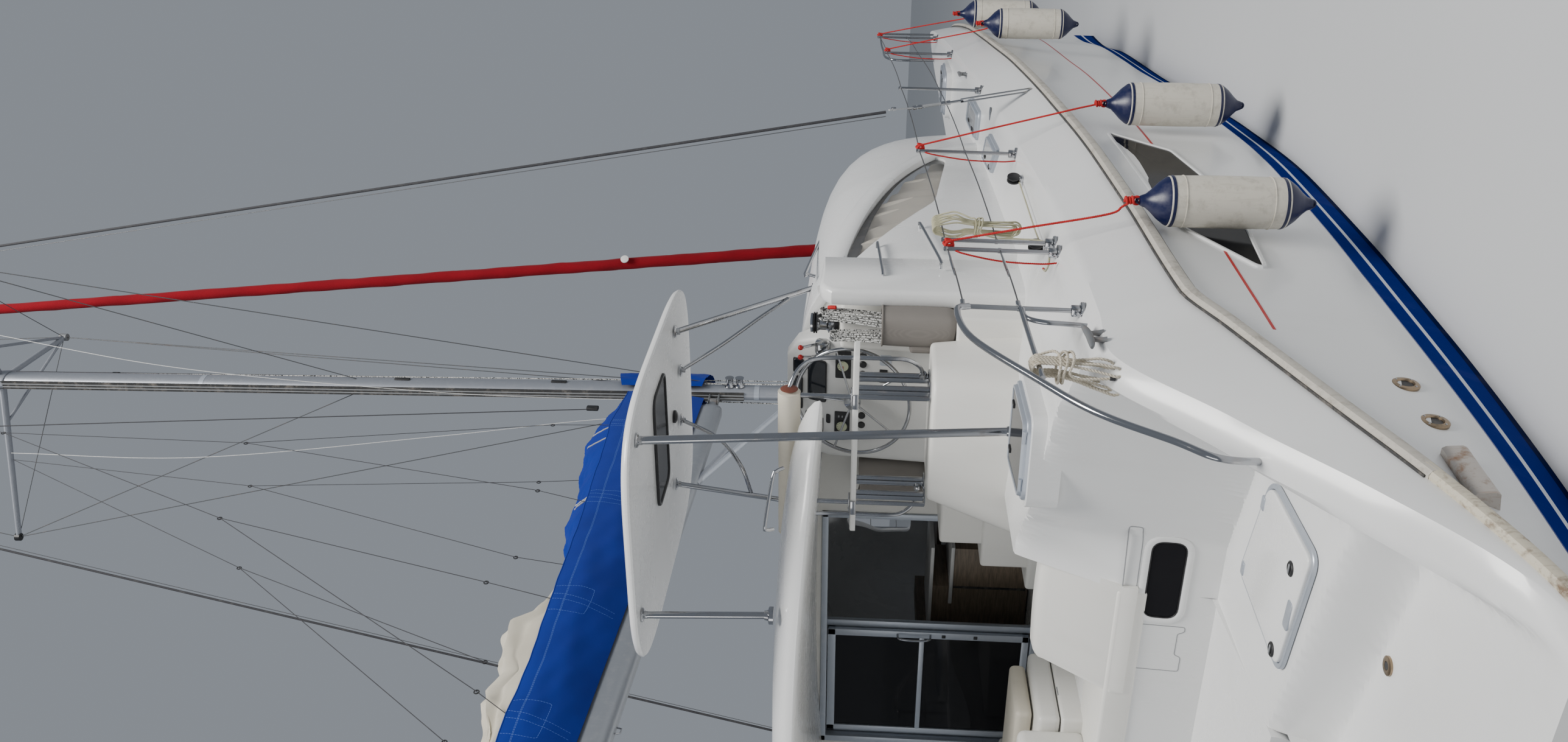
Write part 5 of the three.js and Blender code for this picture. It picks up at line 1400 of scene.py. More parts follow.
class YACHT_OT_cockpit(bpy.types.Operator):
    """Coamings, gates, benches with a cushion, bulkhead with its door, and what shows inside"""
    bl_idname = "yacht.cockpit"
    bl_label = "Cockpit and door"

    def make_moulding(self):
        """Coamings, gates and benches with the cushion"""
        f = FINISH
        mould = Mould()
        for way in (-1, 1):
            mould.add(coaming_shape(), f["warm"], way)
        mould.add(block((2.56, -1.76, 1.14), (3.08, 1.76, 1.305), 0.02), f["warm"])
        mould.add(block((2.95, -0.5, 1.28), (3.62, 1.74, 1.43), 0.02), f["warm"])
        mould.add(block((2.96, -0.49, 1.435), (3.60, 1.74, 1.575), 0.035, 4), f["warm"])
        mould.add(block((2.62, -0.42, 1.29), (2.96, 1.06, 1.70), 0.05, 4), f["warm"])
        mould.add(block((3.62, 1.08, 1.28), (4.50, 1.74, 1.575), 0.03), f["warm"])
        mould.add(block((3.18, -0.494, 1.37), (3.26, -0.484, 1.43), 0.004), f["grey_frame"])
        mould.piece("cockpit_benches", "yacht", "gelcoat_warm", ["cockpit_moulding"])
        pad = Mould().add(block((3.10, -0.40, 1.585), (3.58, 0.95, 1.69), 0.035, 5), f["cream"])
        pad.add(block((3.10, 0.97, 1.585), (3.58, 1.70, 1.69), 0.035, 5), f["cream"])
        cushion = pad.piece("cockpit_cushion", "yacht", "cream_vinyl")

    def make_bulkhead(self):
        """Aft bulkhead round the door opening"""
        f = FINISH
        x = -AMIDSHIPS
        bulkhead = Mould()
        wall = prism([(-2.60, 1.25), (2.60, 1.25), (2.60, 2.60), (2.52, 2.93), (2.2, 3.06), (-2.2, 3.06),
                      (-2.52, 2.93), (-2.60, 2.6)], 4.952 + x, 5.03 + x, "x")
        hole = prism([(-0.65, 1.32), (1.62, 1.32), (1.62, 2.99), (-0.65, 2.99)], 4.8 + x, 5.2 + x, "x")
        bulkhead.add(carve(wall, [hole], 0.006), f["warm"])
        for low, high in (((4.935, 1.56, 1.32), (5.02, 1.62, 2.99)),
                          ((4.935, -0.65, 2.94), (5.02, 1.62, 2.99)),
                          ((4.935, -0.65, 1.30), (5.02, 1.62, 1.335)),
                          ((4.935, -0.65, 1.32), (5.02, -0.60, 2.99)),
                          ((4.99, 0.40, 1.33), (5.03, 0.46, 2.95))):
            bulkhead.add(block(low, high, 0.006, 2), f["silver_frame"])
        bulkhead.piece("aft_bulkhead_wall", "yacht", "gelcoat_warm", ["aft_bulkhead"])

    def make_door_leaves(self):
        """Fixed pane and sliding leaf with their tracks"""
        f = FINISH
        x = -AMIDSHIPS

        def leaf(name, body, start, y0, y1, node_name, handle):
            made = Mould()
            bars = [((y0, 1.345), (y0 + 0.062, 2.935)), ((y1 - 0.05, 1.345), (y1, 2.935)),
                    ((y0, 1.345), (y1, 1.40)), ((y0, 2.87), (y1, 2.935)),
                    ((y0 + 0.05, 2.165), (y1 - 0.04, 2.205))]
            for (a, b), (c, d) in bars:
                made.add(block((start, a, b), (start + 0.034, c, d), 0.005, 2), f["silver_frame"])
            made.add(block((start + 0.013, y0 + 0.03, 1.37), (start + 0.021, y1 - 0.03, 2.91), 0.001, 1),
                     f["tinted"])
            if handle:
                made.add(tube_along(smooth_path([(start + x, y0 + 0.03, 2.12),
                                                 (start - 0.045 + x, y0 + 0.035, 2.13),
                                                 (start - 0.05 + x, y0 + 0.045, 2.2),
                                                 (start - 0.05 + x, y0 + 0.045, 2.3),
                                                 (start - 0.045 + x, y0 + 0.035, 2.37),
                                                 (start + x, y0 + 0.03, 2.38)], 26), 0.009, 10),
                         f["stainless"])
                for z in (1.75, 2.0):
                    made.add(block((start - 0.008, y0 + 0.02, z), (start + 0.004, y0 + 0.045, z + 0.03),
                                   0.003), f["black_plastic"])
            made.piece(name, body, "dark_glass", [node_name])

        leaf("door_leaf", "sliding_door", 4.950, 0.46, 1.50, "sliding_door", True)
        leaf("fixed_pane", "yacht", 4.996, 0.44, 1.555, "fixed_door_pane", False)

    def make_inside(self):
        """Galley that shows through the door"""
        f = FINISH
        inside = Mould()
        inside.add(block((5.49, 0.02, 1.31), (6.10, 0.80, 1.93), 0.006, 2), f["oak"])
        inside.add(block((5.49, 0.40, 1.93), (6.10, 0.80, 2.09), 0.006, 2), f["oak"])
        inside.add(block((5.47, 0.0, 1.925), (6.12, 0.56, 1.955), 0.006, 2), f["moulded"])
        inside.add(block((5.46, 0.0, 2.09), (6.12, 0.83, 2.12), 0.006, 2), f["moulded"])
        inside.add(block((5.485, 0.39, 1.33), (5.492, 0.41, 1.92), 0.001, 1), f["black_line"])
        inside.piece("galley_unit", "yacht", "oak", ["galley_cabinet"])

    def execute(self, context):
        self.make_moulding()
        self.make_bulkhead()
        self.make_door_leaves()
        self.make_inside()
        return {"FINISHED"}


# Helm

WHEEL = {"x": 4.600, "y": -1.780, "z": 2.780, "radius": 0.400, "rake": 12.0}


def rounded_loft(levels, radius, steps=6):
    """Loft of rounded rectangles: (x0, x1, y0, y1, z) from the lowest level up, its last edge rounded."""
    rings = []
    for x0, x1, y0, y1, z in levels:
        line = rounded_outline([(x0 - AMIDSHIPS, y0), (x1 - AMIDSHIPS, y0), (x1 - AMIDSHIPS, y1),
                                (x0 - AMIDSHIPS, y1)], radius, steps)
        rings.append([(x, y, z) for x, y in line])
    for a in (30, 60, 90):
        drop = 0.03
        rings.append([(x, y, z + drop * math.sin(math.radians(a)))
                      for x, y in inset(line, drop * (1 - math.cos(math.radians(a))))])
    return outward(skin_rings(rings))


def console_face(y, z, out=0.0):
    """Point on the console's leaning face; the upper part leans further back."""
    s = np.interp(z, (2.13, 2.93, 3.23), (4.655, 4.715, 4.84))
    return (float(s) - AMIDSHIPS - out, y, z)


def panel(y0, y1, z0, z1, radius, height=0.006):
    line = rounded_outline([(y0, z0), (y1, z0), (y1, z1), (y0, z1)], radius, 4)
    return patch(line, console_face, height, 0.004, 0.002)


def wheel_matrix():
    turn = Matrix.Rotation(math.radians(WHEEL["rake"]), 4, "Y")
    axes = Matrix(((0, 0, -1), (-1, 0, 0), (0, 1, 0))).to_4x4()
    return Matrix.Translation(at(WHEEL["x"], WHEEL["y"], WHEEL["z"])) @ turn @ axes


class YACHT_OT_helm(bpy.types.Operator):
    """Helm steps, seat with its tube frames and bolster, console with instruments, wheel and rope bags"""
    bl_idname = "yacht.helm"
    bl_label = "Helm"

    def make_base(self):
        """Moulding with the helm steps and the wing behind them"""
        f = FINISH
        x = -AMIDSHIPS
        mould = Mould()
        mould.add(rounded_loft([(3.42, 4.30, -2.50, -1.38, 1.30), (3.47, 4.28, -2.50, -1.42, 1.70),
                                (3.60, 4.20, -2.47, -1.58, 2.262)], [0.22, 0.10, 0.10, 0.14], 8), f["warm"])
        mould.add(block((4.18, -2.62, 1.30), (4.945, -1.20, 2.13), 0.025), f["warm"])
        for s, y, z in ((4.20, -0.54, 1.54), (4.23, -0.70, 1.86), (4.26, -0.865, 2.15)):
            mould.add(block((s, -1.40, 1.29), (4.945, y, z), 0.025), f["warm"])
        edge = [(4.36 + 0.06 * max(0, z - 2.7) ** 1.5, z)
                for z in np.linspace(1.62, 2.93, 20)] + [(4.42, 2.985), (4.48, 3.01)]
        rings = []
        outline = [(s + x, z) for s, z in edge + [(4.60, 3.01), (4.96, 3.00), (4.96, 1.62)]]
        for level, depth in ((-2.715, 0.03), (-2.705, 0.012), (-2.685, 0.0), (-2.625, 0.0), (-2.605, 0.012),
                             (-2.60, 0.03)):
            rings.append([(a, level, b) for a, b in inset(outline, depth)])
        mould.add(outward(skin_rings(rings)), f["gelcoat"])
        mould.piece("helm_base", "yacht", "gelcoat", ["helm_moulding"])

    def make_console(self):
        """Console with instruments, switches and engine levers"""
        f = FINISH
        x = -AMIDSHIPS
        console = Mould()
        rings = []
        for z in np.linspace(2.10, 3.245, 16):
            half = np.interp(z, (2.1, 3.0, 3.15, 3.22, 3.245), (0.48, 0.475, 0.43, 0.36, 0.30))
            front = console_face(0, z)[0]
            line = rounded_outline([(front, -1.73 - half), (4.94 + x, -1.73 - half),
                                    (4.94 + x, -1.73 + half), (front, -1.73 + half)],
                                   [0.07, 0.02, 0.02, 0.07], 5)
            rings.append([(a, b, z) for a, b in line])
        console.add(outward(skin_rings(rings)), f["moulded"])
        shaft = [at(4.60 + d * math.cos(math.radians(12)), -1.78, 2.78 - d * math.sin(math.radians(12)))
                 for d in (0.046, 0.20)]
        console.add(turned([(0.036, 0), (0.036, 0.05), (0.060, 0.09), (0.064, 0.155)], shaft[0],
                           shaft[1] - shaft[0]), f["black_plastic"])
        black, glass = f["black_plastic"], f["screen"]
        for y0, y1, z0, z1, r in ((-2.02, -1.70, 2.965, 3.10, 0.025), (-1.60, -1.50, 3.045, 3.115, 0.015),
                                  (-1.86, -1.73, 3.135, 3.215, 0.02), (-2.0, -1.89, 3.13, 3.205, 0.012),
                                  (-1.70, -1.61, 3.135, 3.20, 0.012)):
            console.add(panel(y0, y1, z0, z1, r, 0.014), black)
            console.add(panel(y0 + 0.008, y1 - 0.008, z0 + 0.008, z1 - 0.008, r * 0.7, 0.0165), glass)
        for y0, y1 in ((-1.64, -1.43), (-2.115, -1.905)):
            console.add(panel(y0, y1, 2.797, 2.905, 0.008, 0.006), black)
            dial = Vector(console_face(y0 + 0.115, 2.853, 0.006))
            console.add(turned([(0.047, 0), (0.047, 0.006), (0.042, 0.008), (0.040, 0.005), (0, 0.005)],
                               dial, (-1, 0, 0.08), 28), black)
            console.add(turned([(0.038, 0), (0.038, 0.0062), (0, 0.0062)], dial, (-1, 0, 0.08), 28),
                        f["dial"])
            for k in range(9):
                a = math.radians(-30 + 30 * k)
                spot = dial + Vector((-0.0065, 0.031 * math.cos(a), 0.031 * math.sin(a)))
                console.add(box_at(spot, (-0.0008, -0.0012, -0.0035), (0.0008, 0.0012, 0.0035), 0.0003, 1),
                            f["black_line"])
            console.add(box_at(dial, (-0.0085, -0.001, -0.004), (-0.0065, 0.028, 0.004), 0.0005, 1),
                        f["red_button"])
            for k in range(3):
                console.add(rounded_box(console_face(y0 + 0.03, 2.82 + 0.025 * k, 0.009),
                                        Vector(console_face(y0 + 0.045, 2.83 + 0.025 * k, 0.004)), 0.001,
                                        1), f["grey_frame"])
                foot = console_face(y0 + 0.02 + 0.075 * k, 2.715, 0.0)
                console.add(turned([(0.026, -0.004), (0.026, 0.006), (0.020, 0.012), (0, 0.013)], foot,
                                   (-1, 0, 0.06), 20), black)
        console.add(panel(-1.57, -1.44, 2.985, 3.035, 0.006, 0.008), black)
        for y, finish in ((-1.50, "red_button"), (-1.54, "moulded")):
            console.add(turned([(0.012, 0), (0.012, 0.012), (0.009, 0.016), (0, 0.016)],
                               console_face(y, 3.01, 0.006), (-1, 0, 0.1), 14), f[finish])
        console.add(panel(-1.61, -1.54, 2.935, 2.965, 0.012, 0.01), black)
        console.add(panel(-1.99, -1.89, 2.545, 2.60, 0.005, 0.006), black)
        console.add(turned([(0.016, 0), (0.014, 0.014), (0, 0.015)], console_face(-1.955, 2.573, 0.005),
                           (-1, 0, 0), 16), f["grey_frame"])
        console.add(panel(-2.10, -2.02, 2.52, 2.60, 0.01, 0.003), f["silver_frame"])
        base = Vector(console_face(-2.13, 2.99, 0.0))
        console.add(box_at(base, (-0.05, -0.055, -0.05), (0.04, 0.055, 0.06), 0.03),
                    f["stainless"])
        for dy in (-0.045, 0.045):
            lever = smooth_path([base + Vector((-0.02, dy, 0.0)), base + Vector((-0.07, dy, 0.06)),
                                 base + Vector((-0.10, dy * 0.8, 0.135))], 14)
            console.add(tube_along(lever, 0.010, 10), f["stainless"])
            ball = [(0.019 * math.sin(a), 0.019 - 0.019 * math.cos(a)) for a in np.linspace(0.02, 3.12, 9)]
            console.add(turned(ball, lever[-1], (-0.4, 0, 1), 16), f["red_button"])
        console.piece("console_pod", "yacht", "console", ["helm_console"])

    def make_seat(self):
        """Seat plank on its tube frames"""
        f = FINISH
        x = -AMIDSHIPS
        seat = Mould()
        plank = rounded_outline([(3.68 + x, -2.57), (3.93 + x, -2.57), (3.93 + x, -1.32),
                                 (3.68 + x, -1.32)], 0.03, 5)
        seat.add(plate(plank, 0.036, 0.012, Matrix.Translation((0, 0, 2.734))), f["moulded"])
        for y, way in ((-2.27, -1), (-1.51, 1)):
            seat.add(tube_along([(3.745 + x, y, 2.30), (3.745 + x, y, 3.09)], 0.015, 14), f["stainless"])
            for s in (3.84, 4.02):
                seat.add(tube_along([(s + x, y, 2.292), (s + x, y, 2.735)], 0.034, 20, flat=0.62),
                         f["stainless"])
                seat.add(turned([(0.062, 0), (0.062, 0.006), (0.05, 0.012), (0, 0.012)], (s + x, y, 2.292)),
                         f["stainless"])
            bend = [(3.745 + x, y - 0.02 * way, 3.165), (3.76 + x, y + 0.06 * way, 3.155),
                    (3.82 + x, y + 0.15 * way, 3.10), (3.88 + x, y + 0.185 * way, 3.0),
                    (3.90 + x, y + 0.19 * way, 2.8), (3.90 + x, y + 0.19 * way, 2.55),
                    (3.91 + x, y + 0.18 * way, 2.44), (3.94 + x, y + 0.12 * way, 2.36),
                    (4.0 + x, y + 0.03 * way, 2.335)]
            seat.add(tube_along(smooth_path(bend, 60), 0.0135, 14), f["stainless"])
            seat.add(turned([(0.020, 0), (0.024, 0.01), (0.024, 0.035), (0.018, 0.045)],
                            (4.0 + x, y + 0.05 * way, 2.335), (0.3, -way, 0)), f["stainless"])
            seat.add(block((3.70, y - 0.045, 2.772), (3.79, y + 0.045, 2.782), 0.004), f["stainless"])
            seat.add(screw_heads([(3.715 + x, y + d, 2.782) for d in (-0.03, 0.03)], 0.007, (0, 0, 1)),
                     f["stainless"])
            seat.add(block((3.668, y - 0.05, 2.735), (3.678, y + 0.05, 2.77), 0.004), f["stainless"])
        seat.piece("helm_seat_frame", "yacht", "gelcoat", ["helm_seat"])

    def make_bolster(self):
        """Back roll with a seam near each end"""
        f = FINISH
        x = -AMIDSHIPS
        rings = []
        for t in np.linspace(0, 1, 60):
            y = -2.312 + 1.054 * t
            end = min(t, 1 - t)
            r = 0.070 * min(1.0, math.sqrt(max(1 - max(0, 1 - end / 0.028) ** 2.4, 0.02)))
            r *= 1 + 0.018 * math.sin(9 * t) + 0.01 * math.sin(31 * t)
            rings.append([(3.745 + x + r * math.cos(a), y, 3.160 + r * math.sin(a) * 0.99)
                          for a in round_angles(36)])
        bolster = Mould().add(outward(skin_rings(rings)), f["cream"])
        for y in (-2.292, -1.278):
            seam = [(3.745 + x + 0.0665 * math.cos(a), y, 3.16 + 0.0665 * math.sin(a))
                    for a in np.linspace(0, 6.283, 40, False)]
            bolster.add(tube_along(seam, 0.004, 8, closed=True), f["cream"])
        bolster.add(turned([(0.03, 0), (0.055, 0.003), (0.04, 0.012), (0, 0.014)],
                           (3.745 + x, -2.308, 3.16), (0, -1, 0)), f["leather"])
        bolster.piece("bolster_roll", "yacht", "cream_vinyl", ["helm_bolster"])

    def make_wheel(self):
        """Rim, hub and five spokes"""
        f = FINISH
        wheel = Mould()
        to = wheel_matrix()
        rim_line = [(0.4 * math.cos(a), 0.4 * math.sin(a), 0) for a in round_angles(120)]
        parts = [tube_along(rim_line, 0.0135, 14, closed=True),
                 turned([(0.045, -0.045), (0.045, -0.01), (0.06, 0), (0.055, 0.022), (0.02, 0.034),
                         (0, 0.036)], (0, 0, 0), (0, 0, 1), 30)]
        for k in range(5):
            a = 2 * math.pi * k / 5 + math.pi / 2
            parts.append(tube_along([(0.03 * math.cos(a), 0.03 * math.sin(a), 0),
                                     (0.39 * math.cos(a), 0.39 * math.sin(a), 0)], 0.0075, 12))
        for part in parts:
            wheel.add(moved(part, to), f["stainless"])
        wheel.piece("wheel", "steering_wheel", "stainless", ["steering_wheel"])

    def make_rope_bags(self):
        """Cloth bags beside the helm"""
        f = FINISH
        x = -AMIDSHIPS

        def rope_bag(s, y, z0, z1, rx, ry):
            rings = []
            for t in np.linspace(0, 1, 24):
                z = z0 + (z1 - z0) * t
                swell = 1 + 0.05 * math.sin(math.pi * t) - 0.16 * max(0, 1 - t / 0.10) ** 2
                rings.append([(s + x + rx * swell * bulged(math.cos(a), 0.75),
                               y + ry * swell * bulged(math.sin(a), 0.75),
                               z + 0.006 * math.sin(3 * a + 9 * t)) for a in round_angles(48)])
            inner = [[(s + x + (px - s - x) * 0.95, y + (py - y) * 0.95, pz) for px, py, pz in ring]
                     for ring in reversed(rings[4:])]
            return outward(skin_rings(rings + inner))

        bag = Mould().add(rope_bag(4.30, -2.50, 2.135, 2.60, 0.11, 0.12), f["taupe"])
        bag.add(tube_along([(4.30 + x + 0.113 * bulged(math.cos(a), 0.75),
                             -2.50 + 0.123 * bulged(math.sin(a), 0.75), 2.598)
                            for a in round_angles(48)], 0.006, 8, closed=True), f["taupe"])
        bag.add(block((4.21, -2.40, 2.17), (4.31, -2.345, 2.42), 0.022), f["taupe"])
        bag.piece("rope_bag_cloth", "yacht", "taupe_mesh", ["rope_bag"])
        second = Mould().add(rope_bag(4.80, -1.08, 2.25, 2.72, 0.11, 0.15), f["taupe"])
        second.piece("rope_bag_inner", "yacht", "taupe_mesh")

    def execute(self, context):
        self.make_base()
        self.make_console()
        self.make_seat()
        self.make_bolster()
        self.make_wheel()
        self.make_rope_bags()
        return {"FINISHED"}


# Hardtop

HARDTOP = {"station": 4.030, "y": -1.590, "long": 1.220, "wide": 0.910, "power": 0.45}


def hardtop_ring(share, z, count=96):
    h = HARDTOP
    line = []
    for t in round_angles(count):
        c, s = math.cos(t), math.sin(t)
        line.append((h["station"] - AMIDSHIPS + share * h["long"] * bulged(c, h["power"]),
                     h["y"] + share * h["wide"] * bulged(s, h["power"]), z))
    return line


def flange(top, radius):
    """Small flange with two bolts on the underside, where a post ends."""
    top = Vector(top)
    shapes = [turned([(0.045, 0.006), (0.045, 0.0), (0.038, -0.006), (radius * 1.1, -0.010),
                      (radius * 1.1, -0.030)], top)]
    for k in (-1, 1):
        shapes.append(turned([(0.007, 0.0), (0.007, -0.010), (0.005, -0.013), (0, -0.013)],
                             top + Vector((k * 0.032, 0, 0)), sides=6))
    return shapes


class YACHT_OT_hardtop(bpy.types.Operator):
    """Hardtop over the helm with its window and the flanged posts and braces"""
    bl_idname = "yacht.hardtop"
    bl_label = "Hardtop"

    def execute(self, context):
        f = FINISH
        levels = [(0.2, 4.020), (0.55, 4.018), (0.86, 4.010), (0.90, 4.006), (0.97, 4.003), (0.992, 4.0),
                  (1.0, 4.010), (0.999, 4.022), (0.988, 4.040), (0.965, 4.052), (0.9, 4.062), (0.75, 4.073),
                  (0.5, 4.080), (0.25, 4.082)]
        mould = Mould()
        mould.add(outward(skin_rings([hardtop_ring(k, z) for k, z in levels])), f["gelcoat"])
        window = rounded_outline([(3.78, -2.17), (4.18, -2.17), (4.18, -1.40), (3.78, -1.40)], 0.07, 5)

        def under(a, b, out):
            return (a - AMIDSHIPS, b, 4.016 - out)

        mould.add(rim(window, under, 0.022, 0.016, 0.006), f["black_plastic"])
        mould.add(patch(window, under, 0.008, 0.006), f["dark_glass"])
        lamp = at(4.52, -1.66, 4.014)
        mould.add(turned([(0.045, 0.004), (0.045, -0.012), (0.03, -0.022), (0, -0.026)], lamp),
                  f["black_plastic"])
        mould.piece("hardtop_shell", "yacht", "gelcoat", ["hardtop"])

        frame_piece = Mould()
        steel = f["stainless"]
        top = 3.998
        roof = 3.225
        paths = [([(3.240, -2.345, 1.855), (3.147, -2.257, top)], 0.0250),
                 ([(3.010, -1.150, roof), (2.990, -1.130, top)], 0.0220),
                 ([(4.450, -1.050, 3.220), (4.410, -1.180, top)], 0.0190),
                 ([(4.450, -1.078, 3.470), (4.450, -1.330, 3.550), (4.600, -1.454, 3.720),
                   (4.730, -1.520, top)], 0.0140), ([(5.520, -2.250, 3.060), (4.643, -2.255, top)], 0.0200),
                 ([(5.287, -2.243, 3.265), (5.180, -2.140, 3.46), (5.0, -2.0, 3.72), (4.800, -1.880, top)],
                  0.0140),]
        for points, radius in paths:
            line = [at(*p) for p in points]
            line = smooth_path(line, 40) if len(points) > 2 else line
            frame_piece.add(tube_along([tuple(p) for p in line], radius, 20), steel)
            for shape in flange(at(*points[-1]), radius):
                frame_piece.add(shape, steel)
        for a, b, c in ((3.24, -2.345, 1.850), (3.01, -1.15, roof), (4.45, -1.05, 3.225),
                        (5.50, -2.25, 3.075)):
            foot = at(a, b, c)
            frame_piece.add(turned([(0.055, -0.02), (0.055, 0.006), (0.048, 0.010), (0.034, 0.012),
                                    (0.028, 0.035)], foot), steel)
            for k in range(3):
                spin = Vector((0.042 * math.cos(2.1 * k), 0.042 * math.sin(2.1 * k), 0.008))
                frame_piece.add(turned([(0.006, 0), (0.006, 0.003), (0, 0.004)], Vector(foot) + spin,
                                       sides=8), steel)
        frame_piece.piece("hardtop_tubes", "yacht", "stainless", ["hardtop_frame"])
        return {"FINISHED"}


# Mast, boom and sails

HOUNDS_Z, SPREADER_Z = 19.600, 11.560
SPREADER_TIP = (7.25 - AMIDSHIPS, -1.54, 11.44)
JUMPER = (8.862 - AMIDSHIPS, 0.0, 11.515)
BOOM_AFT, BOOM_FORE = 2.25, 7.62


def boom_z(station):
    return 4.190 + (7.9 - station) * 0.045


def between(a, b, count=2):
    a, b = Vector(a), Vector(b)
    return [tuple(a.lerp(b, t)) for t in np.linspace(0, 1, count)]


def cloth(rows, thick=0.003):
    """Thin closed shell over a grid of points; rows run across the cloth."""
    grid = np.array(rows, float)
    du, dv = np.gradient(grid, axis=0), np.gradient(grid, axis=1)
    normal = np.cross(du, dv)
    normal /= np.linalg.norm(normal, axis=2)[:, :, None] + 1e-9
    low = grid + normal * thick
    rings = [list(a) + list(b[::-1]) for a, b in zip(grid, low)]
    return outward(skin_rings(rings))


def ripple(a, b, k=1.0):
    """Sum of a few waves, for folds that don't repeat."""
    return (math.sin(7.3 * a * k + 2.1 * math.sin(3.1 * b)) + 0.6 * math.sin(15.7 * a * k - 4.0 * b + 1.3)
            + 0.4 * math.sin(29.0 * a * k + 9.0 * b + 0.4)) / 2


BAG_TOP = ((2.30, 4.955), (3.09, 4.968), (3.64, 4.940), (4.33, 4.962), (4.97, 4.962), (5.7, 4.985),
           (6.73, 5.03), (7.03, 5.05), (7.76, 5.02))
COVER_TOP = ((4.70, 5.00), (5.05, 5.03), (5.30, 5.09), (5.55, 5.150), (5.85, 5.130), (6.22, 5.170),
             (6.55, 5.22), (6.80, 5.262), (7.05, 5.24), (7.35, 5.19), (7.76, 5.08))


class YACHT_OT_rig(bpy.types.Operator):
    """Mast with its track and fittings, spreaders, jumper, shrouds, stays and halyards"""
    bl_idname = "yacht.rig"
    bl_label = "Mast and rigging"

    def make_mast(self):
        """Mast with its track, bands, lamp, gooseneck and winches"""
        f = FINISH
        mast = Mould()
        levels = list(np.linspace(MAST["foot"], 17.2, 12)) + list(np.linspace(17.8, MAST["top"], 8))
        mast.add(outward(skin_rings([mast_ring(z, float(np.interp(z, (17.2, 20.7), (1, 0.72))))
                                     for z in levels])), f["anodised"])
        heights = np.linspace(3.9, 20.2, 40)

        def strip(y, width, lift, finish):
            path = [(mast_x(z) - 0.113 * float(np.interp(z, (17.2, 20.7), (1, 0.72))), y, z)
                    for z in heights]
            mast.add(sweep(path, [(-1, 0, 0)] * 40, bar(-0.01, lift, width)),
                     f[finish])

        strip(0.0, 0.042, 0.010, "black_line")
        strip(-0.016, 0.005, 0.016, "grey_frame")
        strip(0.016, 0.005, 0.016, "grey_frame")
        mast.add(outward(skin_rings([mast_ring(3.195, 1.5), mast_ring(3.24, 1.45), mast_ring(3.26, 1.2)])),
                 f["cast_grey"])
        for z in (3.75, 9.4, 14.0):
            mast.add(outward(skin_rings([mast_ring(z, 1.03), mast_ring(z + 0.05, 1.03)])),
                     f["silver_frame"])
        for z in (4.6, 5.7, 7.3):
            mast.add(rounded_box((mast_x(z) - 0.02, -0.09, z), (mast_x(z) + 0.02, -0.068, z + 0.16), 0.008),
                     f["black_plastic"])
        mast.add(turned([(0.03, 0), (0.045, 0.01), (0.045, 0.07), (0.03, 0.09), (0, 0.10)],
                        (mast_x(10.4) + 0.115, 0, 10.38)), f["black_plastic"])
        goose = Vector((7.84 - AMIDSHIPS, 0, boom_z(7.84)))
        for d in (0.0455, -0.0455):
            mast.add(box_at(goose, (-0.03, -0.032, d - 0.006), (0.12, 0.032, d + 0.006), 0.003, 2),
                     f["cast_grey"])
        for z in (3.95, 4.05):
            winch = (mast_x(z) - 0.02, -0.075, z)
            mast.add(turned([(0.05, 0), (0.04, 0.02), (0.035, 0.07), (0.045, 0.09), (0, 0.095)], winch,
                            (0, -1, 0)), f["stainless"])
        mast.add(rounded_box((mast_x(20.7) - 0.20, -0.05, 20.58), (mast_x(20.7) + 0.16, 0.05, 20.695),
                             0.02), f["anodised"])
        mast.add(rounded_box((mast_x(HOUNDS_Z) - 0.06, -0.12, 19.54),
                             (mast_x(HOUNDS_Z) + 0.02, 0.12, 19.60), 0.01), f["anodised"])
        mast.piece("mast_tube", "yacht", "anodised", ["mast"])

    def make_spreaders(self):
        """Spreaders and jumper strut"""
        f = FINISH
        spread = Mould()
        levels = ((-0.09, 1.1), (-0.08, 1.16), (0.08, 1.16), (0.09, 1.1))
        collar = [mast_ring(SPREADER_Z + d, k) for d, k in levels]
        spread.add(outward(skin_rings(collar)), f["anodised"])
        for way in (-1, 1):
            root = (mast_x(SPREADER_Z) - 0.01, way * 0.06, SPREADER_Z)
            tip = (SPREADER_TIP[0], -way * SPREADER_TIP[1], SPREADER_TIP[2])
            spread.add(tube_along(between(root, tip, 8), np.linspace(0.046, 0.034, 8), 20, flat=0.6),
                       f["anodised"])
            spread.add(turned([(0.02, -0.03), (0.04, -0.02), (0.042, 0.03), (0.02, 0.045)], tip),
                       f["black_plastic"])
            spread.add(tube_along(between((7.70 - AMIDSHIPS, way * 0.42, 11.53), JUMPER), 0.016, 14),
                       f["anodised"])
        spread.add(tube_along(between((mast_x(SPREADER_Z), 0, SPREADER_Z), JUMPER), 0.03, 18),
                   f["anodised"])
        spread.add(turned([(0.02, -0.045), (0.040, -0.04), (0.042, 0.035), (0.03, 0.04)], JUMPER),
                   f["cast_grey"])
        spread.piece("spreader_set", "yacht", "anodised", ["spreaders"])

    def make_wires(self):
        """Diamond wires and halyards"""
        f = FINISH
        hound = Vector((mast_x(HOUNDS_Z), 0, HOUNDS_Z))
        wires = Mould()

        def wire(points, radius, finish, both=True):
            for way in (-1, 1) if both else (-1,):
                wires.add(tube_along([(p[0], -way * p[1], p[2]) for p in points], radius, 8), f[finish])

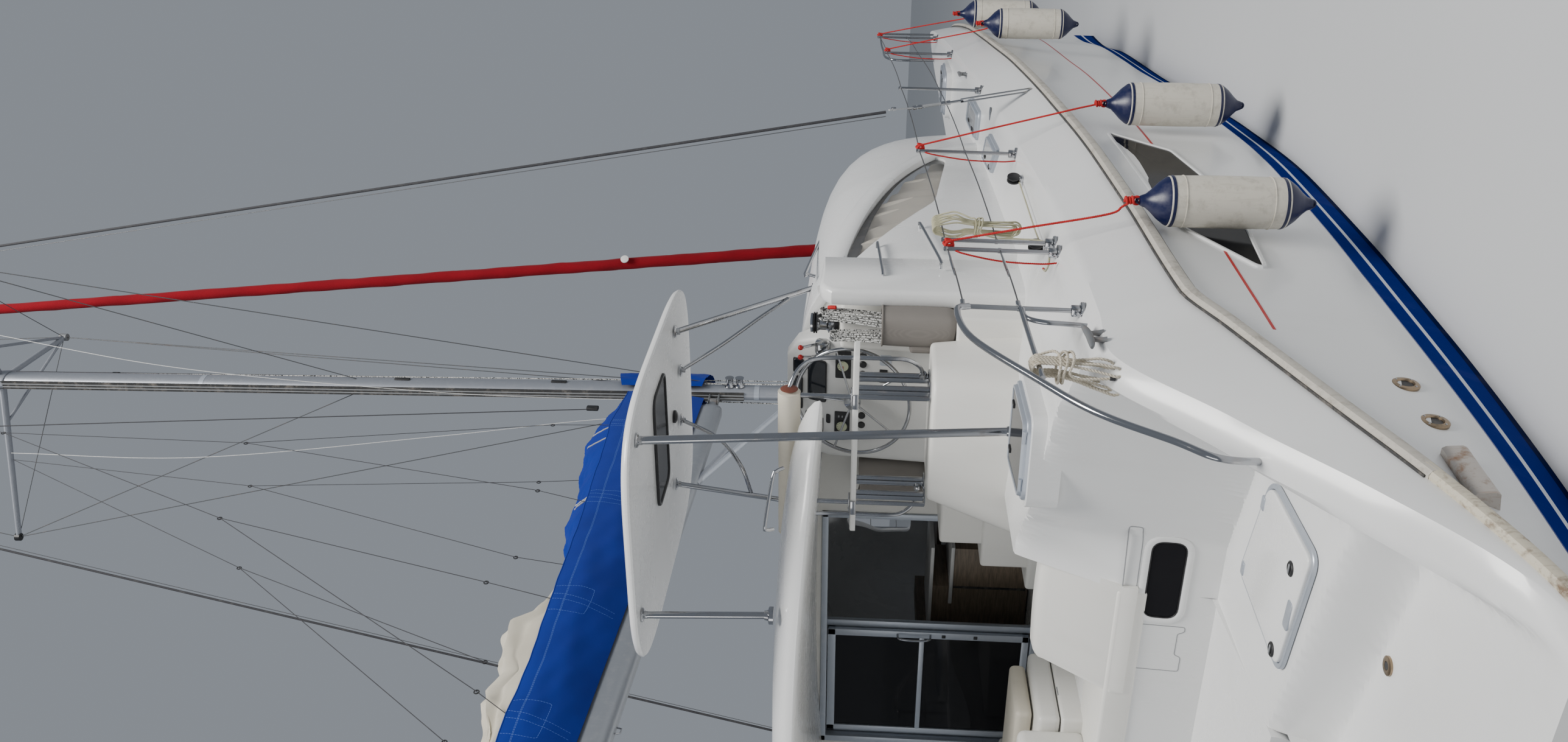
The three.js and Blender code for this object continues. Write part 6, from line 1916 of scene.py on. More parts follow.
        tip, low = SPREADER_TIP, (mast_x(4.05) - 0.02, -0.075, 4.05)
        wire([tip, (hound.x - 0.02, -0.06, HOUNDS_Z - 0.1)], 0.004, "grey_wire")
        wire([tip, low], 0.0045, "grey_wire")
        wire([tip, (mast_x(7.85), -0.075, 7.85)], 0.0045, "grey_wire")
        wire([tip, JUMPER], 0.004, "grey_wire")
        wire([JUMPER, (hound.x + 0.10, -0.02, HOUNDS_Z - 0.3)], 0.004, "grey_wire", False)
        wire([JUMPER, (mast_x(4.4) + 0.115, -0.03, 4.4)], 0.0045, "grey_wire")
        wire([(mast_x(19.3) + 0.15, 0.0, 19.3), (8.26 - AMIDSHIPS, 0.0, 5.0)], 0.005, "rope_dark", False)
        wire([(mast_x(19.2) - 0.10, -0.03, 19.2), (6.89 - AMIDSHIPS, 0.0, 10.96),
              (7.61 - AMIDSHIPS, 0.0, 5.36)], 0.005, "rope_dark", False)
        for k, finish in enumerate(("rope_flecked", "rope_white", "rope_red", "rope_flecked")):
            a = -0.6 + 0.4 * k
            wire([(mast_x(3.5) + 0.14, 0.09 * math.sin(a), 3.4),
                  (mast_x(5.2) + 0.13, 0.085 * math.sin(a), 5.2),
                  (mast_x(12) + 0.125, 0.03 * math.sin(a), 12.0)], 0.006, finish, False)
        wire([(mast_x(4.4) - 0.03, -0.10, 4.3), (mast_x(4.0) - 0.03, -0.11, 3.4)], 0.007, "rope_flecked")
        wires.piece("standing_wires", "yacht", "rigging")

    def make_shrouds(self):
        """Shrouds with their turnbuckles and chain plates"""
        f = FINISH
        hound = Vector((mast_x(HOUNDS_Z), 0, HOUNDS_Z))
        black = f["rope_dark"]
        for name, way in SIDES:
            shroud = Mould()
            top = (hound.x, -0.105, HOUNDS_Z - 0.06)
            foot, chain = (6.540 - AMIDSHIPS, -3.395, 1.99), (6.585 - AMIDSHIPS, -3.462, 1.545)
            run = Vector(top) - Vector(foot)
            up = run.normalized()
            start = Vector(foot)
            shroud.add(tube_along([start + up * 0.62, Vector(top)], 0.0115, 12), black, way)
            shroud.add(tube_along([start + up * 0.62 + Vector((0.0, 0.035, 0)),
                                   Vector(top) + Vector((0, 0.06, 0))], 0.003, 8), f["grey_wire"], way)
            shroud.add(tube_along([start + up * 0.02, start + up * 0.45], 0.010, 14), f["stainless"], way)
            for d, r in ((0.12, 0.017), (0.16, 0.017), (0.34, 0.017), (0.38, 0.017)):
                shroud.add(tube_along([start + up * d, start + up * (d + 0.03)], r, 16), f["stainless"],
                           way)
            shroud.add(tube_along([start + up * 0.15, start + up * 0.37], 0.0125, 14), f["grey_frame"], way)
            plate_at = facing(start + up * 0.50, (0.25, -0.95, 0.1), up)
            shroud.add(plate(rounded_outline([(-0.028, -0.10), (0.028, -0.10), (0.035, 0.10),
                                              (-0.035, 0.10)], 0.02), 0.012, 0.003, plate_at),
                       f["grey_frame"], way)
            shroud.add(turned([(0.02, 0), (0.02, 0.02), (0, 0.021)],
                              start + up * 0.56 + Vector((0, -0.006, 0)), (0, -1, 0)), f["stainless"], way)
            blade = [Vector(chain) + Vector((0.02, -0.005, -0.10)), Vector(chain), start + up * 0.04]
            for offset in (-0.012, 0.012):
                shroud.add(sweep([(a, b + offset, c) for a, b, c in smooth_path(blade, 10)],
                                 [(0.1, -1, 0.1)] * 10, bar(-0.002, 0.002, 0.026)), f["stainless"], way)
            shroud.piece(f"shroud_wire_{name}", "yacht", "rigging", [f"shroud_{name}"])

    def execute(self, context):
        self.make_mast()
        self.make_spreaders()
        self.make_wires()
        self.make_shrouds()
        return {"FINISHED"}


def bag_half_width(s):
    return float(np.interp(s, (2.3, 3.1, 4.4, 5.6, 6.95, 7.76), (0.165, 0.205, 0.225, 0.215, 0.195, 0.140)))


class YACHT_OT_sails(bpy.types.Operator):
    """Boom, canvas sail bag with its stitching, the flaked sail on top and the furled headsail"""
    bl_idname = "yacht.sails"
    bl_label = "Boom and sails"

    def make_boom(self):
        """Boom with its strut, gooseneck and line loops"""
        f = FINISH
        x = -AMIDSHIPS
        boom = Mould()
        rings = []
        for s, k in ((2.25, 0.5), (2.255, 0.86), (2.30, 0.93), (2.36, 1), (7.60, 1), (7.66, 0.92),
                     (7.70, 0.6), (7.79, 0.26), (7.845, 0.24)):
            rings.append([(s + x, 0.075 * k * bulged(math.cos(a), 0.7),
                           boom_z(s) + 0.125 * k * bulged(math.sin(a), 0.85))
                          for a in round_angles(36)])
        boom.add(outward(skin_rings(rings)), f["boom_grey"])
        boom.add(tube_along(between((6.30 + x, 0, boom_z(6.3) - 0.10), (7.84 + x, 0, 3.44)), 0.027, 20),
                 f["silver_frame"])
        boom.add(tube_along(between((6.30 + x, 0, boom_z(6.3) - 0.10), (6.9 + x, 0, 3.95)), 0.034, 20),
                 f["anodised"])
        goose = (7.84 + x, 0, boom_z(7.84))
        boom.add(turned([(0.030, -0.036), (0.034, -0.03), (0.034, 0.03), (0.030, 0.036)], goose),
                 f["cast_grey"])
        for s in (2.55, 3.2, 4.4):
            boom.add(tube_along([(s - 0.03 + x, 0, boom_z(s) - 0.125), (s - 0.02 + x, 0, boom_z(s) - 0.16),
                                 (s + 0.02 + x, 0, boom_z(s) - 0.16), (s + 0.03 + x, 0, boom_z(s) - 0.125)],
                                0.006, 8), f["stainless"])
        boom.piece("boom_tube", "boom", "anodised", ["boom"])

    def make_bag(self):
        """Sail bag panels with pockets and stitching, and the cover between them"""
        f = FINISH
        x = -AMIDSHIPS
        tops, covers = np.array(BAG_TOP), np.array(COVER_TOP)
        stations = np.arange(2.33, 7.765, 0.035)

        def side_point(s, t):
            """Point on the starboard panel, from the boom (t 0) to its top edge (t 1)."""
            low, high = boom_z(s) + 0.075, float(np.interp(s, tops[:, 0], tops[:, 1]))
            z = low + (high - low) * t
            wide = 0.082 + (bag_half_width(s) - 0.082) * math.sin(min(t * 1.25, 1) * math.pi / 2)
            wide += 0.008 * ripple(s * 0.5, t * 2) * math.sin(math.pi * t) - 0.072 * max(0, t - 0.9)
            return (s + x, -wide, z + 0.006 * ripple(s * 0.8, 1.7) * t)

        for name, way in SIDES:
            panel_rows = [[side_point(s, t) for t in np.linspace(0, 1, 26)] for s in stations]
            bag = Mould().add(cloth(panel_rows, 0.003), f["canvas"], way)
            bag.add(tube_along([side_point(s, 1.0) for s in stations], 0.006, 8), f["canvas"], way)
            if way < 0:
                lines = [[side_point(s, t) for s in stations] for t in (0.80, 0.815)]
                for s0, wide in ((3.09, 0.17), (4.33, 0.16), (5.73, 0.10), (7.03, 0.07)):
                    pocket = [(s0 - wide, 0.97), (s0 - wide * 1.1, 0.55), (s0 - wide * 0.8, 0.47),
                              (s0 + wide * 0.6, 0.45), (s0 + wide * 0.8, 0.52), (s0 + wide * 0.75, 0.97)]
                    flat = smooth_path([(a, b, 0) for a, b in pocket], 60)
                    lines.append([side_point(a, b) for a, b, _ in flat])
                    lines += [[side_point(s0 + d - 0.55 * wide * (0.97 - t), t)
                               for t in np.linspace(0.97, 0.12, 30)] for d in (-0.03, 0.03)]
                for line in lines:
                    raised = [(p[0], p[1] - 0.0025, p[2]) for p in line]
                    bag.add(grow_line(raised, "stitches", f["thread"], Spacing=0.020, Bar=0.014,
                                      Thread=0.0026), f["thread"])
            obj = bag.piece(f"bag_panel_{name}", "boom", "blue_cloth", ["sail_bag"] if way < 0 else (),
                            crease=50)
        rows = []
        for s in np.arange(4.66, 7.765, 0.03):
            top = float(np.interp(s, covers[:, 0], covers[:, 1]))
            edge = float(np.interp(s, tops[:, 0], tops[:, 1])) - 0.05
            half = bag_half_width(s) - 0.012
            row = []
            for t in np.linspace(-1, 1, 41):
                rise = (1 - abs(t) ** 1.7)
                fold = 0.022 * ripple(s * 1.4 + 0.5 * t,
                                      t * 1.3) * (1 - abs(t)) + 0.012 * ripple(t * 1.2,
                                                                               s * 2) * (1 - abs(t))
                row.append((s + x, half * t * (1 - 0.1 * rise), edge + (top - edge) * rise + fold))
            rows.append(row)
        cover = Mould().add(cloth(rows, -0.003), f["canvas"])
        for s0, lean in ((5.73, 0.02), (5.81, -0.03), (6.75, 0.03), (7.01, 0.0)):
            k = int(np.argmin([abs(r[0][0] - x - s0) for r in rows]))
            strap = [(p[0] + lean * (1 - t), p[1], p[2] + 0.007) for t,
                     p in zip(np.linspace(0, 1, 14), rows[k][1:15])]
            cover.add(sweep(strap, [(0, -0.6, 1)] * len(strap), bar(-0.004, 0.002, 0.010)), f["webbing"])
        obj = cover.piece("bag_cover", "boom", "blue_cloth", crease=60)

    def make_stowed_sail(self):
        """Mainsail folded on the boom"""
        f = FINISH
        x = -AMIDSHIPS
        rows = []
        for s in np.arange(2.36, 4.80, 0.022):
            peak = float(np.interp(s, (2.36, 2.98, 3.42, 3.60, 3.74, 4.11, 4.21, 4.32, 4.74, 4.8),
                                   (5.08, 5.11, 5.24, 5.15, 5.24, 5.30, 5.12, 5.06, 4.99, 4.95)))
            row = []
            half = bag_half_width(s) - 0.03
            folds = 3
            for t in np.linspace(0, 1, 78):
                a = t * math.pi
                swing = math.cos(a)
                z = 4.86 + (peak - 4.86) * math.sin(a) ** 0.8
                pleat = 0.045 * math.sin(2 * math.pi * folds * t + 3.0 * s + 1.2 * math.sin(4 * s))
                row.append((s + x + 0.03 * math.sin(11 * t + 4 * s),
                            -half * swing + pleat * math.sin(a) * 0.8,
                            z + 0.022 * ripple(s * 1.1, t * 4) * math.sin(a)
                            - 0.05 * abs(math.sin(2 * math.pi * folds * t + s)) * math.sin(a)))
            rows.append(row)
        sail = Mould().add(cloth(rows, 0.0025), f["sailcloth"])
        obj = sail.piece("stowed_sail", "boom", "sailcloth", ["mainsail"], crease=40)

    def make_collar(self):
        """Cloth gathered round the mast"""
        f = FINISH
        collar = Mould()
        rows = []
        for t in np.linspace(0, 1, 40):
            a = math.radians(-132 + 264 * t)
            row = []
            for k in np.linspace(0, 1, 18):
                z = 4.22 + 0.10 * abs(1 - 2 * t) + (0.80 + 0.14 * math.sin(math.pi * t)) * k
                r = 0.165 + 0.012 * ripple(t * 3, k * 3) + 0.01 * math.sin(math.pi * k)
                row.append((mast_x(z) + 0.02 + r * math.cos(a) * 1.1, r * math.sin(a) * 0.85, z))
            rows.append(row)
        collar.add(cloth(rows, 0.003), f["canvas"])
        obj = collar.piece("mast_collar", "yacht", "blue_cloth", crease=60)

    def make_headsail(self):
        """Furled headsail on its drum"""
        f = FINISH
        foot, top = at(12.48, 0, 1.7702), Vector((mast_x(HOUNDS_Z) + 0.118, 0, HOUNDS_Z))
        way = (top - foot).normalized()
        along = way.rotation_difference(Vector((0, 0, 1))).inverted().to_matrix()
        length = (top - foot).length
        rings = []
        for t in np.linspace(0.0185, 0.997, 420):
            r = float(np.interp(t, (0.018, 0.03, 0.09, 0.3, 0.6, 0.9, 0.965, 0.998),
                                (0.036, 0.070, 0.078, 0.070, 0.058, 0.044, 0.028, 0.017)))
            phase = t * 90
            ring = []
            for a in round_angles(30):
                lip = 0.06 * (((a - phase) / (2 * math.pi)) % 1.0) ** 3
                wave = 0.03 * math.sin(a * 2 + t * 160) + 0.02 * math.sin(a * 3 - t * 310)
                rr = r * (0.95 + lip + wave)
                ring.append(tuple(foot + way * (t * length)
                                  + along @ Vector((rr * math.cos(a), rr * math.sin(a), 0))))
            rings.append(ring)
        genoa = Mould().add(outward(skin_rings(rings)), f["headsail"])
        spot = foot + way * (0.222 * length)
        genoa.add(turned([(0.05, 0), (0.05, 0.015), (0.02, 0.02), (0, 0.02)],
                         spot + Vector((-0.07, -0.085, 0)), (-0.6, -0.8, 0)), f["moulded"])
        genoa.piece("headsail_roll", "yacht", "red_cloth", ["furled_genoa"], crease=50)
        drum = Mould()
        for t0, t1, r in ((0.0, 0.018, 0.021), (0.0045, 0.0055, 0.095), (0.0095, 0.0105, 0.095),
                          (0.003, 0.012, 0.05)):
            drum.add(tube_along(between(foot + way * t0 * length, foot + way * t1 * length), r, 28),
                     f["black_plastic"] if r > 0.06 else f["stainless"])
        for k in range(9):
            mid = foot + way * (0.0058 + 0.0004 * k) * length
            ring = [tuple(mid + along @ Vector((0.058 * math.cos(a), 0.058 * math.sin(a), 0)))
                    for a in round_angles(24)]
            drum.add(tube_along(ring, 0.005, 8, closed=True), f["rope_white"])
        drum.piece("furler", "yacht", "anodised", ["forestay_drum"])

    def execute(self, context):
        self.make_boom()
        self.make_bag()
        self.make_stowed_sail()
        self.make_collar()
        self.make_headsail()
        return {"FINISHED"}


# Guardrails, deck gear and fenders

# Station and distance from the centreline of each stanchion
STANCHIONS = ((2.62, 3.385), (3.48, 3.352), (3.64, 3.345), (5.53, 3.290), (7.70, 3.190), (10.15, 2.950),
              (11.85, 2.755))
PUSHPIT = ((1.300, 3.330, 1.08), (1.240, 3.372, 1.31), (1.345, 3.385, 1.471), (1.554, 3.392, 1.748),
           (1.843, 3.396, 1.965), (2.230, 3.398, 2.211), (2.560, 3.390, 2.262), (2.622, 3.385, 2.20))
BOW_RAIL = ((11.85, 2.755, 2.648), (12.15, 2.715, 2.655), (12.40, 2.680, 2.620), (12.76, 2.570, 2.630),
            (12.50, 2.470, 2.600), (12.10, 2.440, 2.500), (12.08, 2.440, 1.900))


def post_top(station):
    return 1.64 + 0.045 * (station - 4.5) + (0.68 if station < 4 else 0.69)


def outboard(points):
    return [at(s, -y, z) for s, y, z in points]


def lid_frame(corners, level, radius=0.07):
    """Hatch in three shapes: outer frame, lid rim and glass."""
    outline = rounded_outline([(s - AMIDSHIPS, -y) for s, y in corners], radius, 6)

    def place(a, b, out):
        return (a, b, level(a + AMIDSHIPS, -b) + out)

    base = rim(inset(outline, 0.012), place, 0.026, 0.020, 0.012)
    lid_rim = rim(inset(outline, 0.030), place, 0.024, 0.040, 0.0)
    glass = patch(inset(outline, 0.028), place, 0.036, 0.002, 0.003)
    return base, lid_rim, glass, place


def latch(place, s, y):
    spot = Vector(place(s - AMIDSHIPS, -y, 0.036))
    return box_at(spot, (-0.030, -0.014, -0.004), (0.030, 0.014, 0.007), 0.006)


def cleat(foot, along, size=0.24):
    """Two-legged horn cleat."""
    way = Vector(along).normalized()
    foot = Vector(foot)
    up = Vector((0, 0, 1))
    horn = [foot + way * (t * size / 2) + up * (0.060 + 0.012 * abs(t) ** 2)
            for t in np.linspace(-1, 1, 17)]
    shapes = [tube_along(horn, [0.007 + 0.011 * (1 - abs(t) ** 3) for t in np.linspace(-1, 1, 17)], 14)]
    for k in (-1, 1):
        leg = [foot + way * (k * 0.045) - up * 0.01, foot + way * (k * 0.040) + up * 0.03,
               foot + way * (k * 0.03) + up * 0.062]
        shapes.append(tube_along(smooth_path(leg, 8),
                                 [0.018, 0.016, 0.014, 0.013, 0.012, 0.012, 0.013, 0.014], 12))
    return shapes


def knot(head, radius, rope, turns=2, axis=(1, 0, 0)):
    """Round turn and a crossing of rope about a tube's head."""
    head, axis = Vector(head), Vector(axis).normalized()
    side = axis.orthogonal().normalized()
    other = axis.cross(side)
    path = []
    for t in np.linspace(0, turns * 2 * math.pi, 26 * turns):
        r = radius + rope * (1 + 0.25 * math.sin(t * 0.5))
        path.append(head + axis * (rope * 2.1 * (t / (2 * math.pi) - turns / 2)) + side * (r * math.cos(t))
                    + other * (r * math.sin(t)))
    return path


class YACHT_OT_rails(bpy.types.Operator):
    """Guardrails with their lifelines, cleats, blocks, deck hatches and their lids"""
    bl_idname = "yacht.rails"
    bl_label = "Guardrails and deck gear"

    def execute(self, context):
        f = FINISH
        for name, side in SIDES:
            rail = Mould()

            def add(shape, finish="stainless"):
                rail.add(shape, f[finish], side)

            add(tube_along(smooth_path(outboard(PUSHPIT), 90), 0.0160, 18))
            add(tube_along(smooth_path(outboard(BOW_RAIL), 90), 0.0140, 16))
            add(tube_along(outboard([(1.843, 3.396, 1.930), (2.62, 3.385, 1.952)]), 0.0125, 16))
            drop = [(2.600, 3.386, 1.945), (2.50, 3.386, 1.935), (2.455, 3.385, 1.86), (2.450, 3.380, 1.75),
                    (2.445, 3.372, 1.60)]
            add(tube_along(smooth_path(outboard(drop), 40), 0.0125, 16))
            add(tube_along(outboard([(12.40, 2.672, 1.9), (12.40, 2.676, 2.63)]), 0.0125, 14))
            for s, y in STANCHIONS:
                foot = Vector(on_deck(s, y - 0.010))
                head = Vector(at(s, -y, post_top(s)))
                add(tube_along([foot - Vector((0, 0, 0.02)), head], 0.0125, 18))
                add(turned([(0.0135, -0.01), (0.0150, 0.0), (0.0145, 0.008), (0.009, 0.013), (0, 0.014)],
                           head))
                add(box_at(foot, (-0.024, -0.024, -0.012), (0.024, 0.024, 0.050), 0.006, 2))
                add(turned([(0.045, -0.01), (0.045, 0.003), (0.040, 0.006), (0, 0.006)], foot))
                eye = foot + Vector((-0.028, 0, 0.02))
                ring = [tuple(eye + Vector((-0.012 + 0.014 * math.cos(a), 0, 0.014 * math.sin(a))))
                        for a in round_angles(16)]
                add(tube_along(ring, 0.003, 6, closed=True))
                mid = foot.lerp(head, 0.52)
                add(turned([(0.0155, -0.008), (0.0155, 0.008)], mid, head - foot))
            for share in (0.985, 0.52):
                posts = [(s, y, post_top(s) - (post_top(s) - float(on_deck(s, y)[2])) * (1 - share))
                         for s, y in STANCHIONS]
                for (s, y, z), (s1, y1, z1) in zip(posts[:-1], posts[1:]):
                    if s == 3.48:
                        continue
                    a, b = Vector(at(s, -y, z)), Vector(at(s1, -y1, z1))
                    sag = [tuple(a.lerp(b, t) - Vector((0, 0, 0.006 * (b - a).length * 4 * t * (1 - t))))
                           for t in np.linspace(0, 1, 12)]
                    add(tube_along(sag, 0.0042, 8), "grey_wire")
                    if s == 2.62:
                        for u0, u1, r in ((0.62, 0.80, 0.0075), (0.80, 0.93, 0.0055), (0.52, 0.62, 0.0055)):
                            add(tube_along([a.lerp(b, u0), a.lerp(b, u1)], r, 12))
                        link = a.lerp(b, 0.06)
                        add(box_at(link, (-0.03, -0.008, -0.012), (0.03, 0.008, 0.012), 0.006))
            for shape in cleat(on_deck(2.19, 3.44), (1, 0.05, 0.02), 0.27):
                add(shape, "cast_grey")
            for shape in cleat(on_deck(8.75, 3.07), (1, 0.1, 0), 0.24):
                add(shape, "cast_grey")
            for s, y in ((3.80, 3.26), (5.10, 3.24)):
                spot = Vector(on_deck(s, y))
                axle = Vector((0.35, 1, 0)).normalized()
                for k in (-1, 1):
                    add(turned([(0.038, 0), (0.044, 0.004), (0.044, 0.012), (0.036, 0.016), (0, 0.016)],
                               spot + Vector((0, 0, 0.062)) + axle * (k * 0.014 - 0.008), axle, 24),
                        "black_plastic")
                add(turned([(0.026, -0.010), (0.022, 0), (0.026, 0.010)], spot + Vector((0, 0, 0.062)),
                           axle, 20), "cast_grey")
                add(box_at(spot, (-0.03, -0.02, -0.01), (0.03, 0.02, 0.028), 0.008))
            add(turned([(0.028, 0), (0.026, 0.004), (0.014, 0.006), (0, 0.006)], on_deck(3.64, 3.24)))
            line = [on_deck(s, y, 0.028) for s,
                    y in ((5.07, 3.225), (4.6, 3.21), (4.15, 3.225), (3.84, 3.25))]
            rail.add(grow_line(smooth_path(line, 60), "rope", f["rope_olive"], Radius=0.0055, Pitch=0.03,
                               Step=0.01), f["rope_olive"], side)
            rail.piece(f"guardrail_run_{name}", "yacht", "stainless", [f"guardrail_{name}"])

            hatches = Mould()
            base, lid_rim, glass, place = lid_frame([(2.53, 2.33), (3.10, 2.25), (3.10, 2.75),
                                                     (2.55, 2.78)], lambda a, b: 1.852)
            hatches.add(base, f["silver_frame"], side)
            plinth = rounded_outline([(2.49 - AMIDSHIPS, -2.29), (3.14 - AMIDSHIPS, -2.20),
                                      (3.14 - AMIDSHIPS, -2.80), (2.50 - AMIDSHIPS, -2.82)], 0.09, 6)
            hatches.add(patch(plinth, lambda a, b, out: (a, b, 1.848 + out), 0.004, 0.16, 0.003),
                        f["gelcoat"], side)
            lid = Mould().add(lid_rim, f["silver_frame"], side).add(glass, f["dark_glass"], side)
            for s, y in ((3.02, 2.36), (3.02, 2.64)):
                lid.add(latch(place, s, y), f["black_plastic"], side)
            for y in (2.42, 2.70):
                spot = Vector(place(2.545 - AMIDSHIPS, -y, 0.030))
                lid.add(tube_along([spot - Vector((0, 0.035, 0)), spot + Vector((0, 0.035, 0))], 0.011, 14),
                        f["silver_frame"], side)
            lid.piece(f"aft_hatch_lid_{name}", f"aft_deck_hatch_{name}", "dark_glass",
                      [f"aft_deck_hatch_{name}"])

            base, lid_rim, glass, place = lid_frame([(9.90, 2.37), (10.50, 2.37), (10.50, 2.77),
                                                     (9.90, 2.77)], lambda a, b: 1.952)
            hatches.add(base, f["silver_frame"], side)
            plinth = rounded_outline([(9.86 - AMIDSHIPS, -2.33), (10.54 - AMIDSHIPS, -2.33),
                                      (10.54 - AMIDSHIPS, -2.81), (9.86 - AMIDSHIPS, -2.81)], 0.09, 6)
            hatches.add(patch(plinth, lambda a, b, out: (a, b, 1.949 + out), 0.003, 0.10, 0.003),
                        f["gelcoat"], side)
            lid = Mould().add(lid_rim, f["silver_frame"], side).add(glass, f["dark_glass"], side)
            for s in (10.02, 10.38):
                lid.add(latch(place, s, 2.70), f["black_plastic"], side)
            lid.piece(f"fore_hatch_lid_{name}", f"fore_deck_hatch_{name}", "dark_glass",
                      [f"fore_deck_hatch_{name}"])

            def deck_level(a, b):
                return float(on_deck(a, b)[2]) + 0.003

            for corners in (((6.43, 2.86), (6.89, 2.83), (6.75, 3.07), (6.21, 3.09)),
                            ((7.45, 2.82), (8.15, 2.80), (8.10, 3.02), (7.45, 3.05))):
                base, lid_rim, glass, place = lid_frame(corners, deck_level, 0.05)
                hatches.add(base, f["silver_frame"], side).add(lid_rim, f["silver_frame"],
                                                               side).add(glass, f["pane"], side)
                mid = np.mean(np.array(corners), axis=0)
                for d in (-0.14, 0.14):
                    hatches.add(latch(place, mid[0] + d, mid[1] - 0.06), f["black_plastic"], side)
            ring = turned([(0.055, -0.004), (0.055, 0.003), (0.048, 0.005), (0, 0.005)],
                          on_deck(6.95, 3.18))
            hatches.add(ring, f["stainless"], side)
            hatches.piece(f"deck_hatch_frames_{name}", "yacht", "anodised")
        return {"FINISHED"}


# Each fender: station, y, height of its foot, radius, number of its stanchion
FENDERS = ((3.260, 3.728, 0.450, 0.132, 1), (5.300, 3.705, 0.300, 0.138, 3),
           (9.250, 3.440, 0.810, 0.138, 5), (10.50, 3.290, 0.960, 0.138, 6))


class YACHT_OT_fenders(bpy.types.Operator):
    """Four fenders with their red lines, round turns and tails on the stanchions"""
    bl_idname = "yacht.fenders"
    bl_label = "Fenders"

    def execute(self, context):
        f = FINISH
        red = f["rope_red"]
        for i, (s, y, low, r, post) in enumerate(FENDERS):
            made = Mould()
            foot = Vector(at(s, -y, low))
            bulge = 0.004
            body = [(r + bulge * math.sin(math.pi * t), 0.15 + 0.54 * t) for t in np.linspace(0.1, 0.9, 9)]
            made.add(turned([(0.03, 0.03), (r * 0.985, 0.125), (r, 0.15), *body, (r, 0.69),
                             (r * 0.985, 0.715), (0.03, 0.80)], foot, sides=40), f["fender_white"])
            for way, base in ((1, 0.0), (-1, 0.84)):
                cone = [(0.012, -0.018), (0.026, -0.015), (0.032, 0.0), (0.036, 0.012), (r * 0.45, 0.040),
                        (r * 0.72, 0.075), (r * 0.93, 0.112), (r * 1.012, 0.138), (r * 1.012, 0.146),
                        (r * 0.98, 0.148)]
                profile = [(a, base + way * b) for a, b in (cone if way > 0 else cone[::-1])]
                made.add(turned(profile, foot, sides=40), f["fender_navy"])
                ring = [tuple(foot + Vector((0, 0.017 * math.cos(a),
                                             base - way * 0.014 + 0.017 * math.sin(a))))
                        for a in round_angles(20)]
                made.add(tube_along(ring, 0.008, 10, closed=True), f["fender_navy"])
            for k in (0.20, 0.64):
                made.add(turned([(r + 0.0035, k), (r + 0.0045, k + 0.003), (r + 0.0035, k + 0.006)], foot,
                                sides=40), f["fender_white"])
            ps, py = STANCHIONS[post]
            head = Vector(at(ps, -py, post_top(ps)))
            eye = foot + Vector((0, 0, 0.862))
            knot_at = Vector(at(ps + 0.055, -py - 0.004, post_top(ps) - 0.018))
            edge = Vector(at(s + (ps - s) * 0.3, -float(side_y(np.float64(s), np.float64(1.45))) - 0.02,
                             1.45 + 0.03 * (s - 3)))
            edge = Vector(at(s + (ps - s) * 0.25,
                             min(-y + 0.10, -float(side_y(np.float64(s), np.float64(1.5))) - 0.016),
                             edge.z))
            fall = smooth_path([knot_at + Vector((0.01, -0.018, 0.0)),
                                knot_at.lerp(edge, 0.5) + Vector((0, -0.012, 0)), edge,
                                edge.lerp(eye, 0.5) + Vector((0, -0.006, 0)), eye + Vector((0, 0, 0.03))],
                               90)
            made.add(grow_line(fall, "rope", red, Radius=0.0075, Pitch=0.035, Step=0.008), red)
            loop = [tuple(eye + Vector((0.0, 0.020 * math.sin(a), -0.010 + 0.040 * (1 - math.cos(a)) / 2)))
                    for a in round_angles(22)]
            made.add(tube_along(loop, 0.0075, 10, closed=True), red)
            made.add(tube_along(smooth_path(knot(eye + Vector((0, 0, 0.045)), 0.009, 0.0075, 3,
                                                 (0.1, 0.1, 1)), 70), 0.0072, 10), red)
            made.add(tube_along(smooth_path(knot(knot_at, 0.012, 0.0085, 3, (1, 0.05, 0.1)), 80), 0.0078,
                                10), red)
            made.add(tube_along(smooth_path(knot(knot_at + Vector((0.0, -0.012, 0.004)), 0.016, 0.008, 1,
                                                 (0.2, 1, 0.1)), 40), 0.0078, 10), red)
            foot_of = Vector(on_deck(ps - 0.10, py - 0.03, 0.009))
            tail = smooth_path([knot_at + Vector((-0.015, 0.012, 0)), head + Vector((-0.045, 0.010, -0.10)),
                                head.lerp(foot_of, 0.5) + Vector((-0.03, 0.02, 0)),
                                head.lerp(foot_of, 0.85) + Vector((-0.02, 0.01, 0)), foot_of], 60)
            made.add(grow_line(tail, "rope", red, Radius=0.0065, Pitch=0.035, Step=0.01), red)
            made.piece(f"fender_hung_{i + 1}", "yacht", "fender_vinyl", [f"fender_{i + 1}"])
        return {"FINISHED"}


# Ropes

UP = Vector((0, 0, 1))


